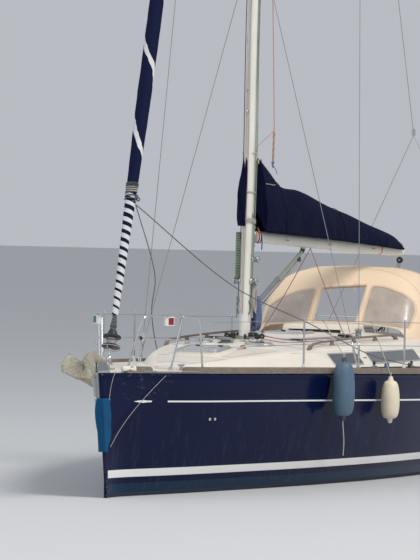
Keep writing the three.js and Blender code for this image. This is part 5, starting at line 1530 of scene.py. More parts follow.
def build_hatches():
    for body, spec in HATCHES.items():
        node_name, s, y, long, wide, radius = spec
        place = hatch_place(s, y)
        lid = Shape()
        outer = rounded_outline(long, wide, radius, 8)
        middle = rounded_outline(long - 0.020, wide - 0.020, radius - 0.010, 8)
        pane = rounded_outline(long - 0.060, wide - 0.060, radius - 0.030, 8)
        rings = [[place @ Vector((u, v, w)) for u, v in outline] for outline, w in
                 ((outer, 0.0003), (outer, 0.020), (middle, 0.029), (pane, 0.030), (pane, 0.002),
                  (outer, 0.0003))]
        lid.loft(rings, "hatch_frame", caps=False)
        lid.plate(pane, 0.006, 0.024, place, "hatch_pane")
        for v in ((-0.14, 0.14) if long > 0.4 else (0.0,)):
            handle = place @ Matrix.Translation((-long / 2 + 0.055, v, 0.024))
            lid.turned(handle.translation, handle.to_3x3() @ UP,
                       [(0.020, 0), (0.020, 0.004), (0.012, 0.009), (0.003, 0.010)], "black_plastic", 18)
            lid.plate(rounded_outline(0.018, 0.060, 0.008), 0.003, 0.010, handle, "black_plastic")
        for v in ((-0.16, 0.16) if long > 0.4 else (-0.07, 0.07)):
            hinge = place @ Matrix.Translation((long / 2 - 0.012, v, 0.024))
            lid.plate(rounded_outline(0.036, 0.050, 0.008), 0.0, 0.007, hinge, "hatch_frame")
            lid.tube([hinge @ Vector((0.012, -0.028, 0.004)), hinge @ Vector((0.012, 0.028, 0.004))], 0.006,
                     "hatch_frame", 12)
        lid.piece(f"{body}_leaf", body, replaces=[node_name], slot="dark_glass", bevel=0.0015)
        seal = Shape()
        outline = rounded_outline(long + 0.030, wide + 0.030, radius + 0.015, 8)
        inside = rounded_outline(long + 0.006, wide + 0.006, radius + 0.003, 8)
        seal.frame_ring(outline, inside, -0.004, 0.004, place, "hatch_frame")
        seal.piece(f"{body}_coaming_trim", slot="stainless", bevel=0.001)


def build_handrails():
    h = HANDRAIL
    for side, word in SIDES:
        def ring(s, low, high, wide=h["wide"]):
            y = blend(h["front_half"], h["aft_half"], (s - h["front"]) / (h["aft"] - h["front"]))
            foot = roof_top(s, y)
            soft = 0.35
            outline = [(-0.5, soft), (-0.5, 1 - soft), (-0.32, 1), (0.32, 1), (0.5, 1 - soft), (0.5, soft),
                       (0.32, 0), (-0.32, 0)]
            return [point(s, side * (y + u * wide), foot + low + (high - low) * v) for u, v in outline]

        top = h["lift"] + h["deep"]
        ends = []
        for t in steps(0, 1, 5):
            ends.append((0.24 * t, blend(-0.004, h["lift"], ease(t)), blend(0.012, top, ease(t * 1.15))))
        middle = steps(h["front"] + 0.32, h["aft"] - 0.32, 16)
        rings = [ring(h["front"] + ds, low, high) for ds, low, high in ends]
        rings += [ring(s, h["lift"], top) for s in middle]
        rings += [ring(h["aft"] - ds, low, high) for ds, low, high in reversed(ends)]
        rail = Shape().loft(rings, "teak")
        for k, s in enumerate(steps(h["front"] + 0.06, h["aft"] - 0.06, 4)):
            half = 0.055 if k in (0, 4) else 0.060
            feet = [(s - half, -0.003, 0.006), (s - half * 0.75, -0.003, h["lift"] * 0.55),
                    (s - half * 0.5, -0.003, h["lift"] + 0.004), (s + half * 0.5, -0.003, h["lift"] + 0.004),
                    (s + half * 0.75, -0.003, h["lift"] * 0.55), (s + half, -0.003, 0.006)]
            rail.loft([ring(p, low, high, 0.027) for p, low, high in feet], "teak")
        rail.piece(f"grab_rail_teak_{word}", replaces=[f"grab_rail_{word}"], slot="teak", sharp=45)


def on_roof(s, y, rise=0.0):
    return point(s, y, roof_top(s, y) + rise)


def winch(shape, base, size=1.0, axis=UP):
    """Self-tailing winch: ribbed drum, jaws and a socket in its top."""
    def rows(pairs):
        return [(r * size, h * size) for r, h in pairs]

    shape.turned(base, axis,
                 rows([(0.058, 0), (0.062, 0.004), (0.062, 0.014), (0.052, 0.020), (0.046, 0.028)]),
                 "stainless", 32)
    shape.turned(base, axis,
                 rows([(0.046, 0.028), (0.041, 0.040), (0.039, 0.060), (0.041, 0.078), (0.047, 0.090)]),
                 "dull_steel", 32)
    shape.turned(base, axis,
                 rows([(0.047, 0.090), (0.058, 0.095), (0.059, 0.099), (0.048, 0.103), (0.048, 0.106),
                       (0.059, 0.110), (0.058, 0.116), (0.040, 0.122), (0.018, 0.125),
                       (0.014, 0.110)]),
                 "stainless", 32)
    side = axis.orthogonal().normalized()
    other = axis.cross(side)
    for a in ring_of(12):
        out = side * math.cos(a) + other * math.sin(a)
        foot = base + out * (0.0405 * size) + axis * (0.040 * size)
        shape.tube([foot, foot + axis * (0.038 * size)], 0.0022 * size, "dull_steel", 6)
    shape.turned(base, axis, rows([(0.010, 0.108), (0.010, 0.1245)]), "black_plastic", 8)


def block(shape, centre, facing, size=1.0, finish_name="black_plastic"):
    """Pulley with two cheeks and a steel strap."""
    facing = facing.normalized()
    profile = [(0.006, 0), (0.028 * size, 0.002 * size), (0.030 * size, 0.006 * size),
               (0.022 * size, 0.009 * size), (0.022 * size, 0.019 * size), (0.030 * size, 0.022 * size),
               (0.028 * size, 0.026 * size), (0.006, 0.028 * size)]
    shape.turned(centre - facing * (0.014 * size), facing, profile, finish_name, 20)
    shape.turned(centre - facing * (0.016 * size), facing, [(0.007 * size, 0), (0.007 * size, 0.032 * size)],
                 "stainless", 12)


def build_roof_gear():
    gear = Shape()
    for side in (1, -1):
        winch(gear, on_roof(6.75, side * 0.72, 0.004), 0.85)
        organiser = on_roof(5.05, side * 0.52, 0.001)
        gear.plate(rounded_outline(0.09, 0.22, 0.02), 0.0, 0.005, Matrix.Translation(organiser), "stainless")
        gear.plate(rounded_outline(0.08, 0.20, 0.02), 0.024, 0.029, Matrix.Translation(organiser),
                   "black_plastic")
        for v in (-0.07, 0.0, 0.07):
            gear.turned(organiser + Vector((0, v, 0.004)), UP,
                        [(0.026, 0), (0.026, 0.003), (0.020, 0.010), (0.026, 0.018), (0.026, 0.021)],
                        "grey_plastic", 18)
        for k in range(3):
            foot = on_roof(6.42, side * (0.60 + 0.055 * k), 0.002)
            gear.block((foot.x - 0.055, foot.y - 0.021, foot.z),
                       (foot.x + 0.055, foot.y + 0.021, foot.z + 0.034), "black_plastic")
            gear.bar(foot + Vector((0.01, 0, 0.042)), foot + Vector((0.085, 0, 0.052)), 0.022, 0.008,
                     "grey_plastic")
    gear.piece("roof_winches_and_clutches", slot="stainless", bevel=0.0015)

    vent = Shape()
    base = on_roof(4.22, -0.10, 0.0005)
    vent.turned(base, UP, [(0.095, 0), (0.095, 0.006), (0.085, 0.010), (0.060, 0.016), (0.060, 0.034),
                           (0.094, 0.038), (0.090, 0.050), (0.060, 0.062), (0.020, 0.067),
                           (0.004, 0.067)],
                "grey_plastic", 32)
    vent.piece("roof_vent", slot="black_plastic")


def build_companionway():
    front, aft, half, top = (GARAGE[k] for k in ("front", "aft", "half", "top"))
    soft = 0.028
    rings = []
    for s, sink in ((front, 0.040), (front + 0.010, 0.012), (front + 0.035, 0.0), (aft, 0.0)):
        crown = top - 0.0005 - sink
        outline = [(-half, RAIL_TOP + 0.0004)]
        outline += [(-half + soft - soft * math.cos(a), crown - soft + soft * math.sin(a))
                    for a in steps(0.1, 1.57, 5)]
        outline += [(half - soft + soft * math.sin(a), crown - soft + soft * math.cos(a))
                    for a in steps(0, 1.47, 5)]
        outline += [(half, RAIL_TOP + 0.0004)]
        rings.append([point(s, y, z) for y, z in outline])
    garage = Shape().loft(rings, "gelcoat").piece("slide_garage", replaces=["hatch_garage"], slot="gelcoat")
    inner = Shape().block((STEM_X - aft - 0.01, -half + 0.04, 1.60),
                          (STEM_X - front - 0.03, half - 0.04, 1.770), "bilge")
    carve(garage, [inner])

    lid = Shape()
    low, high = RAIL_TOP + 0.0004, 1.7565
    centre = Matrix.Translation(point((SLIDE["front"] + SLIDE["aft"]) / 2, 0, 0))
    wide = 2 * SLIDE["half"]
    lid.plate(rounded_outline(0.55, wide - 0.004, 0.018), low, high - 0.006, centre, "dark_glass")
    lid.frame_ring(rounded_outline(0.568, wide, 0.020), rounded_outline(0.520, wide - 0.05, 0.014),
                   high - 0.014, high, centre, "hatch_frame")
    grip = [point(8.43, y, high - 0.008 + 0.010 * math.sin(math.pi * (y + 0.12) / 0.24))
            for y in steps(-0.12, 0.12, 8)]
    lid.tube(grip, 0.0055, "stainless", 8)
    lid.piece("slide_lid", "sliding_hatch", replaces=["sliding_hatch"], slot="dark_glass", bevel=0.0015)

    board = Shape()
    half = COMPANION_HALF - 0.0005
    x0, x1 = STEM_X - 8.437, STEM_X - 8.413
    for z0, z1 in ((1.0905, 1.392), (1.396, RAIL_TOP - 0.0065)):
        board.block((x0, -half, z0), (x1, half, z1), "dark_glass")
    board.turned(point(8.437, 0, 1.60), Vector((-1, 0, 0)),
                 [(0.022, 0), (0.022, 0.006), (0.012, 0.010), (0.004, 0.010)], "stainless", 20)
    board.piece("wash_boards", replaces=["washboard"], slot="dark_glass", bevel=0.003)


# Bow: stem fitting, anchor, bow guard, lights

ROLLER = {"s": -0.150, "z": 1.440, "radius": 0.040}


def build_stemhead():
    fitting = Shape()
    casting = []
    for s, half in ((-0.006, 0.022), (0.03, 0.034), (0.06, 0.042), (0.126, 0.066)):
        casting.append([point(s, y, z)
                        for y, z in ((-half, 1.3685), (half, 1.3685), (half, 1.396), (half - 0.006, 1.404),
                                     (-half + 0.006, 1.404), (-half, 1.396))])
    fitting.loft(casting, "stainless")
    fitting.plate(rounded_outline(0.438, 0.104, 0.016), 1.400, 1.412,
                  Matrix.Translation(point(0.099, 0, 0)), "stainless")
    for side in (1, -1):
        outline = [(-0.205, 1.400), (-0.212, 1.440), (-0.196, 1.474), (-0.165, 1.489), (-0.06, 1.489),
                   (0.06, 1.470), (0.118, 1.420), (0.118, 1.400)]
        rings = [[point(s, side * y, z) for s, z in outline] for y in (0.0445, 0.0555)]
        fitting.loft(rings, "dull_steel")
        fitting.tube([point(s, side * 0.050, z) for s, z in outline[1:-1]], 0.0055, "stainless", 8)
    pin = point(ROLLER["s"], 0, ROLLER["z"])
    fitting.turned(pin - Vector((0, 0.060, 0)), PORT,
                   [(0.013, 0), (0.013, 0.007), (0.008, 0.008), (0.008, 0.112), (0.013, 0.113),
                    (0.013, 0.120)], "stainless", 16)
    fitting.turned(pin - Vector((0, 0.039, 0)), PORT,
                   [(0.030, 0), (0.040, 0.004), (0.040, 0.014), (0.030, 0.030), (0.030, 0.048),
                    (0.040, 0.064), (0.040, 0.074), (0.030, 0.078)], "black_plastic", 28)
    fitting.block((STEM_X - 0.265, -0.008, 1.400), (STEM_X - 0.215, 0.008, STAY_FOOT[1] - 0.006), "stainless")
    for s, y in ((0.16, 0.034), (0.16, -0.034), (0.29, 0.034), (0.29, -0.034), (0.02, 0.034), (0.02, -0.034)):
        fitting.turned(point(s, y, 1.411), UP, [(0.007, 0), (0.007, 0.003), (0.003, 0.004)], "dull_steel", 10)
    fitting.piece("stem_fitting", replaces=["stemhead"], slot="stainless", bevel=0.0015)


# Station, rise of the lower edge above the roller and depth of the anchor's shank.
SHANK = [
    (-0.545, -0.120, 0.070), (-0.505, -0.080, 0.098), (-0.400, 0.008, 0.112), (-0.300, 0.002, 0.122),
    (-0.140, 0.000, 0.124), (0.040, 0.000, 0.044), (0.175, 0.000, 0.030),
]
# Rim of one fluke lobe from its notch to its point: station, half breadth, height.
FLUKE_RIM = [
    (-0.531, 0.000, 1.504), (-0.618, 0.115, 1.597), (-0.631, 0.197, 1.478), (-0.626, 0.188, 1.394),
    (-0.437, 0.077, 1.307), (-0.436, 0.000, 1.316),
]


def build_anchor():
    """Plough anchor stowed on the roller: bent shank, two fluke lobes folded along a notch, weighted tip."""
    anchor = Shape()
    rest = ROLLER["z"] + ROLLER["radius"] + 0.001
    rings = []
    for s in steps(SHANK[0][0], SHANK[-1][0], 40):
        rise, high = between(SHANK, s)
        ring = [(-0.011, 0.15), (-0.008, 0.03), (0.008, 0.03), (0.011, 0.15), (0.011, 0.85), (0.008, 0.97),
                (-0.008, 0.97), (-0.011, 0.85)]
        rings.append([point(s, y, rest + rise + high * t) for y, t in ring])
    anchor.loft(rings, "galvanised")
    for side in (1, -1):
        rim = [Vector((s, side * y, z)) for s, y, z in FLUKE_RIM]
        lobe = [[point(p.x + back, p.y, p.z) for p in rim] for back in (0.0, 0.013)]
        # Lobes in the paler copy of the galvanising, painted light on their lit faces; the shank, edges and
        # tip keep the darker coating.
        anchor.loft(lobe, "galvanised_lit_copy")
        edge = [point(p.x + 0.002, p.y, p.z) for p in rim[:5]]
        anchor.tube(edge, 0.0055, "galvanised", 8)
        rib = [point(rim[0].x - 0.004, 0.0, rim[0].z - 0.004),
               point(rim[3].x - 0.002, rim[3].y * 0.9, rim[3].z + 0.008)]
        anchor.tube(rib, 0.0045, "galvanised", 8)
    s, half, z = FLUKE_RIM[4]
    front = [[point(s + d, y, h)
              for y, h in ((half * w, z), (-half * w, z), (-half * 0.9 * w, z + 0.026),
                           (half * 0.9 * w, z + 0.026))]
             for d, w in ((-0.004, 1.0), (0.012, 0.97))]
    anchor.loft(front, "tip_orange")
    tip = [[point(-0.425, y, h)
            for y, h in ((0.072, z), (-0.072, z), (-0.065, z + 0.024), (0.065, z + 0.024))],
           [point(-0.300, y, h)
            for y, h in ((0.036, 1.262), (-0.036, 1.262), (-0.034, 1.284), (0.034, 1.284))],
           [point(-0.210, y, h)
            for y, h in ((0.012, 1.222), (-0.012, 1.222), (-0.012, 1.238), (0.012, 1.238))]]
    anchor.loft(tip, "galvanised")
    anchor.tube([point(-0.552, -0.112, 1.500), point(-0.548, 0.112, 1.500)], 0.0065, "galvanised", 10)
    shackle = [point(0.165, y, rest + 0.016 + z)
               for y, z in ((0.014, 0.0), (0.016, 0.022), (0.0, 0.036), (-0.016, 0.022),
                            (-0.014, 0.0))]
    anchor.tube(flowing(shackle, 16), 0.005, "galvanised", 8)
    anchor.piece("plough_anchor", replaces=["anchor"], slot="galvanised", sharp=30)
    chain = Shape()
    for k in range(9):
        at = point(0.185 + 0.021 * k, 0, rest + 0.020 - 0.006 * k)
        axis = PORT if k % 2 else UP
        chain.torus(at, axis, 0.0125, 0.0038, "galvanised", 14, 6)
    chain.piece("anchor_chain", slot="galvanised")


BOW_GUARD = {"low": 0.505, "high": 1.094, "reach": 0.088, "foot": 0.046, "head": 0.078}


def build_bow_guard():
    """Blue cloth laced round the stem under the anchor, fuller to starboard and pointed below."""
    low, high, reach = BOW_GUARD["low"], BOW_GUARD["high"], BOW_GUARD["reach"]
    spread = [(0.0, -0.024, 0.0), (0.2, -0.021, 0.20), (0.55, 0.038, 0.64), (1.0, 1.0, 1.0)]
    grid = []
    for z in steps(high, low, 26):
        t = (high - z) / (high - low)
        half = blend(BOW_GUARD["head"], BOW_GUARD["foot"], t)
        narrow = 0.40 + 0.60 * ease(min(1.0, (1 - t) / 0.4))
        line = []
        for u in steps(-1, 1, 24):
            along, wide = between(spread, abs(u))
            along = along if abs(u) < 0.56 else blend(0.038, reach, (abs(u) - 0.55) / 0.45)
            along = blend(-0.024, along, narrow) if along > 0 else along
            s = STEM_RAKE * (HULL[0][2] - z) + along
            fold = 0.003 * math.sin(15 * t + 3 * u) + 0.002 * math.sin(31 * u + 9 * t)
            full = 0.0
            if t < 0.625:
                bulge = 0.030 if u < 0 else 0.006
                full = bulge * math.sin(math.pi * min(1.0, t * 1.6)) * math.sin(math.pi * abs(u))
            skin = skin_point(max(s, 0.0), z).y if s > 0 else 0.0
            y = max(half * wide * narrow, skin + 0.005 if abs(u) > 0.25 else 0.0) + full + fold * abs(u)
            line.append(Vector((STEM_X - s, math.copysign(y, u) if u else 0.0, z)))
        grid.append(line)
    guard = Shape().loft(grid, "guard_cloth", closed=False)
    wrap = guard.piece("bow_guard_cloth", replaces=["bow_guard"], slot="blue_sheet", sharp=80)
    add_modifier(wrap, 'SOLIDIFY', thickness=0.006, offset=-1.0)
    add_modifier(wrap, 'SUBSURF', levels=1, render_levels=1)
    settle(wrap)

    cords = Shape()
    for side in (1, -1):
        top = [point(0.115, side * 0.070, 1.088), point(0.110, side * 0.085, 1.20),
               point(0.125, side * 0.110, 1.330), point(0.16, side * 0.125, 1.392)]
        cords.tube(flowing(top, 14), 0.003, "rope_white", 6)
        cords.torus(point(0.110, side * 0.074, 1.080), Vector((0.3, side, 0)), 0.008, 0.0022, "stainless",
                    14, 6)
        path = []
        for s, z in ((0.19, 0.560), (0.30, 0.72), (0.46, 0.92), (0.66, 1.13), (0.88, 1.330)):
            skin = skin_point(s, z)
            path.append(point(s, side * (skin.y + 0.008), z))
        cords.tube(flowing(path, 24), 0.003, "rope_white", 6)
    cords.piece("bow_guard_lashings", slot="rope")


def build_nav_lights():
    for side, word, lens_name in ((1, "port", "lens_red"), (-1, "starboard", "lens_green")):
        light = Shape()
        at = point(0.95, side * 0.425, 1.925)
        turn = Matrix.Translation(at) @ Matrix.Rotation(side * math.radians(45), 4, 'Z')
        housing = Shape().plate(rounded_outline(0.048, 0.115, 0.012), -0.050, 0.050, Matrix.Identity(4),
                                "white_plastic")
        light.join(housing.moved(turn))
        face = Shape().plate(rounded_outline(0.006, 0.060, 0.002), -0.0375, 0.0375,
                             Matrix.Translation((0.0265, side * 0.015, 0)), lens_name)
        light.join(face.moved(turn))
        light.bar(at + Vector((-0.05, 0, 0.055)), at + Vector((0.06, 0, 0.055)), 0.020, 0.008, "stainless")
        light.piece(f"bow_light_{word}", slot="white_plastic", bevel=0.003)


# Guard rails

def foot_plate(shape, at, radius=0.036):
    shape.turned(at, UP, [(radius, 0), (radius, 0.005), (radius * 0.55, 0.009), (radius * 0.50, 0.030),
                          (radius * 0.40, 0.034)], "stainless", 20)
    for a in ring_of(3, 0.4):
        shape.turned(at + Vector((radius * 0.78 * math.cos(a), radius * 0.78 * math.sin(a), 0.004)), UP,
                     [(0.005, 0), (0.004, 0.0025), (0.001, 0.003)], "dull_steel", 8)


def build_pulpit():
    for side, word in SIDES:
        rail = Shape()
        foot = [deck_point(s, inset, 0.0, side) for s, inset in ((0.43, 0.076), (1.50, 0.078), (1.04, 0.078))]
        hoop = [foot[0], point(0.64, side * 0.250, 1.985), point(1.01, side * 0.425, 1.985),
                point(1.44, side * 0.600, 1.962), foot[1]]
        rail.tube(bent(hoop, 0.07, 8), RAIL_R, "stainless", 16)
        rail.tube([foot[2], point(1.19, side * 0.500, 1.968)], RAIL_R, "stainless", 16)
        rail.tube([point(0.56, side * 0.217, 1.740), point(1.458, side * 0.632, 1.700)], 0.008,
                  "stainless", 12)
        for p in foot:
            foot_plate(rail, p + UP * 0.0005)
        rail.ball(point(1.19, side * 0.500, 1.968), 0.017, "stainless")
        rail.torus(point(1.452, side * 0.618, 1.925), AHEAD, 0.011, 0.003, "stainless", 14, 6)
        rail.torus(point(1.456, side * 0.640, 1.646), AHEAD, 0.011, 0.003, "stainless", 14, 6)
        rail.piece(f"pulpit_tube_{word}", replaces=[f"pulpit_{word}"], slot="stainless")
    seat = Shape()
    clip = point(0.60, 0.232, 1.741)
    seat.turned(clip - Vector((0.02, 0, 0)), AHEAD,
                [(0.016, 0), (0.020, 0.006), (0.020, 0.034), (0.016, 0.040)], "black_plastic", 14)
    seat.tube(hanging(clip, clip + Vector((-0.02, 0.02, -0.10)), 0.01, 6), 0.003, "rope_dark", 6)
    seat.piece("pulpit_clip", slot="black_plastic")


def turnbuckle(shape, a, b, radius=0.007):
    """Rigging screw between two points: fork, barrel and threaded ends."""
    length = (b - a).length
    run = (b - a).normalized()
    shape.turned(a, run, [(radius * 0.7, 0), (radius * 0.7, length * 0.16), (radius, length * 0.18),
                          (radius * 1.25, length * 0.24), (radius * 1.25, length * 0.70),
                          (radius, length * 0.76),
                          (radius * 0.7, length * 0.78), (radius * 0.6, length)], "stainless", 14)


def build_lifelines():
    for side, word in SIDES:
        rail = Shape()
        posts = [(deck_point(s, POST_INSET, 0.0, side), deck_point(s, POST_INSET, STANCHION_H, side))
                 for s in STANCHIONS]
        for foot, head in posts:
            rail.tube([foot + UP * 0.02, head], lambda t: RAIL_R - 0.0015 * t, "stainless", 16)
            rail.ball(head, 0.0125, "stainless")
            rail.turned(foot + UP * 0.0005, UP,
                        [(0.040, 0), (0.040, 0.006), (0.024, 0.012), (0.021, 0.070), (0.015, 0.074)],
                        "white_plastic", 22)
            for drop in (0.02, 0.30):
                rail.torus(head - Vector((0, 0, drop)), AHEAD, 0.008, 0.0035, "stainless", 14, 6)
        start = point(1.512, side * 0.648, 1.925)
        end = deck_point(11.02, 0.060, STANCHION_H, side)
        for drop in (0.02, 0.30):
            line = [p - Vector((0, 0, drop)) for p in [start] + [head for _, head in posts] + [end]]
            path = [line[0]]
            for a, b in zip(line, line[1:]):
                path += hanging(a, b, 0.004, 6)[1:]
            rail.tube(path, 0.0032, "dull_steel", 8)
            turnbuckle(rail, line[0], blend(line[0], line[1], 0.13), 0.0075)
            turnbuckle(rail, line[-1], blend(line[-1], line[-2], 0.13), 0.0075)
        rail.piece(f"guard_wires_{word}", replaces=[f"lifelines_{word}"], slot="stainless")


def build_pushpit():
    rail = Shape()
    corner = [(11.04, 0.076), (11.62, 0.090)]
    tops = [deck_point(s, inset, STANCHION_H, 1) for s, inset in corner]
    path = [tops[0], tops[1]] + mirrored([tops[1], tops[0]])
    rail.tube(bent(path, 0.15, 8), RAIL_R, "stainless", 16)
    for side in (1, -1):
        for s, inset in ((11.04, 0.076), (11.56, 0.100)):
            head = deck_point(s, inset, STANCHION_H, side)
            foot = Vector((head.x, head.y, deck_top(s, head.y)))
            rail.tube([foot, head], RAIL_R, "stainless", 16)
            foot_plate(rail, foot + UP * 0.0005)
        rail.tube([deck_point(11.04, 0.076, STANCHION_H - 0.29, side),
                   deck_point(11.56, 0.100, STANCHION_H - 0.29, side)],
                  0.008, "stainless", 12)
        head = point(11.62, side * 0.45, tops[1].z)
        foot = point(11.62, side * 0.45, deck_top(11.62, 0.45))
        rail.tube([foot, head], RAIL_R, "stainless", 16)
        foot_plate(rail, foot + UP * 0.0005)
    rail.piece("pushpit_tube", replaces=["pushpit"], slot="stainless")


# Mast, standing rigging and headsail

NECK = {"half": 0.095, "run": 0.0006, "block": 0.028, "plate_low": 1.890, "plate_high": 3.030,
        "bracket_top": 1.962}
MAST_SIDES = 32


def mast_ring(z, scale=1.0):
    """Oval section of the spar with a flat groove strip down its after side."""
    return [mast_at(z) + MAST_AFT * (scale * MAST_LONG / 2 * math.cos(a))
            + Vector((0, scale * MAST_WIDE / 2 * math.copysign(abs(math.sin(a))**0.9, math.sin(a)), 0))
            for a in ring_of(MAST_SIDES)]


def build_mast():
    mast = Shape()
    heights = steps(MAST_FOOT_Z + 0.026, STAY_TOP_Z, 40)

    # Forward half of the mast in the paler finish, after half in the darker one: painted light and shade on
    # one anodised tube.
    def face(_row, i):
        return "spar_white" if MAST_SIDES // 4 <= i < MAST_SIDES * 3 // 4 else "spar_alloy"

    rings = [mast_ring(z) for z in heights]
    rings += [mast_ring(blend(STAY_TOP_Z, MAST_TOP_Z, t), blend(1, 0.72, t)) for t in (0.5, 1)]
    mast.loft(rings, face)
    groove = [mast_at(z, MAST_LONG / 2 - 0.002) for z in steps(3.95, MAST_TOP_Z - 0.1, 24)]
    for a, b in zip(groove, groove[1:]):
        mast.bar(a, b, 0.026, 0.014, "spar_alloy", up=MAST_AFT)
    collar = mast_at(MAST_FOOT_Z)
    mast.turned(Vector((collar.x, 0, MAST_FOOT_Z)), UP,
                [(0.128, 0), (0.128, 0.012), (0.118, 0.020), (0.118, 0.034), (0.108, 0.040)], "spar_alloy",
                32)
    for end in (-1, 1):
        centre = SWING_AXIS + MAST_UP * (end * (NECK["half"] + NECK["run"] + NECK["block"] / 2))
        turn = Matrix.Translation(centre) @ Matrix.Rotation(-MAST_RAKE, 4, 'Y')
        outline = [(0.077, -0.035), (0.077, 0.035), (-0.010, 0.035), (-0.028, 0.022), (-0.033, 0.0),
                   (-0.028, -0.022), (-0.010, -0.035)]
        mast.plate(outline, -NECK["block"] / 2, NECK["block"] / 2, turn, "spar_alloy")
        mast.turned(centre + MAST_UP * (end * 0.014), MAST_UP * end,
                    [(0.016, 0), (0.016, 0.006), (0.004, 0.008)], "stainless", 16)
    plate = [[mast_at(z, MAST_LONG / 2 + x, y)
              for x, y in ((-0.010, -0.038), (-0.010, 0.038), (0.010, 0.034), (0.010, -0.034))]
             for z in steps(NECK["plate_low"], NECK["plate_high"], 6)]
    mast.loft(plate, "stainless")
    foot = mast_at(NECK["bracket_top"], MAST_LONG / 2 + 0.036)
    mast.block((foot.x - 0.050, -0.030, foot.z - 0.060), (foot.x + 0.050, 0.030, foot.z), "stainless")
    masthead = mast_at(MAST_TOP_Z - 0.04)
    mast.tube([masthead, masthead + Vector((-0.26, 0, 0.020))], 0.022, "spar_alloy", 14)
    mast.tube([mast_at(MAST_TOP_Z - 0.06, -0.05), mast_at(MAST_TOP_Z, -0.05)], 0.02, "black_plastic", 12)
    for z in (2.12, 2.62, 3.10, 5.2, 9.2, 13.5):
        for side in (1, -1):
            at = Matrix.Translation(mast_at(z, -0.02, side * (MAST_WIDE / 2 - 0.001)))
            upright = at @ Matrix.Rotation(-side * math.pi / 2, 4, 'X') @ Matrix.Rotation(math.pi / 2, 4, 'Z')
            mast.plate(rounded_outline(0.09, 0.035, 0.015), 0, 0.004, upright, "stainless")
    mast.piece("mast_spar", replaces=["mast"], slot="spar_alloy", bevel=0.0015)

    fittings = Shape()
    for side in (1, -1):
        for z, aft in ((2.34, -0.015), (2.60, 0.035)):
            base = mast_at(z, aft, side * (MAST_WIDE / 2 - 0.004))
            winch(fittings, base, 0.72, axis=Vector((0, side, 0)))
        for z in (1.96, 2.10):
            c = mast_at(z, -0.05, side * (MAST_WIDE / 2 + 0.012))
            horn = [c + MAST_UP * (u * 0.062) + Vector((0, side * (0.010 + 0.010 * abs(u)), 0))
                    for u in steps(-1, 1, 8)]
            fittings.tube(horn, lambda t: 0.0045 + 0.005 * math.sin(math.pi * t), "spar_alloy", 8)
            fittings.tube([c - Vector((0, side * 0.020, 0)), c + Vector((0, side * 0.012, 0))], 0.012,
                          "spar_alloy", 10)
        for aft in (-0.12, -0.04, 0.06):
            at = mast_at(MAST_FOOT_Z + 0.055, aft, side * 0.112)
            block(fittings, at, Vector((0.3, side, 0)), 0.95)
            fittings.tube([at - UP * 0.06, at], 0.006, "stainless", 8)
    for z in (4.35, 4.62):
        fittings.torus(mast_at(z, -MAST_LONG / 2 - 0.012), PORT, 0.014, 0.004, "stainless", 16, 6)
    lamp = mast_at(8.6, -MAST_LONG / 2 - 0.012)
    fittings.turned(lamp - MAST_UP * 0.05, MAST_UP,
                    [(0.030, 0), (0.036, 0.012), (0.036, 0.055), (0.028, 0.070), (0.004, 0.072)],
                    "lens_clear", 18)
    vane = mast_at(MAST_TOP_Z - 0.05, -0.10)
    fittings.tube([vane, vane + Vector((0.10, 0, 0.02))], 0.008, "black_plastic", 8)
    fittings.piece("mast_fittings", slot="stainless", bevel=0.001)


def spreader_root(name):
    z, out, aft = SPREADERS[name]
    return mast_at(z), Vector((mast_at(z).x - aft, out, z + 0.06))


def build_spreaders():
    for name in SPREADERS:
        root, tip = spreader_root(name)
        start = root.lerp(tip, 0.062)
        end = root.lerp(tip, 0.985)
        for side, word in SIDES:
            rings = []
            for t in steps(0, 1, 10):
                centre = start.lerp(end, t)
                chord, thick = blend(0.105, 0.062, t), blend(0.034, 0.024, t)
                rings.append([centre + Vector((chord / 2 * math.cos(a), 0, thick / 2 * math.sin(a)))
                              for a in ring_of(18)])
            shape = Shape().loft([on_side(ring, side) for ring in rings], "spar_alloy")
            shape.ball(on_side([end], side)[0] + Vector((0, side * -0.006, 0)), 0.021, "black_plastic")
            shape.piece(f"spreader_blade_{name}_{word}", replaces=[f"spreader_{name}_{word}"],
                        slot="spar_alloy")


WIRE = 0.006
WIRE_R = 0.0042


def shroud_at_mast(z):
    return mast_at(z) + Vector((-0.020, MAST_WIDE / 2 + WIRE, 0))


def chainplate_eye(s):
    return point(s, CHAINPLATE_HALF, deck_top(s, CHAINPLATE_HALF))


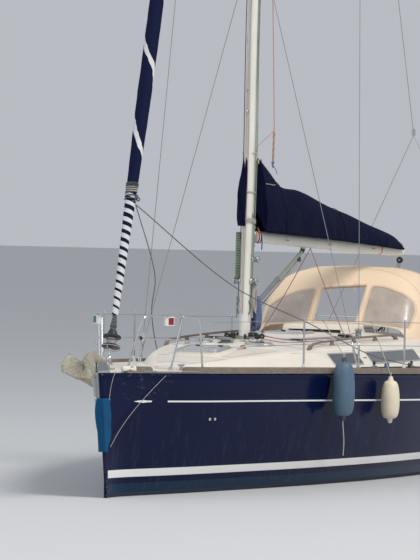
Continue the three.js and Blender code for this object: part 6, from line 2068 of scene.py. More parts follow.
def build_shrouds():
    outward = Vector((-0.004, WIRE + 0.003, 0))
    tips = [spreader_root(name)[1] + outward for name in ("lower", "upper")]
    for side, word in SIDES:
        def wire(shape, a, b):
            shape.tube(on_side([a, b], side), WIRE_R, "dull_steel", 8)

        cap, lower = Shape(), Shape()
        for shape, s, top in ((cap, CHAINPLATE_S, tips[0]),
                              (lower, CHAINPLATE_S - 0.064, shroud_at_mast(SPREADERS["lower"][0] - 0.15))):
            deck = chainplate_eye(s)
            eye = deck + UP * 0.052
            base = on_side([deck], side)[0]
            shape.plate(rounded_outline(0.056, 0.022, 0.008), 0.0005, 0.006, Matrix.Translation(base),
                        "stainless")
            outline = [(-0.022, 0.0), (0.022, 0.0), (0.018, 0.045), (0.010, 0.062), (-0.010, 0.062),
                       (-0.018, 0.045)]
            stand = Matrix.Translation(base + Vector((0, -0.005, 0))) @ Matrix.Rotation(math.pi / 2, 4, 'X')
            shape.plate(outline, -0.010, 0.0, stand, "chain_plate")
            run = (top - eye).normalized()
            knuckle, screw = eye + run * 0.030, eye + run * 0.31
            low, middle, high = on_side([eye, knuckle, screw], side)
            shape.tube([low - UP * 0.004, middle], 0.011, "stainless", 12)
            turnbuckle(shape, middle, high, 0.011)
            wire(shape, screw, top)
        wire(cap, tips[0], tips[1])
        ends = (shroud_at_mast(STAY_TOP_Z - 0.10), shroud_at_mast(SPREADERS["upper"][0] - 0.15))
        wire(cap, tips[1], ends[0])
        wire(cap, tips[0], ends[1])
        for end in ends:
            cap.ball(on_side([end], side)[0], 0.014, "stainless")
        cap.piece(f"cap_shroud_wire_{word}", replaces=[f"cap_shroud_{word}"], slot="stainless")
        lower.piece(f"lower_shroud_wire_{word}", replaces=[f"lower_shroud_{word}"], slot="stainless")


def build_backstay():
    wire = Shape()
    top = mast_at(MAST_TOP_Z - 0.04) + Vector((-0.245, 0, -0.012))
    split = point(11.15, 0, 4.30)
    wire.tube([top, split], WIRE_R, "dull_steel", 8)
    wire.ball(top.lerp(split, 0.006), 0.020, "stainless")
    wire.turned(split + Vector((0, 0, -0.04)), UP,
                [(0.010, 0), (0.026, 0.012), (0.026, 0.086), (0.010, 0.10)], "stainless", 18)
    for side in (1, -1):
        foot = deck_point(11.56, 0.19, 0.0, side)
        wire.plate([(-0.03, 0.0), (0.03, 0.0), (0.022, 0.06), (0.010, 0.078), (-0.010, 0.078),
                    (-0.022, 0.06)], -0.006, 0.006,
                   Matrix.Translation(foot) @ Matrix.Rotation(math.pi / 2, 4, 'X'), "chain_plate")
        head = foot + UP * 0.06
        run = (split - head).normalized()
        turnbuckle(wire, head, head + run * 0.34, 0.010)
        wire.tube([head + run * 0.33, split - UP * 0.03], 0.0038, "dull_steel", 8)
    wire.piece("backstay_wire", replaces=["backstay"], slot="stainless")


DRUM_START = 0.190
SAIL_START = 0.560
CLEW = 1.30


def about_stay(shape, profile, finish_name, sides):
    shape.turned(STAY_BASE, STAY_UP, [(radius, along) for along, radius in profile], finish_name, sides,
                 across=PORT)


def build_headstay():
    stay = Shape()
    stay.tube([on_stay(0.10), STAY_TOP], 0.006, "dull_steel", 10)
    about_stay(stay, [(0.0, 0.014), (0.030, 0.016), (0.034, 0.024), (0.060, 0.030), (0.085, 0.027),
                      (0.105, 0.018),
                      (0.108, 0.012), (0.150, 0.012), (0.160, 0.016), (0.186, 0.016)], "stainless", 24)
    stay.tube([on_stay(-0.005, -0.018), on_stay(-0.005, 0.018)], 0.007, "stainless", 12)
    stay.ball(STAY_TOP, 0.020, "stainless")
    stay.piece("headstay_wire", replaces=["forestay"], slot="stainless")

    d = DRUM_START
    drum = Shape()
    about_stay(drum, [(d, 0.030), (d + 0.002, 0.094), (d + 0.008, 0.100), (d + 0.024, 0.100),
                      (d + 0.030, 0.094), (d + 0.034, 0.058)], "black_plastic", 40)
    about_stay(drum, [(d + 0.034, 0.050), (d + 0.040, 0.047), (d + 0.108, 0.047), (d + 0.114, 0.052)],
               "white_plastic", 36)
    about_stay(drum, [(d + 0.108, 0.056), (d + 0.112, 0.094), (d + 0.118, 0.100), (d + 0.134, 0.100),
                      (d + 0.142, 0.092),
                      (d + 0.150, 0.060), (d + 0.186, 0.046), (d + 0.200, 0.040)], "black_plastic", 40)
    about_stay(drum, [(d + 0.200, 0.034), (d + 0.236, 0.034), (d + 0.240, 0.040), (SAIL_START - 0.100, 0.034),
                      (SAIL_START - 0.002, 0.022)], "rope_dark", 28)
    for turn in range(4):
        at = on_stay(d + 0.050 + 0.013 * turn)
        drum.torus(at, STAY_UP, 0.0530, 0.0062, "rope_white" if turn < 3 else "rope_blue", 30, 8)
    shackle = [on_stay(d + 0.245, 0.026, y) for y in (-0.01, 0.01)]
    drum.tube([shackle[0], on_stay(d + 0.290, 0.036, 0.0), shackle[1]], 0.005, "stainless", 8)
    drum.piece("furler_spool", "furler", replaces=["furler_drum"], slot="black_plastic")

    cage = Shape()
    out = 0.104
    hoop = [on_stay(d + 0.012, out * math.cos(a), out * math.sin(a)) for a in steps(-0.6, math.pi + 0.6, 18)]
    cage.tube(hoop, 0.0045, "stainless", 8)
    for a in (-0.45, math.pi / 2, math.pi + 0.45):
        low = on_stay(0.150, 0.020 * math.cos(a), 0.020 * math.sin(a))
        knee, high = (on_stay(along, out * math.cos(a), out * math.sin(a)) for along in (0.172, d + 0.014))
        cage.tube(bent([low, knee, high], 0.012, 3), 0.0045, "stainless", 8)
    cage.piece("furler_guard", slot="stainless")


def build_furled_sail():
    """Rolled genoa: a soft, slightly lumpy spindle with a spiral edge and sheets wound round its clew."""
    rng = random.Random(11)
    top = FURLED_SAIL[-1][0]
    wobble = [rng.uniform(-1, 1) for _ in range(40)]
    rings = []
    for t in steps(0, 1, 150):
        along = top * t**1.35
        radius = between(FURLED_SAIL, along)[0]
        lump = 1 + 0.035 * wobble[int(along * 2.4) % 40] * math.sin(along * 7.0)
        ring = []
        for a in ring_of(28):
            turn = (a / (2 * math.pi) + along / SAIL_BANDS["edge"]) % 1.0
            edge = 0.0028 * (1 - turn)
            r = radius * lump * (0.985 if along > 0.1 else 0.97) + edge
            side, fore = r * math.cos(a), r * math.sin(a) * 0.96
            ring.append(on_stay(SAIL_START + along, side, fore))
        rings.append(ring)
    sail = Shape().loft(rings, "furled_sail")
    swivel = SAIL_START + top
    about_stay(sail, [(swivel, 0.020), (swivel + 0.04, 0.033), (swivel + 0.12, 0.033),
                      (swivel + 0.14, 0.018)],
               "black_plastic", 20)
    sail.piece("furled_genoa", "furler", replaces=["furled_headsail"], slot="navy_canvas", sharp=60)

    sheets = Shape()
    clew = SAIL_START + CLEW
    for k, (low, high, name) in enumerate(((0.0, 0.10, "rope_dark"), (0.10, 0.17, "rope_white"),
                                           (0.16, 0.22, "rope_dark"))):
        a, b = on_stay(clew + low), on_stay(clew + high)
        radius = between(FURLED_SAIL, CLEW + low)[0] + 0.006
        sheets.tube(wrapped(a, b, radius, 3, start=k * 2.0), 0.0065, name, 8)
    knot = on_stay(clew + 0.06, between(FURLED_SAIL, CLEW + 0.06)[0] + 0.014, 0.0)
    sheets.torus(knot, Vector((0.2, 1, 0.3)), 0.018, 0.008, "rope_dark", 16, 8)
    sheets.torus(knot + Vector((-0.02, 0.008, -0.03)), Vector((0.9, 0.4, 0.1)), 0.016, 0.008, "rope_dark",
                 16, 8)
    sheets.piece("sheet_turns", "furler", slot="rope")


# Boom, sail cover, collar and sprayhood

def measure(mesh):
    return sum(p.area for p in mesh.polygons)


CLOTH = 0.004
BOOM_SIDES = 28


def cloth(thing):
    area = measure(thing.data)
    add_modifier(thing, 'SOLIDIFY', thickness=CLOTH, offset=-1.0)
    settle(thing)
    corners = [Vector(c) for c in thing.bound_box]
    length = max((max(c[k] for c in corners) - min(c[k] for c in corners)) for k in range(3))
    area / length


def boom_ring(along, scale=1.0):
    return [on_boom(along, scale * BOOM_WIDE / 2 * math.cos(a),
                    scale * BOOM_DEEP / 2 * math.copysign(abs(math.sin(a))**0.85, math.sin(a)))
            for a in ring_of(BOOM_SIDES)]


def strap_round(shape, along, finish_name, wide):
    """Webbing turned round the boom."""
    half, high = 1.05 * BOOM_WIDE / 2, 1.05 * BOOM_DEEP / 2
    edges = [[on_boom(along + end * wide / 2, half * math.cos(a), high * math.sin(a))
              for a in ring_of(BOOM_SIDES)]
             for end in (-1, 1)]
    shape.loft(edges, finish_name)


def build_boom():
    boom = Shape()
    end = BOOM_LENGTH - 0.07
    alongs = steps(0.02, BOOM_LENGTH - 0.14, 24)
    boom.loft([boom_ring(a) for a in alongs], "spar_white")
    boom.loft([boom_ring(BOOM_LENGTH - 0.145, 1.03), boom_ring(BOOM_LENGTH - 0.125, 1.03),
               boom_ring(BOOM_LENGTH - 0.09, 0.92), boom_ring(end, 0.62)], "white_plastic")
    boom.loft([boom_ring(0.005, 0.80), boom_ring(0.020, 1.02), boom_ring(0.060, 1.02)], "spar_alloy")
    axis = SWING.to_3x3() @ MAST_UP
    pin = SWING_AXIS - axis * NECK["half"]
    boom.turned(pin, axis, [(0.010, 0), (0.026, 0.002), (0.026, 0.188), (0.010, 0.190)], "stainless", 24)
    slot = [on_boom(a, 0, BOOM_DEEP / 2 - 0.002) for a in (0.1, BOOM_LENGTH - 0.16)]
    boom.bar(slot[0], slot[1], 0.024, 0.010, "spar_alloy")
    for side in (1, -1):
        for a in (0.9, 2.2, 3.6):
            c = on_boom(a, side * (BOOM_WIDE / 2 + 0.010), -0.01)
            boom.tube([on_boom(a - 0.05, side * (BOOM_WIDE / 2 + 0.018), -0.01), c,
                       on_boom(a + 0.05, side * (BOOM_WIDE / 2 + 0.018), -0.01)],
                      lambda t: 0.004 + 0.005 * math.sin(math.pi * t), "stainless", 8)
            boom.tube([on_boom(a, side * BOOM_WIDE * 0.4, -0.01), c], 0.009, "stainless", 8)
    strap_round(boom, 0.10, "red_webbing", 0.045)
    strap_round(boom, 0.16, "blue_webbing", 0.030)
    strap_round(boom, 3.90, "red_webbing", 0.022)
    boom.tube([on_boom(0.10, 0.05, 0.05), on_boom(0.055, 0.04, 0.11)], 0.007, "rope_red", 8)
    boom.tube(flowing([on_boom(0.16, 0.048, 0.01), on_boom(0.165, 0.052, -0.07),
                       on_boom(0.17, 0.046, -0.15)], 8),
              0.007, "blue_webbing", 8)
    outhaul = [on_boom(BOOM_LENGTH - 0.10, 0.01, 0.075), on_boom(BOOM_LENGTH - 0.16, 0.02, 0.105),
               on_boom(BOOM_LENGTH - 0.26, 0.02, 0.12)]
    boom.tube(flowing(outhaul, 8), 0.005, "rope_white", 8)
    boom.piece("boom_tube", "boom", replaces=["boom"], slot="spar_alloy", bevel=0.0015)


STRUT = {"eye_z": 1.985, "eye_half": 0.020, "eye_r": 0.022, "inner": 0.022, "along": 1.5}


def build_vang():
    low = SWING_AXIS + MAST_UP * ((STRUT["eye_z"] - SWING_AXIS.z) / MAST_UP.z)
    high = SWING.inverted() @ on_boom(STRUT["along"], 0, -BOOM_DEEP / 2 - 0.03)
    low_s, high_s = SWING @ low, SWING @ high
    axis = SWING.to_3x3() @ MAST_UP
    vang = Shape()
    vang.turned(low_s - axis * STRUT["eye_half"], axis,
                [(0.012, 0), (STRUT["eye_r"], 0.002), (STRUT["eye_r"], 0.038), (0.012, 0.040)],
                "stainless", 20)
    vang.tube([low_s, low_s.lerp(high_s, 0.08)], 0.013, "stainless", 12)
    knee = low_s.lerp(high_s, 0.5)
    run = (high_s - low_s).normalized()
    length = (high_s - low_s).length
    vang.turned(low_s + run * length * 0.03, run,
                [(0.014, 0), (0.028, 0.006), (0.030, 0.014), (0.030, length * 0.46), (0.034, length * 0.462),
                 (0.034, length * 0.49), (0.024, length * 0.492)], "grey_plastic", 24)
    vang.tube([knee, high_s], STRUT["inner"], "spar_alloy", 18)
    vang.turned(high_s - run * 0.06, run, [(0.024, 0), (0.028, 0.004), (0.028, 0.050), (0.016, 0.070)],
                "black_plastic", 20)
    under = -BOOM_DEEP / 2
    lug = [[on_boom(STRUT["along"] + a, y, up) for y, up in
            ((-0.012, under - w), (0.012, under - w), (0.012, under - SEAM), (-0.012, under - SEAM))]
           for a, w in ((-0.07, 0.006), (-0.04, 0.030), (0.04, 0.030), (0.07, 0.006))]
    vang.loft(lug, "stainless")
    back = UP.cross(run).normalized().cross(run)
    back = back if back.x < 0 else -back
    top_block = high_s - run * 0.16 + back * 0.055
    low_block = low_s + run * 0.20 + back * 0.058
    across = back.cross(run)
    block(vang, top_block, across, 1.15)
    block(vang, low_block, across, 1.15)
    vang.tube([top_block, high_s - run * 0.05 + back * 0.01], 0.006, "stainless", 8)
    vang.tube([low_block, low_s + run * 0.10 + back * 0.01], 0.006, "stainless", 8)
    for k, (a, b, name) in enumerate(((-0.024, -0.024, "rope_dark"), (0.024, 0.024, "rope_dark"),
                                      (-0.008, 0.010, "rope_dark"), (0.010, -0.010, "rope_white"))):
        vang.tube([top_block + back * a + across * (0.006 * (k - 1.5)),
                   low_block + back * b + across * (0.006 * (k - 1.5))],
                  0.005, name, 8)
    tail = [low_block + back * 0.02, low_block + back * 0.03 + Vector((0, 0.01, -0.10)),
            low_s + Vector((-0.02, 0.035, -0.13))]
    vang.tube(flowing(tail, 8), 0.005, "rope_white", 8)
    vang.piece("vang_strut", "boom", replaces=["boom_strut"], slot="spar_alloy")


COVER_SECTION = [(1.0, 0.0), (1.06, 0.10), (1.08, 0.22), (1.05, 0.36), (0.96, 0.50), (0.80, 0.66),
                 (0.60, 0.80), (0.40, 0.92), (0.20, 0.99), (0.0, 1.015)]
COVER_TIES = (0.62, 1.10, 1.62, 2.15, 2.70, 3.22, 3.78, 4.30)
COVER_END = SAIL_COVER[-1][0]


def cover_profile(t):
    """Half section of the cover: t = 0 at the boom, 1 at the crest."""
    rows = [(k / (len(COVER_SECTION) - 1), *p) for k, p in enumerate(COVER_SECTION)]
    return between(rows, t)


def cover_point(along, t, out=0.0):
    """Smooth point of the cover: t runs from -1 at the starboard hem over the crest to 1 at the port hem."""
    crest, half, hem = between(SAIL_COVER, along)
    w, h = cover_profile(1 - abs(t))
    return on_boom(along, math.copysign(w * half + out, t) if w else 0.0,
                   hem + h * (crest - BOOM_DEEP / 2 - hem) + out * h)


def at_height(along, up):
    """Place across the cover's port side, as cover_point takes it, of a height above the boom's axis."""
    crest, _, hem = between(SAIL_COVER, along)
    wanted = (up - hem) / (crest - BOOM_DEEP / 2 - hem)
    return min(steps(0, 1, 60), key=lambda t: abs(cover_profile(1 - t)[1] - wanted))


def build_sail_cover():
    grid = []
    for along in steps(SAIL_COVER[0][0], COVER_END, 150):
        pinch = sum(math.exp(-((along - tie) / 0.09)**2) for tie in COVER_TIES)
        line = []
        for t in steps(-1, 1, 60):
            _, h = cover_profile(1 - abs(t))
            drape = math.sin(math.pi * min(1.0, (1 - abs(t)) * 1.4))
            folds = 0.007 * math.sin(along * 3.1 + 3.2 * h + t) + 0.004 * math.sin(along * 11 - 7 * h + 2 * t)
            folds += 0.003 * math.sin(along * 27 + 16 * h) * (1 - h)
            soft = 0.004 * math.sin(along * 5.0) * h
            p = cover_point(along, t, (folds - 0.010 * pinch * (1 - h)) * drape)
            line.append(p + SWING.to_3x3() @ MAST_UP * soft)
        grid.append(line)
    cover = Shape()
    cover.loft(grid, "navy_canvas", closed=False)
    for line, along, up in ((grid[0], SAIL_COVER[0][0], 0.30), (grid[-1], COVER_END, 0.05)):
        fan = [(i, i + 1, len(line)) for i in range(len(line) - 1)]
        cover.add(line + [on_boom(along, 0, up)], fan, "navy_canvas")
    thing = cover.piece("sail_cover_cloth", "boom", replaces=["sail_cover"], slot="navy_canvas", sharp=70)
    cloth(thing)

    trim = Shape()
    for side in (1, -1):
        hem = [cover_point(along, side, 0.003) for along in steps(0.14, COVER_END - 0.02, 90)]
        trim.tube(hem, 0.0060, "navy_tape", 8)
    for along in (0.62, 2.40):
        trim.tube([cover_point(along, t, 0.004) for t in steps(-0.98, 0.98, 40)], 0.0026, "navy_tape", 6)
    for side in (1, -1):
        edge = [cover_point(along, side * at_height(along, 0.635), 0.004) for along in steps(0.14, 0.44, 12)]
        trim.tube(edge, 0.0035, "rope_white", 6)
    trim.piece("sail_cover_trim", "boom", slot="navy_canvas")

    crown = Shape()
    loop = [on_boom(0.13 + 0.045 * math.cos(a), 0.02, 0.90 + 0.035 * math.sin(a))
            for a in steps(-0.6, math.pi + 0.6, 14)]
    crown.tube(loop, 0.008, "rope_cream", 8)
    top = [cover_point(a, 0.0, 0.002) for a in steps(0.13, 0.50, 6)]
    crown.tube(top, 0.004, "navy_tape", 6)
    crown.piece("sail_cover_head", "boom", slot="navy_canvas")


COLLAR = [(2.990, 0.250, 0.190), (3.120, 0.300, 0.220), (3.330, 0.290, 0.225), (3.520, 0.240, 0.195),
          (3.620, 0.195, 0.150), (3.760, 0.165, 0.126), (3.880, 0.140, 0.120)]
COLLAR_GAP = 0.112


def build_collar():
    """Luff of the cover standing round the mast's starboard side, open to port."""
    grid = []
    for z in steps(COLLAR[0][0] + 0.005, COLLAR[-1][0] - 0.005, 44):
        long, wide = between(COLLAR, z)
        c = mast_at(z)
        line = []
        for t in steps(0, 1, 40):
            a = blend(-2.55, 0.22, t)
            fold = 0.006 * math.sin(9 * a + 14 * z) + 0.005 * math.sin(21 * z) * math.cos(a)
            x = c.x + 0.010 + (long / 2 + 0.018 + fold) * math.cos(a)
            y = (wide / 2 + 0.011 + fold) * math.sin(a)
            line.append(Vector((max(x, SWING_AXIS.x + COLLAR_GAP), min(y, 0.026), z)))
        grid.append(line)
    collar = Shape().loft(grid, "navy_canvas", closed=False)
    thing = collar.piece("mast_collar_cloth", replaces=["mast_collar"], slot="navy_canvas", sharp=70)
    cloth(thing)
    lacing = Shape()
    path = [mast_at(3.86, -0.085 * math.cos(a), 0.083 * math.sin(a)) for a in steps(-2.3, 2.3, 24)]
    lacing.tube(path, 0.0055, "rope_cream", 8)
    path = [mast_at(3.40, -0.120 * math.cos(a), 0.079 * math.sin(a)) for a in steps(-2.0, 2.0, 24)]
    lacing.tube(path, 0.0065, "rope_white", 8)
    lacing.piece("collar_lacing", slot="rope")


# Sprayhood

HOOD = {"front": 7.88, "bend": 8.42, "aft": 9.30, "round": 0.62, "along": 2.9, "thick": 0.005}
# Corners of the openings in the hood's front: breadth and height.
# Corners of its side windows: station and height.
HOOD_MOUTH = [(-0.262, 1.808), (0.312, 1.808), (0.362, 2.262), (-0.222, 2.222)]
HOOD_WINDOWS = {
    "port": [(0.392, 1.806), (0.780, 1.770), (0.985, 1.735), (1.010, 1.980), (0.965, 2.090),
             (0.845, 2.180), (0.600, 2.262), (0.425, 2.272)],
    "starboard": [(-0.340, 1.806), (-0.312, 2.224), (-0.520, 2.190), (-0.745, 2.110), (-0.925, 1.980),
                  (-0.955, 1.760), (-0.780, 1.770)],
}
HOOD_SIDE = [(8.42, 1.72), (9.12, 1.72), (9.12, 2.16), (8.80, 2.22), (8.44, 2.16)]


def hood_section(s, a, inset=0.0):
    """Point of the hood's section at station s: a runs from 0 at the port foot to pi at the other."""
    half, crown, foot = between(SPRAYHOOD, s)
    c, k = math.cos(a), math.sin(a)
    y = (half - inset) * math.copysign(abs(c)**HOOD["round"], c)
    return point(s, y, foot + (crown - inset - foot) * max(k, 0.0)**HOOD["round"])


def hood_front(y, z, out=0.0):
    """Point of the hood's sloping front at breadth y and height z."""
    low, high = HOOD["front"], 8.45
    for _ in range(30):
        middle = (low + high) / 2
        half, crown, foot = between(SPRAYHOOD, middle)
        c = min(1.0, (abs(y) / half))**(1 / HOOD["round"])
        reach = foot + (crown - foot) * math.sqrt(max(0.0, 1 - c * c))**HOOD["round"]
        low, high = (middle, high) if reach < z else (low, middle)
    return point(low - out, y, z + out * 0.4)


def hood_side(s, z, side, out=0.0):
    half, crown, foot = between(SPRAYHOOD, s)
    k = ((z - foot) / (crown - foot))**(1 / HOOD["round"])
    y = half * math.sqrt(max(0.0, 1 - k * k))**HOOD["round"]
    return point(s, side * (y + out), z)


def softened(corners, radius):
    """Closed outline with its corners rounded."""
    outline = []
    count = len(corners)
    for i in range(count):
        before, corner, after = (Vector((*corners[(i + k) % count], 0)) for k in (-1, 0, 1))
        a = corner + (before - corner).normalized() * min(radius, (before - corner).length * 0.45)
        b = corner + (after - corner).normalized() * min(radius, (after - corner).length * 0.45)
        outline += [tuple((a * (1 - t)**2 + corner * 2 * t * (1 - t) + b * t * t).xy) for t in steps(0, 1, 4)]
    return outline


def grown(outline, out):
    """Outline moved outwards by a constant distance."""
    count = len(outline)
    turn = sum(a[0] * b[1] - b[0] * a[1] for a, b in zip(outline, outline[1:] + outline[:1]))
    side = math.copysign(1, turn)
    moved = []
    for i in range(count):
        (a, b), (c, d) = outline[i - 1], outline[(i + 1) % count]
        along = Vector((c - a, d - b)).normalized()
        moved.append((outline[i][0] + side * along.y * out, outline[i][1] - side * along.x * out))
    return moved


def hood_prism(outline, near, far, place):
    """Solid through the cloth: place(u, v, w) puts outline point (u, v) at depth w."""
    return Shape().loft([[place(u, v, w) for u, v in outline] for w in (near, far)], "clear_vinyl")


def strip_round(shape, surface, corners, radius, wide, finish_name):
    """Binding tape sewn round an opening."""
    fine = []
    outline = softened(corners, radius)
    for (a, b), (c, d) in zip(outline, outline[1:] + outline[:1]):
        parts = max(1, int(math.hypot(c - a, d - b) / 0.05))
        fine += [(blend(a, c, t), blend(b, d, t)) for t in steps(0, 1, parts)[:-1]]
    rings = []
    for grow, out in ((-wide * 0.20, 0.001), (-wide * 0.15, 0.0045), (wide * 0.65, 0.0045),
                      (wide * 0.70, 0.001)):
        rings.append([surface(u, v, out) for u, v in grown(fine, grow)])
    shape.loft(rings, finish_name, caps=False)


def build_sprayhood():
    bend, aft_edge = HOOD["bend"], HOOD["aft"]
    stations = steps(HOOD["front"], 8.25, 16)[:-1] + steps(8.25, bend, 8)[:-1] + steps(bend, aft_edge, 30)
    grid = []
    for s in stations:
        line = []
        for a in steps(0, math.pi, 96):
            p = hood_section(s, a)
            k = math.sin(a)
            tight = sum(math.exp(-((s - at) / 0.05)**2) for at in (bend, 9.28))
            wave = 0.006 * math.sin(s * 15 + 5 * a) + 0.004 * math.sin(s * 37 - 9 * a)
            sag = 0.012 * math.sin(math.pi * min(1, (s - bend) / 0.86)) * k if s > bend else 0.0
            p.z -= sag + wave * (1 - min(1, tight)) * k
            p.y += wave * (1 - k) * math.copysign(1, p.y)
            line.append(p)
        grid.append(line)
    hood = Shape().loft(grid, "tan_canvas", closed=False)
    hood = hood.piece("sprayhood_cloth", replaces=["sprayhood"], slot="tan_canvas", sharp=60)
    add_modifier(hood, 'SOLIDIFY', thickness=HOOD["thick"], offset=-1.0)
    settle(hood)
    front, aft = STEM_X - 8.5, STEM_X - 7.5
    lift = Matrix.Translation((0, 0, 0.002))
    windows = [hood_prism(softened(corners, 0.05), front, aft, lambda y, z, x: Vector((x, y, z)))
               for corners in HOOD_WINDOWS.values()]
    windows += [hood_prism(softened(HOOD_SIDE, 0.05), side * 0.90, side * 1.4, lambda s, z, y: point(s, y, z))
                for side in (1, -1)]
    mouth = hood_prism(softened(HOOD_MOUTH, 0.04), front, aft, lambda y, z, x: Vector((x, y, z)))
    glazing = copied(hood, "sprayhood_windows", "clear_vinyl")
    roof_stations = [ROOF[0][0], 2.5, 3.2] + steps(4.0, ROOF_AFT, 14)
    cuts = [mouth]
    cuts.append(Shape().loft([roof_ring(s) for s in roof_stations], "gelcoat").moved(lift))
    cuts.append(span_block((7.0, 8.52), (-0.425, 0.425), (1.5, GARAGE["top"] + 0.002)))
    cuts += [coaming_shape(side).moved(lift) for side in (1, -1)]
    cuts += [span_block((7.6, 9.4), span(side, 1.04, 1.4), (1.0, 1.51)) for side in (1, -1)]
    carve(hood, windows + cuts, sharp=50)
    pane = windows[0]
    for other in windows[1:]:
        pane.join(other)
    carve(glazing, [pane], 'INTERSECT', sharp=50)
    carve(glazing, cuts, sharp=50)
    glazing.data.polygons.foreach_set("material_index", [0] * len(glazing.data.polygons))
    while len(glazing.data.materials) > 1:
        glazing.data.materials.pop()

    tape = Shape()
    strip_round(tape, hood_front, HOOD_MOUTH, 0.04, 0.030, "tan_tape")
    for corners in HOOD_WINDOWS.values():
        strip_round(tape, hood_front, corners, 0.05, 0.026, "tan_tape")
    for side in (1, -1):
        strip_round(tape, lambda s, z, out, side=side: hood_side(s, z, side, out), HOOD_SIDE, 0.05, 0.026,
                    "tan_tape")
    rear = [hood_section(9.296, a) + UP * 0.002 for a in steps(0.16, math.pi - 0.16, 70)]
    tape.tube(rear, 0.0085, "tan_tape", 8)
    seam = [hood_section(bend, a) + UP * 0.001 for a in steps(0.2, math.pi - 0.2, 70)]
    tape.tube(seam, 0.0045, "tan_tape", 6)
    binding = tape.piece("sprayhood_binding", slot="tan_canvas")

    roll = Shape()
    path = [hood_front(y, blend(2.240, 2.285, (y + 0.225) / 0.59), 0.030) for y in steps(-0.225, 0.365, 24)]
    roll.tube(path, lambda t: 0.026 + 0.003 * math.sin(t * 23), "tan_canvas", 14)
    for t in (0.22, 0.78):
        at = path[int(t * 24)]
        roll.torus(at, PORT, 0.0285, 0.0045, "tan_tape", 20, 6)
        roll.tube([at + Vector((0.020, 0, -0.02)), at + Vector((0.018, 0, -0.09))], 0.005, "tan_tape", 6)
    flap = roll.piece("sprayhood_flap_roll", slot="tan_canvas")

    hoops = Shape()
    for s in (8.425, 9.272):
        hoops.tube([hood_section(s, a, 0.022) for a in steps(0.10, math.pi - 0.10, 70)], 0.0125,
                   "stainless", 14)
    for side in (1, -1):
        a, b = hood_section(8.425, 0.22, 0.022), hood_section(9.272, 0.22, 0.022)
        hoops.tube(on_side([a, b], side), 0.008, "stainless", 10)
        foot = point(8.62, side * 1.160, coaming_top(8.62) + 0.001)
        hoops.plate(rounded_outline(0.08, 0.04, 0.012), 0.0, 0.005, Matrix.Translation(foot), "stainless")
    hoops.piece("sprayhood_hoops", slot="stainless")


# Cockpit, steering and lockers

SOLE_Z = 0.62
SEAT_Z = 1.06
SILL_Z = 1.20
SEAT_LOCKER = {"front": 8.72, "aft": 9.98, "inner": 0.45, "outer": 0.89, "low": 1.0603, "high": 1.085}
WELL = {"front": 8.48, "aft": 11.50, "half": 1.08, "low": 0.585}
SHEET_BAR = {"s": 9.66, "z": 1.062, "half": 0.333, "boom_along": 4.60}
GUARD_S = 10.48
STEERER = {"s": 10.595, "wheel_s": 10.76, "hub_z": 1.33, "radius": 0.44}


PLANK = {"wide": 0.046, "gap": 0.005}


def slats(shape, s_span, y_span, z, thick=0.010):
    """Teak planks running fore and aft, with dark caulking between them."""
    gap = PLANK["gap"]
    count = max(1, round((y_span[1] - y_span[0]) / (PLANK["wide"] + gap)))
    pitch = (y_span[1] - y_span[0]) / count
    for k in range(count):
        y = y_span[0] + pitch * (k + 0.5)
        outline = rounded_outline(s_span[1] - s_span[0], pitch - gap, 0.004, 2)
        place = Matrix.Translation(point(sum(s_span) / 2, y, z))
        shape.plate(outline, 0.0, thick, place, "teak")
    centre = Matrix.Translation(point(sum(s_span) / 2, sum(y_span) / 2, z))
    shape.plate(rounded_outline(s_span[1] - s_span[0] - 0.01, y_span[1] - y_span[0] - 0.01, 0.01, 2), 0.0,
                thick * 0.5, centre, "black_plastic")


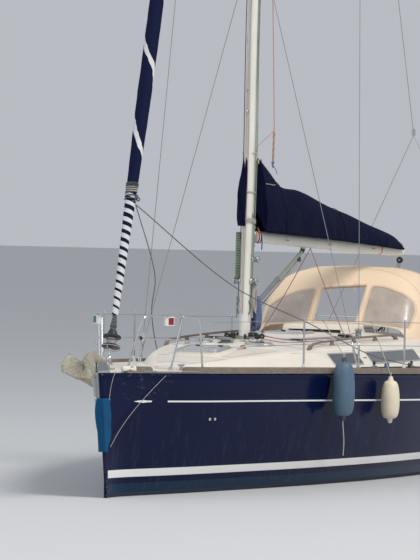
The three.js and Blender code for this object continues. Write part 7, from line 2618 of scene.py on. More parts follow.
def build_cockpit():
    front, aft, half, low = (WELL[k] for k in ("front", "aft", "half", "low"))
    rim = deck_top(aft, half) - 0.012
    body = span_block((front + SEAM, aft - SEAM), (SEAM - half, half - SEAM), (low, rim))
    well = body.piece("cockpit_moulding", replaces=["cockpit"], slot="gelcoat")
    cuts = [span_block((8.50, 11.46), (-1.04, 1.04), (SEAT_Z, 2.0)),
            span_block((8.52, 10.35), (-0.35, 0.35), (SOLE_Z, 2.0)),
            span_block((8.40, 8.51), (-1.04, 1.04), (SILL_Z, 2.0)),
            span_block((10.34, 11.13), (-0.70, 0.70), (SOLE_Z, 2.0))]
    cuts += [span_block((8.75, 9.95), span(side, 0.48, 0.86), (0.76, 2.0)) for side in (1, -1)]
    for cut in cuts:
        carve(well, [cut])
    add_modifier(well, 'BEVEL', width=0.010, segments=3, limit_method='ANGLE', angle_limit=math.radians(50))

    planks = Shape()
    slats(planks, (8.60, 10.32), (-0.31, 0.31), SOLE_Z + 0.0005)
    for side in (1, -1):
        slats(planks, (10.38, 11.10), span(side, 0.14, 0.66), SOLE_Z + 0.0005)
        slats(planks, (10.02, 10.30), span(side, 0.40, 1.00), SEAT_Z + 0.0005)
    slats(planks, (11.17, 11.43), (-1.00, 1.00), SEAT_Z + 0.0005)
    planks.piece("cockpit_teak", slot="teak", bevel=0.001)

    for side, word in SIDES:
        lid = Shape()
        spec = SEAT_LOCKER
        s_mid, y_mid = (spec["front"] + spec["aft"]) / 2, side * (spec["inner"] + spec["outer"]) / 2
        long, wide = spec["aft"] - spec["front"], spec["outer"] - spec["inner"]
        place = Matrix.Translation(point(s_mid, y_mid, 0))
        lid.plate(rounded_outline(long, wide, 0.03), spec["low"], spec["high"] - 0.008, place, "gelcoat")
        half = wide / 2 - 0.022
        slats(lid, (spec["front"] + 0.022, spec["aft"] - 0.022), (y_mid - half, y_mid + half),
              spec["high"] - 0.0085, thick=0.0085)
        lid.piece(f"seat_lid_{word}", f"seat_locker_{word}", replaces=[f"seat_locker_lid_{word}"],
                  slot="teak", bevel=0.0012)

    lid = Shape()
    rows = []
    for s in steps(0.54, 1.14, 12):
        rows.append([point(s, y, deck_top(s, y) + 0.020) for y in steps(-0.19, 0.19, 8)]
                    + [point(s, 0.19, deck_top(s, 0.19) + 0.0006),
                       point(s, -0.19, deck_top(s, 0.19) + 0.0006)])
    lid.loft(rows, "gelcoat")
    tread = [[point(s, y, deck_top(s, y) + 0.0212) for y in steps(-0.155, 0.155, 6)]
             for s in steps(0.585, 1.095, 8)]
    lid.loft(tread, "non_slip", closed=False)
    ring = point(0.60, 0, deck_top(0.60, 0) + 0.0205)
    lid.turned(ring, UP, [(0.018, 0), (0.018, 0.0015), (0.013, 0.0015), (0.012, 0.0004)], "stainless", 18)
    lid.piece("anchor_hatch", "anchor_locker", replaces=["anchor_locker_lid"], slot="gelcoat", bevel=0.004)


def build_steering():
    hub = point(STEERER["wheel_s"], 0, STEERER["hub_z"])
    wheel = Shape()
    wheel.torus(hub, AHEAD, STEERER["radius"], 0.0128, "navy_tape", 96, 12)
    for k in range(6):
        a = math.pi / 2 + math.pi * k / 3
        out = Vector((0, math.cos(a), math.sin(a)))
        wheel.tube([hub + out * 0.040, hub + out * (STEERER["radius"] - 0.006)],
                   lambda t: 0.0085 - 0.002 * t, "stainless", 10)
        wheel.turned(hub + out * (STEERER["radius"] - 0.030), out,
                     [(0.008, 0), (0.012, 0.006), (0.013, 0.018)], "stainless", 12)
    wheel.turned(hub - AHEAD * 0.030, AHEAD,
                 [(0.012, 0), (0.036, 0.002), (0.045, 0.010), (0.045, 0.055), (0.036, 0.064), (0.030, 0.078),
                  (0.008, 0.080)], "stainless", 32)
    wheel.rod(hub + AHEAD * 0.04, hub + AHEAD * 0.11, 0.0116, "stainless", 16)
    spoke = hub + Vector((0, 0, STEERER["radius"]))
    wheel.torus(spoke, PORT, 0.0150, 0.0035, "rope_white", 18, 6)
    for v in (-0.006, 0.006):
        wheel.torus(spoke + Vector((0, v, 0)), PORT, 0.0155, 0.0032, "rope_white", 18, 6)
    wheel.piece("wheel_rim_and_spokes", "wheel", replaces=["steering_wheel"], slot="stainless")

    stand = Shape()
    rows = []
    for z, long, wide in ((SOLE_Z + 0.0004, 0.190, 0.220), (0.70, 0.185, 0.215), (1.10, 0.168, 0.200),
                          (1.40, 0.172, 0.205), (1.47, 0.176, 0.208), (1.498, 0.160, 0.195)):
        rows.append([point(10.605, 0, z) + Vector((u, v, 0))
                     for u, v in rounded_outline(long, wide, 0.045, 6)])
    stand.loft(rows, "white_plastic")
    bowl = point(STEERER["s"], 0, 1.498)
    stand.turned(bowl, UP, [(0.086, 0), (0.090, 0.004), (0.086, 0.016), (0.074, 0.020)], "black_plastic", 36)
    stand.turned(bowl + UP * 0.018, UP, [(0.070, 0), (0.066, 0.014), (0.052, 0.028), (0.030, 0.037),
                                         (0.004, 0.040)], "dark_glass", 36)
    pedestal = stand.piece("steering_pedestal", replaces=["pedestal"], slot="white_plastic")
    bore = Shape().turned(point(10.80, 0, STEERER["hub_z"]), AHEAD, [(0.0125, 0), (0.0125, 0.12)],
                          "black_plastic", 24)
    carve(pedestal, [bore])
    guard = Shape()
    for side in (1, -1):
        foot_plate(guard, point(GUARD_S, side * 0.135, SOLE_Z + 0.011), 0.028)
        guard.tube(bent([point(GUARD_S, side * 0.135, SOLE_Z + 0.014), point(GUARD_S, side * 0.135, 1.585),
                         point(GUARD_S, 0, 1.585)], 0.05),
                   0.011, "stainless", 12)
    guard.rod(point(GUARD_S, -0.135, 1.30), point(GUARD_S, 0.135, 1.30), 0.008, "stainless")
    lever = point(10.60, 0.1035, 1.20)
    guard.turned(lever, PORT, [(0.030, 0), (0.030, 0.008), (0.022, 0.014), (0.010, 0.018)], "stainless", 24)
    guard.tube([lever + Vector((0, 0.018, 0)), lever + Vector((-0.02, 0.024, 0.07)),
                lever + Vector((-0.03, 0.024, 0.12))],
               0.007, "stainless", 10)
    guard.ball(lever + Vector((-0.032, 0.024, 0.128)), 0.013, "black_plastic")
    guard.piece("pedestal_guard_and_lever", slot="stainless")

    for side, word in SIDES:
        gear = Shape()
        winch(gear, point(9.9, side * 1.18, coaming_top(9.9) + 0.0006), 1.0)
        turns = point(9.9, side * 1.18, coaming_top(9.9) + 0.046)
        gear.tube(wrapped(turns, turns + UP * 0.032, 0.047, 3), 0.006, "rope_white", 8)
        gear.piece(f"primary_drum_{word}", replaces=[f"primary_winch_{word}"], slot="stainless")
    clutch = Shape()
    for side in (1, -1):
        at = point(9.30, side * 1.175, coaming_top(9.30) + 0.0006)
        clutch.plate(rounded_outline(0.16, 0.07, 0.015), 0.0, 0.004, Matrix.Translation(at), "stainless")
        block(clutch, at + UP * 0.038, PORT, 1.0)
    clutch.piece("coaming_blocks", slot="black_plastic")


def build_mainsheet():
    """Four-part tackle from under the boom to a bar across the footwell; its upper block rides the boom as it
    swings.
    """
    s, bar_z, half, along = (SHEET_BAR[k] for k in ("s", "z", "half", "boom_along"))
    high = on_boom(along, 0, -BOOM_DEEP / 2 - 0.045)
    foot = point(s, 0, bar_z + 0.110)
    upper = Shape()
    block(upper, high, AHEAD, 1.4)
    upper.tube([high, on_boom(along, 0, -BOOM_DEEP / 2 + 0.004)], 0.007, "stainless", 8)
    upper.piece("mainsheet_boom_block", "boom", slot="black_plastic")
    lower = Shape()
    block(lower, foot, AHEAD, 1.4)
    lower.tube([foot, point(s, 0, bar_z)], 0.007, "stainless", 8)
    lower.bar(point(s, -half, bar_z), point(s, half, bar_z), 0.050, 0.032, "black_plastic")
    lower.bar(point(s, -0.30, bar_z + 0.020), point(s, 0.30, bar_z + 0.020), 0.022, 0.010, "stainless")
    lower.piece("mainsheet_foot_block", slot="black_plastic")
    falls = Shape()
    for y, reach in ((-0.020, -0.010), (0.020, 0.010), (-0.008, 0.022), (0.010, -0.022)):
        falls.tube([foot + Vector((0.012, y, 0.02)), high + Vector((reach * 0.4, y, -0.02))], 0.005,
                   "rope_white", 8)
    tackle = falls.piece("mainsheet_falls", None, slot="rope")
    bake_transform(tackle)


# Halyards, sheets and lashings

def on_deck(s, y, rise):
    return point(s, y, deck_top(s, y) + rise)


def build_halyards():
    """Lines up the mast and in front of it."""
    lines = Shape()

    sway = 0.006

    def up(front, y, low, high, finish_name, radius=0.0055):
        path = [mast_at(z, -front + sway * math.sin(z * 2.1), y + sway * math.cos(z * 1.7))
                for z in steps(low, high, 40)]
        lines.tube(path, radius, finish_name, 8)

    half_long, half_wide = MAST_LONG / 2, MAST_WIDE / 2
    up(half_long + 0.012, 0.012, 1.95, 15.9, "rope_red_fleck", 0.0065)
    up(half_long + 0.010, -0.022, 1.95, 16.3, "rope_white")
    up(0.030, half_wide + 0.012, 1.95, 11.2, "rope_green", 0.0060)
    up(-0.012, half_wide + 0.014, 1.95, 9.0, "rope_green")
    up(0.030, -half_wide - 0.012, 1.95, 12.4, "rope_dark")
    up(-half_long - 0.012, -0.028, 4.2, 14.5, "rope_blue", 0.0050)
    ring = [mast_at(3.04 + 0.01 * math.sin(2 * a), -(half_long + 0.018) * math.cos(a),
                    (half_wide + 0.020) * math.sin(a))
            for a in ring_of(28)]
    for k in range(3):
        lines.tube([p + Vector((0, 0, 0.016 * k)) for p in ring + ring[:1]], 0.0062, "rope_white", 8)
    lines.piece("halyards", slot="rope")

    loose = Shape()
    knot = on_boom(0.55, 0.0, 0.88)
    top = mast_at(9.3, 0.30)
    run = [top, top.lerp(knot, 0.5), knot + Vector((-0.02, 0, 0.42)), knot]
    loose.tube(flowing(run, 40), 0.0055, "rope_orange", 8)
    split = knot + Vector((-0.02, 0, 0.42))
    loose.tube(flowing([split, mast_at(3.93, 0.16, 0.02), mast_at(3.88, 0.11, 0.05)], 16), 0.0045,
               "rope_orange", 8)
    for k, name in enumerate(("rope_orange", "rope_white", "rope_orange")):
        loose.tube(wrapped(split, knot, 0.010, 5, start=k * 2.1), 0.0042, name, 8)
    loose.ball(knot + UP * 0.035, 0.020, "rope_blue")
    loose.torus(knot, Vector((0, 1, 0.2)), 0.020, 0.008, "rope_blue", 18, 8)
    loose.tube(flowing([knot, on_boom(0.56, 0.03, 0.84), on_boom(0.57, 0.05, 0.78)], 8), 0.0045,
               "rope_blue", 8)
    halyard = loose.piece("topping_and_main_halyard", None, slot="rope")
    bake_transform(halyard)


def hank(shape, top, down, across, length, turns, radius, finish_name, rng, width=0.045):
    """Coil of rope hung up by its middle: flattened loops a little apart, with wraps near the top."""
    for k in range(turns):
        lean = (k - (turns - 1) / 2) * radius * 1.5
        wide = width + rng.uniform(-0.008, 0.008)
        fall = length * rng.uniform(0.90, 1.0)
        loop = []
        for a in ring_of(22):
            drop = fall * (0.5 - 0.5 * math.cos(a))
            spread = wide * math.sin(a) * (0.45 + 0.55 * drop / fall)
            loop.append(top + down * drop + across * spread + across.cross(down) * lean)
        shape.tube(loop + loop[:1], radius, finish_name, 7)
    wrap = top + down * (length * 0.20)
    for k in range(4):
        shape.torus(wrap + down * (radius * 2.1 * k), down, 0.030, radius, finish_name, 16, 7)


def build_mast_foot():
    """Turning blocks, hanks and tails at the foot of the mast."""
    rng = random.Random(5)
    foot = Shape()
    base_z = roof_top(MAST_S, 0)
    for k in range(8):
        a = 2 * math.pi * (k + 0.5) / 8
        centre = point(MAST_S, 0, base_z + 0.052) + Vector((0.215 * math.cos(a), 0.205 * math.sin(a), 0))
        facing = Vector((-math.sin(a), math.cos(a), 0))
        block(foot, centre, facing, 1.15)
        foot.tube([centre - UP * 0.040, centre], 0.006, "stainless", 8)
        foot.turned(Vector((centre.x, centre.y, roof_top(STEM_X - centre.x, abs(centre.y)) + 0.0006)), UP,
                    [(0.020, 0), (0.020, 0.006), (0.010, 0.010)], "stainless", 16)
    foot.piece("mast_foot_blocks", slot="black_plastic")

    coils = Shape()
    down = Vector((0, 0, -1))
    hank(coils, mast_at(2.16, 0.20, 0.06), down, Vector((0.7, 1, 0)).normalized(), 0.42, 9, 0.0070,
         "rope_blue", rng, 0.085)
    hank(coils, mast_at(2.36, 0.02, 0.098), down, AHEAD, 0.40, 5, 0.006, "rope_white", rng)
    hank(coils, mast_at(2.92, -0.02, -0.105), down, Vector((1, 0.4, 0)).normalized(), 0.60, 6, 0.007,
         "rope_green", rng, 0.055)
    coils.piece("mast_rope_hanks", slot="rope")


ROOF_LINES = (
    (0.470, "rope_red"), (0.495, "rope_white"), (0.520, "rope_blue"), (0.545, "rope_red_fleck"),
)


def build_roof_lines():
    """Lines led aft over the roof from the mast foot, and loose red tails forward of it."""
    lines = Shape()
    for side in (1, -1):
        for k, (y, name) in enumerate(ROOF_LINES[:3] if side > 0 else ROOF_LINES[1:]):
            start_s = MAST_S + 0.10 + 0.03 * k
            path = [on_roof(start_s, side * 0.16, 0.060), on_roof(4.86, side * 0.34, 0.024),
                    on_roof(5.05, side * (y - 0.02), 0.016)]
            path += [on_roof(s, side * (y + (0.10 + 0.03 * k) * ease((s - 5.05) / 1.3)), 0.010)
                     for s in steps(5.3, 6.36, 8)]
            lines.tube(flowing(path, 40), 0.0052, name, 8)
            tail = [on_roof(6.49, side * (0.60 + 0.055 * k), 0.018),
                    on_roof(6.62, side * (0.62 + 0.05 * k), 0.012),
                    on_roof(6.74, side * (0.66 + 0.02 * k), 0.050)]
            lines.tube(flowing(tail, 14), 0.0052, name, 8)
    low = 0.007
    for route in (((4.42, 0.10, 0.030), (4.10, 0.30, low), (3.86, 0.22, low), (3.66, 0.36, low),
                   (3.52, 0.30, low)),
                  ((4.52, 0.20, 0.040), (4.60, 0.48, low), (4.95, 0.62, low), (5.30, 0.66, low),
                   (5.75, 0.80, low))):
        lines.tube(flowing([on_roof(*place) for place in route], 40), 0.0050, "rope_red", 8)
    lines.piece("roof_lines", slot="rope")


SHEET_R = 0.0060


def build_sheet_leads():
    """Headsail sheets from the clew down to the side decks, and what lies there."""
    leads = Shape()
    clew = on_stay(SAIL_START + CLEW, 0.03, -0.100)
    port = [clew, point(2.75, 0.52, 2.30), point(4.05, 1.02, 1.86), point(5.15, 1.38, 1.50),
            on_deck(6.0, 1.62, 0.055)]
    star = [clew, point(2.75, -0.45, 2.42), point(4.05, -0.98, 1.98), point(5.15, -1.36, 1.62),
            on_deck(6.0, -1.62, 0.055)]
    for path in (port, star):
        leads.tube(flowing(path, 60), SHEET_R, "rope_dark", 8)
    for side in (1, -1):
        car = on_deck(6.02, side * 1.62, 0.052)
        block(leads, car, PORT, 1.2)
        run = [car + Vector((-0.03, 0, -0.012)), on_deck(7.2, side * 1.55, 0.012),
               on_deck(8.4, side * 1.46, 0.012),
               on_deck(9.1, side * 1.36, 0.10), point(9.28, side * 1.20, coaming_top(9.28) + 0.048)]
        leads.tube(flowing(run, 40), SHEET_R, "rope_dark", 8)
        leads.tube([point(9.33, side * 1.178, coaming_top(9.33) + 0.055),
                    point(9.84, side * 1.14, coaming_top(9.84) + 0.058)],
                   SHEET_R, "rope_dark", 8)
    leads.piece("headsail_sheets", slot="rope")

    deck = Shape()
    loop = ((5.60, 1.46, 0.008), (5.30, 1.55, 0.008), (5.00, 1.49, 0.008),
            (5.10, 1.43, 0.018), (5.45, 1.50, 0.010), (5.80, 1.52, 0.008))
    deck.tube(flowing([on_deck(*place) for place in loop], 40), SHEET_R, "rope_blue", 8)
    block(deck, on_deck(5.58, 1.47, 0.040), Vector((0.2, 1, 0)), 1.3, "rope_blue")
    deck.piece("side_deck_block_and_line", slot="rope")


def build_red_lines():
    """Two slack red lines from the boom's middle down to the roof and the side deck."""
    for word, foot in (("starboard", on_roof(7.05, -0.66, 0.012)), ("port", on_deck(5.90, 0.985, 0.012))):
        line = Shape()
        top = on_boom(1.72, 0.0, -BOOM_DEEP / 2 - 0.004)
        path = flowing([foot, foot.lerp(top, 0.5) - UP * 0.03, top], 30)
        line.tube(path, 0.0050, "rope_red", 8)
        line.torus(foot + UP * 0.004, PORT, 0.012, 0.004, "stainless", 14, 6)
        rope = line.piece(f"red_line_{word}", None, slot="rope")
        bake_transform(rope)


# Fenders and their ropes

FENDERS = (
    {"name": "fender_blue", "s": 3.60, "y": 1.585, "z": 1.14, "radius": 0.130, "long": 0.64,
     "finish": "fender_blue"},
    {"name": "fender_cream", "s": 4.67, "y": 1.812, "z": 0.99, "radius": 0.110, "long": 0.46,
     "finish": "fender_cream"},
)


def guard_wire_at(s):
    """Upper guard wire between the two posts on either side of station s."""
    a, b = (deck_point(post, POST_INSET, STANCHION_H - 0.020) for post in STANCHIONS[:2])
    t = (s - STANCHIONS[0]) / (STANCHIONS[1] - STANCHIONS[0])
    return a.lerp(b, t)


def build_fenders():
    for spec in FENDERS:
        r, half = spec["radius"], spec["long"] / 2
        eye_finish = "fender_eye" if spec["finish"] == "fender_blue" else spec["finish"]
        centre = point(spec["s"], spec["y"], spec["z"])
        body = Shape()
        profile = []
        for a in steps(-math.pi / 2, math.pi / 2, 26):
            bulge = math.cos(a)**0.42 if math.cos(a) > 1e-6 else 0.0
            profile.append((max(0.014, r * bulge * (1.0 - 0.05 * math.sin(a))),
                            half * 0.97 * math.copysign(abs(math.sin(a))**0.92, a)))
        body.turned(centre, UP, profile, spec["finish"], 48)
        for sign in (1, -1):
            end = centre + UP * (sign * half * 0.90)
            body.turned(end, UP * sign,
                        [(0.050, 0.0), (0.036, 0.018), (0.028, half * 0.10 + 0.022),
                         (0.024, half * 0.10 + 0.040)],
                        eye_finish, 24)
            body.torus(centre + UP * (sign * (half + 0.026)), AHEAD, 0.015, 0.009,
                       eye_finish, 20, 10)
        for a in (0.0, math.pi):
            side = Vector((math.cos(a), math.sin(a), 0))
            seam = [centre + UP * h + side * (w + 0.0006) for w, h in profile[2:-2]]
            body.tube(seam, 0.0014, spec["finish"], 5)
        body.piece(f"{spec['name']}_body", replaces=[spec["name"]], slot=spec["name"])

        line = Shape()
        eye = centre + UP * (half + 0.026)
        wire = guard_wire_at(spec["s"])
        line.torus(eye + UP * 0.014, PORT, 0.014, 0.0052, "rope_white", 16, 8)
        line.tube(flowing([eye + UP * 0.028, eye.lerp(wire, 0.5) + Vector((0, 0.004, 0)),
                           wire - UP * 0.012], 16), 0.0052, "rope_white", 8)
        for k in range(3):
            line.torus(eye + UP * (0.036 + 0.011 * k), UP, 0.008, 0.0048, "rope_white", 14, 6)
        line.tube(wrapped(wire + Vector((-0.018, 0, 0)), wire + Vector((0.018, 0, 0)), 0.0095, 3), 0.0050,
                  "rope_white", 8)
        line.piece(f"{spec['name']}_line", slot="rope")

    path = [point(*p) for p in TAIL_ROUTE]
    tail = Shape()
    smooth = flowing(path, 60)
    tail.tube(smooth, 0.0060, "rope_white", 10)
    cord = tail.piece("fender_rope_tail", replaces=["fender_tail"], slot="rope")


# Keel, rudder and drive

def foil_ring(s, z, chord, thick):
    """Section of a keel or rudder: along the chord from the leading edge, thick at a third of it."""
    ring = []
    for a in ring_of(40):
        along = 0.5 - 0.5 * math.cos(a)
        half = 0.5 * thick * math.sin(a) * (1.45 * math.sqrt(along) * (1.25 - along) + 0.02) * 1.6
        ring.append(point(s + (along - 0.5) * chord, half, z))
    return ring


def foil(shape, rows, finish_name, count=24):
    table = [(i / (len(rows) - 1), *row) for i, row in enumerate(rows)]
    shape.loft([foil_ring(*between(table, t)) for t in steps(0, 1, count)], finish_name)


BULB = {"s": 6.90, "long": 2.5, "z": -1.85, "radius": 0.15, "sole": -1.9697}
DRIVE_Z = -0.82


def build_underwater():
    fin = Shape()
    foil(fin, [(6.65, -0.585, 1.75, 0.19), (6.71, -1.0, 1.56, 0.17), (6.78, -1.82, 1.35, 0.15)], "keel_paint")
    rings = []
    for t in steps(0, 1, 40):
        r = BULB["radius"] * math.sin(math.pi * (0.94 * t + 0.03))**0.6
        s = BULB["s"] + BULB["long"] * (t - 0.5)
        ring = []
        for a in ring_of(32):
            z = BULB["z"] + r * math.sin(a)
            ring.append(point(s, 1.5 * r * math.cos(a), max(z, BULB["sole"])))
        rings.append(ring)
    fin.loft(rings, "keel_paint")
    fin.piece("keel_fin_and_bulb", replaces=["keel"], slot="keel_iron", sharp=40)

    blade = Shape()
    foil(blade, [(11.27, -0.3297, 0.62, 0.09), (11.27, -1.0, 0.56, 0.08), (11.25, -1.697, 0.42, 0.06)],
         "antifouling")
    blade.rod(point(STOCK_S, 0, -0.63), point(STOCK_S, 0, 0.52), 0.0299, "stainless", 24)
    blade.piece("rudder_blade_and_stock", "rudder", replaces=["rudder"], slot="underwater", sharp=40)

    leg = Shape()
    foil(leg, [(8.82, -0.54, 0.30, 0.11), (8.85, -0.80, 0.30, 0.10)], "bronze", 10)
    leg.turned(point(9.089, 0, DRIVE_Z), AHEAD,
               [(0.052, 0), (0.060, 0.012), (0.060, 0.19), (0.054, 0.29), (0.036, 0.38),
                (0.012, 0.418)], "bronze", 32)
    leg.turned(point(8.84, 0, -0.548), UP, [(0.17, 0), (0.15, -0.012), (0.08, -0.030)], "black_plastic",
               36, squash=0.55)
    leg.turned(point(8.84, 0, -0.90), UP, [(0.012, 0.0), (0.016, 0.04), (0.022, 0.08)], "bronze", 16)
    leg.piece("saildrive_leg", replaces=["saildrive"], slot="bronze", sharp=35)

    screw = Shape()
    aft = Vector((-1, 0, 0))
    screw.turned(point(9.0912, 0, DRIVE_Z), aft,
                 [(0.046, 0), (0.052, 0.006), (0.052, 0.030), (0.042, 0.070), (0.034, 0.092),
                  (0.010, 0.0988)],
                 "bronze", 32)
    screw.rod(point(9.0, 0, DRIVE_Z), point(9.12, 0, DRIVE_Z), 0.0153, "stainless", 16)
    blades = [(0.03, 0.06, 34), (0.11, 0.11, 26), (0.18, 0.09, 18), (0.225, 0.03, 8)]
    for k in range(3):
        turn = 2 * math.pi * k / 3 + math.radians(20)
        radial = Vector((0, math.cos(turn), math.sin(turn)))
        tangent = Vector((0, -math.sin(turn), math.cos(turn)))
        rings = []
        for r in steps(0.03, 0.2245, 14):
            chord, pitch = between(blades, r)
            tilt = math.radians(pitch + 20)
            run = tangent * math.cos(tilt) + aft * math.sin(tilt)
            face = run.cross(radial)
            thick = blend(0.008, 0.003, r / 0.225)
            origin = point(9.135, 0, DRIVE_Z) + radial * r
            rings.append([origin + run * (0.5 * chord * math.cos(a)) + face * (thick * math.sin(a))
                          for a in ring_of(18)])
        screw.loft(rings, "bronze")
    screw.piece("propeller_blades", "propeller", replaces=["propeller"], slot="bronze", sharp=40)

    engine = Shape()
    centre = Matrix.Translation(point(8.47, 0, 0))
    engine.plate(rounded_outline(0.778, 0.558, 0.04), -0.3293, 0.02, centre, "engine_paint")
    engine.plate(rounded_outline(0.70, 0.40, 0.04), 0.02, 0.178, centre, "engine_paint")
    engine.piece("engine_mass", replaces=["engine_block"], slot="engine_iron", bevel=0.012)


# Camera, floor and light

CAMERA = {"at": (45.655, 15.853, 2.933), "yaw": math.radians(20.27), "dip": math.radians(0.72),
          "roll": math.radians(1.23), "lens": 253.41, "sensor": 36.0}


def build_camera():
    yaw, dip, roll = CAMERA["yaw"], CAMERA["dip"], CAMERA["roll"]
    right = Vector((-math.sin(yaw), math.cos(yaw), 0))
    forward = Vector((-math.cos(yaw) * math.cos(dip), -math.sin(yaw) * math.cos(dip), -math.sin(dip)))
    up = right.cross(forward)
    x = right * math.cos(roll) + up * math.sin(roll)
    y = up * math.cos(roll) - right * math.sin(roll)
    lens = bpy.data.cameras.new("camera")
    lens.lens = CAMERA["lens"]
    lens.sensor_width = CAMERA["sensor"]
    lens.sensor_fit = 'AUTO'
    lens.clip_start = 0.5
    lens.clip_end = 1500
    camera = bpy.data.objects.new("camera", lens)
    bpy.context.scene.collection.objects.link(camera)
    camera.matrix_world = Matrix.Translation(CAMERA["at"]) @ Matrix((x, y, -forward)).transposed().to_4x4()
    bpy.context.scene.camera = camera


FLOOR_HALF = 500.0


def build_stage():
    floor = Shape()
    grid = [[Vector((x, y, 0)) for x in steps(-FLOOR_HALF, FLOOR_HALF, 2)]
            for y in steps(-FLOOR_HALF, FLOOR_HALF, 2)]
    floor.loft(grid, "stage_floor", closed=False)
    sheet = bpy.data.objects.new("stage_floor", floor.mesh("stage_floor"))
    bpy.context.scene.collection.objects.link(sheet)

    def lamp(name, at, aim, size, watts, colour):
        data = bpy.data.lights.new(name, 'AREA')
        data.shape = 'DISK'
        data.size = size
        data.energy = watts
        data.color = colour
        thing = bpy.data.objects.new(name, data)
        bpy.context.scene.collection.objects.link(thing)
        thing.location = at
        thing.rotation_euler = (Vector(aim) - Vector(at)).to_track_quat('-Z', 'Y').to_euler()

    lamp("key_light", (14, 26, 34), (0, 0, 4), 16, 11500, (1.0, 0.97, 0.92))
    lamp("fill_light", (30, -20, 18), (0, 0, 4), 24, 2400, (0.90, 0.95, 1.0))
    world = bpy.data.worlds.new("soft_sky")
    world.use_nodes = True
    ground = world.node_tree.nodes["Background"]
    ground.inputs["Color"].default_value = (0.78, 0.81, 0.87, 1.0)
    ground.inputs["Strength"].default_value = bpy.context.scene.yacht_stage.sky
    bpy.context.scene.world = world
    bpy.context.scene.view_settings.view_transform = 'Standard'


# Operators, panel and main

class YachtStage(bpy.types.PropertyGroup):
    """Floor and sky around the yacht"""

    floor: FloatVectorProperty(
        name="Floor", description="Colour of the floor at the water plane",
        subtype='COLOR', size=3, min=0, max=1, default=(0.62, 0.63, 0.64))
    sky: FloatProperty(
        name="Sky light", description="Strength of the even light from all round",
        min=0, max=4, default=0.62)


class YACHT_OT_stage(bpy.types.Operator):
    """Set the camera, the pale floor at the water plane and the soft light"""

    bl_idname = "yacht.stage"
    bl_label = "Camera, Floor and Light"

    def execute(self, context):
        build_camera()
        build_stage()
        return {'FINISHED'}


class YACHT_OT_fenders(bpy.types.Operator):
    """Hang the two fenders and their ropes from the guard wire"""

    bl_idname = "yacht.fenders"
    bl_label = "Fenders"

    def execute(self, context):
        build_fenders()
        return {'FINISHED'}


class YACHT_OT_hull(bpy.types.Operator):
    """Build the painted hull skin and its small fittings"""

    bl_idname = "yacht.hull"
    bl_label = "Hull"

    def execute(self, context):
        build_hull()
        return {'FINISHED'}


class YACHT_OT_deck(bpy.types.Operator):
    """Build the deck moulding with its coamings and non-slip panels"""

    bl_idname = "yacht.deck"
    bl_label = "Deck"

    def execute(self, context):
        build_deck()
        return {'FINISHED'}


class YACHT_OT_toe_rails(bpy.types.Operator):
    """Build the weathered toe rails and their metal ends"""

    bl_idname = "yacht.toe_rails"
    bl_label = "Toe Rails"

    def execute(self, context):
        build_toe_rails()
        return {'FINISHED'}


class YACHT_OT_deck_gear(bpy.types.Operator):
    """Fit cleats, sheet tracks and fillers to the deck"""

    bl_idname = "yacht.deck_gear"
    bl_label = "Deck Gear"

    def execute(self, context):
        build_deck_gear()
        return {'FINISHED'}


class YACHT_OT_cabin(bpy.types.Operator):
    """Build the cabin roof and the panels on it"""

    bl_idname = "yacht.cabin"
    bl_label = "Cabin"

    def execute(self, context):
        build_cabin()
        return {'FINISHED'}


class YACHT_OT_windows(bpy.types.Operator):
    """Glaze the long side windows"""

    bl_idname = "yacht.windows"
    bl_label = "Cabin Windows"

    def execute(self, context):
        build_windows()
        return {'FINISHED'}


class YACHT_OT_hatches(bpy.types.Operator):
    """Build the hinged hatch lids and their frames"""

    bl_idname = "yacht.hatches"
    bl_label = "Deck Hatches"

    def execute(self, context):
        build_hatches()
        return {'FINISHED'}


class YACHT_OT_grab_rails(bpy.types.Operator):
    """Build the teak grab rails on the roof"""

    bl_idname = "yacht.grab_rails"
    bl_label = "Grab Rails"

    def execute(self, context):
        build_handrails()
        return {'FINISHED'}


class YACHT_OT_roof_gear(bpy.types.Operator):
    """Fit winches, clutches and the vent to the roof"""

    bl_idname = "yacht.roof_gear"
    bl_label = "Roof Gear"

    def execute(self, context):
        build_roof_gear()
        return {'FINISHED'}


class YACHT_OT_companionway(bpy.types.Operator):
    """Build the sliding hatch, its garage and the washboards"""

    bl_idname = "yacht.companionway"
    bl_label = "Companionway"

    def execute(self, context):
        build_companionway()
        return {'FINISHED'}


class YACHT_OT_stemhead(bpy.types.Operator):
    """Build the stem fitting with its roller"""

    bl_idname = "yacht.stemhead"
    bl_label = "Stemhead"

    def execute(self, context):
        build_stemhead()
        return {'FINISHED'}


class YACHT_OT_anchor(bpy.types.Operator):
    """Build the plough anchor and its chain"""

    bl_idname = "yacht.anchor"
    bl_label = "Anchor"

    def execute(self, context):
        build_anchor()
        return {'FINISHED'}


class YACHT_OT_bow_guard(bpy.types.Operator):
    """Wrap the blue cloth round the stem and lash it"""

    bl_idname = "yacht.bow_guard"
    bl_label = "Bow Guard"

    def execute(self, context):
        build_bow_guard()
        return {'FINISHED'}


class YACHT_OT_pulpit(bpy.types.Operator):
    """Build the two halves of the pulpit and the bow lights"""

    bl_idname = "yacht.pulpit"
    bl_label = "Pulpit"

    def execute(self, context):
        build_pulpit()
        build_nav_lights()
        return {'FINISHED'}


class YACHT_OT_guard_rails(bpy.types.Operator):
    """Build the stanchions, guard wires and pushpit"""

    bl_idname = "yacht.guard_rails"
    bl_label = "Guard Rails"

    def execute(self, context):
        build_lifelines()
        build_pushpit()
        return {'FINISHED'}


class YACHT_OT_mast(bpy.types.Operator):
    """Build the mast, its fittings and spreaders"""

    bl_idname = "yacht.mast"
    bl_label = "Mast"

    def execute(self, context):
        build_mast()
        build_spreaders()
        return {'FINISHED'}


class YACHT_OT_standing_rigging(bpy.types.Operator):
    """Set up the shrouds, backstay and headstay"""

    bl_idname = "yacht.standing_rigging"
    bl_label = "Standing Rigging"

    def execute(self, context):
        build_shrouds()
        build_backstay()
        build_headstay()
        return {'FINISHED'}


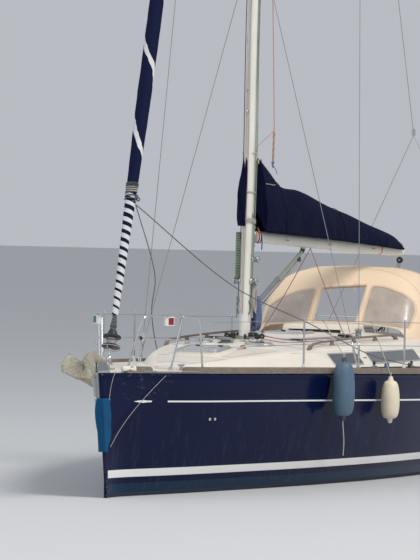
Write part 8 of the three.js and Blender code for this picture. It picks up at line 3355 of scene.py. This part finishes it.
class YACHT_OT_headsail(bpy.types.Operator):
    """Roll the headsail round its stay"""

    bl_idname = "yacht.headsail"
    bl_label = "Furled Headsail"

    def execute(self, context):
        build_furled_sail()
        return {'FINISHED'}


class YACHT_OT_boom(bpy.types.Operator):
    """Build the boom and its strut"""

    bl_idname = "yacht.boom"
    bl_label = "Boom"

    def execute(self, context):
        build_boom()
        build_vang()
        return {'FINISHED'}


class YACHT_OT_sail_cover(bpy.types.Operator):
    """Lay the navy cover over the stowed mainsail and lace its collar"""

    bl_idname = "yacht.sail_cover"
    bl_label = "Sail Cover"

    def execute(self, context):
        build_sail_cover()
        build_collar()
        return {'FINISHED'}


class YACHT_OT_sprayhood(bpy.types.Operator):
    """Sew the tan sprayhood with its windows, rolled flap and hoops"""

    bl_idname = "yacht.sprayhood"
    bl_label = "Sprayhood"

    def execute(self, context):
        build_sprayhood()
        return {'FINISHED'}


class YACHT_OT_cockpit(bpy.types.Operator):
    """Build the cockpit, its teak and its locker lids"""

    bl_idname = "yacht.cockpit"
    bl_label = "Cockpit"

    def execute(self, context):
        build_cockpit()
        return {'FINISHED'}


class YACHT_OT_steering(bpy.types.Operator):
    """Build the wheel, pedestal and primary winches"""

    bl_idname = "yacht.steering"
    bl_label = "Steering"

    def execute(self, context):
        build_steering()
        return {'FINISHED'}


class YACHT_OT_running_rigging(bpy.types.Operator):
    """Reeve the halyards, mainsheet, headsail sheets, hanks and turning blocks"""

    bl_idname = "yacht.running_rigging"
    bl_label = "Running Rigging"

    def execute(self, context):
        build_halyards()
        build_mast_foot()
        build_roof_lines()
        build_sheet_leads()
        build_red_lines()
        build_mainsheet()
        return {'FINISHED'}


class YACHT_OT_underwater(bpy.types.Operator):
    """Build the keel, rudder, drive leg, propeller and engine"""

    bl_idname = "yacht.underwater"
    bl_label = "Underwater Gear"

    def execute(self, context):
        build_underwater()
        return {'FINISHED'}


OPERATORS = (
    YACHT_OT_stage, YACHT_OT_fenders, YACHT_OT_hull, YACHT_OT_deck,
    YACHT_OT_toe_rails, YACHT_OT_deck_gear, YACHT_OT_cabin, YACHT_OT_windows,
    YACHT_OT_hatches, YACHT_OT_grab_rails, YACHT_OT_roof_gear, YACHT_OT_companionway,
    YACHT_OT_stemhead, YACHT_OT_anchor, YACHT_OT_bow_guard, YACHT_OT_pulpit,
    YACHT_OT_guard_rails, YACHT_OT_mast, YACHT_OT_standing_rigging, YACHT_OT_headsail,
    YACHT_OT_boom, YACHT_OT_sail_cover, YACHT_OT_sprayhood, YACHT_OT_cockpit,
    YACHT_OT_steering, YACHT_OT_running_rigging, YACHT_OT_underwater,
)
GROUPS = {"yacht_paints": YachtPaints, "yacht_wear": YachtWear, "yacht_stage": YachtStage}


class YACHT_PT_pieces(bpy.types.Panel):
    """Lists the yacht's pieces and settings"""

    bl_idname = "YACHT_PT_pieces"
    bl_label = "Yacht"
    bl_space_type = 'VIEW_3D'
    bl_region_type = 'UI'
    bl_category = "Yacht"

    def draw(self, context):
        for name, group in GROUPS.items():
            for key in group.__annotations__:
                self.layout.prop(getattr(context.scene, name), key)
        for operator in OPERATORS:
            self.layout.operator(operator.bl_idname)


def register():
    for kind in (*GROUPS.values(), *OPERATORS, YACHT_PT_pieces):
        bpy.utils.register_class(kind)
    for name, group in GROUPS.items():
        setattr(bpy.types.Scene, name, PointerProperty(type=group))


def unregister():
    for name in GROUPS:
        delattr(bpy.types.Scene, name)
    for kind in reversed((*GROUPS.values(), *OPERATORS, YACHT_PT_pieces)):
        bpy.utils.unregister_class(kind)


def main():
    register()
    for operator in OPERATORS:
        getattr(bpy.ops.yacht, operator.bl_idname.split(".")[1])()


if __name__ == "__main__":
    main()
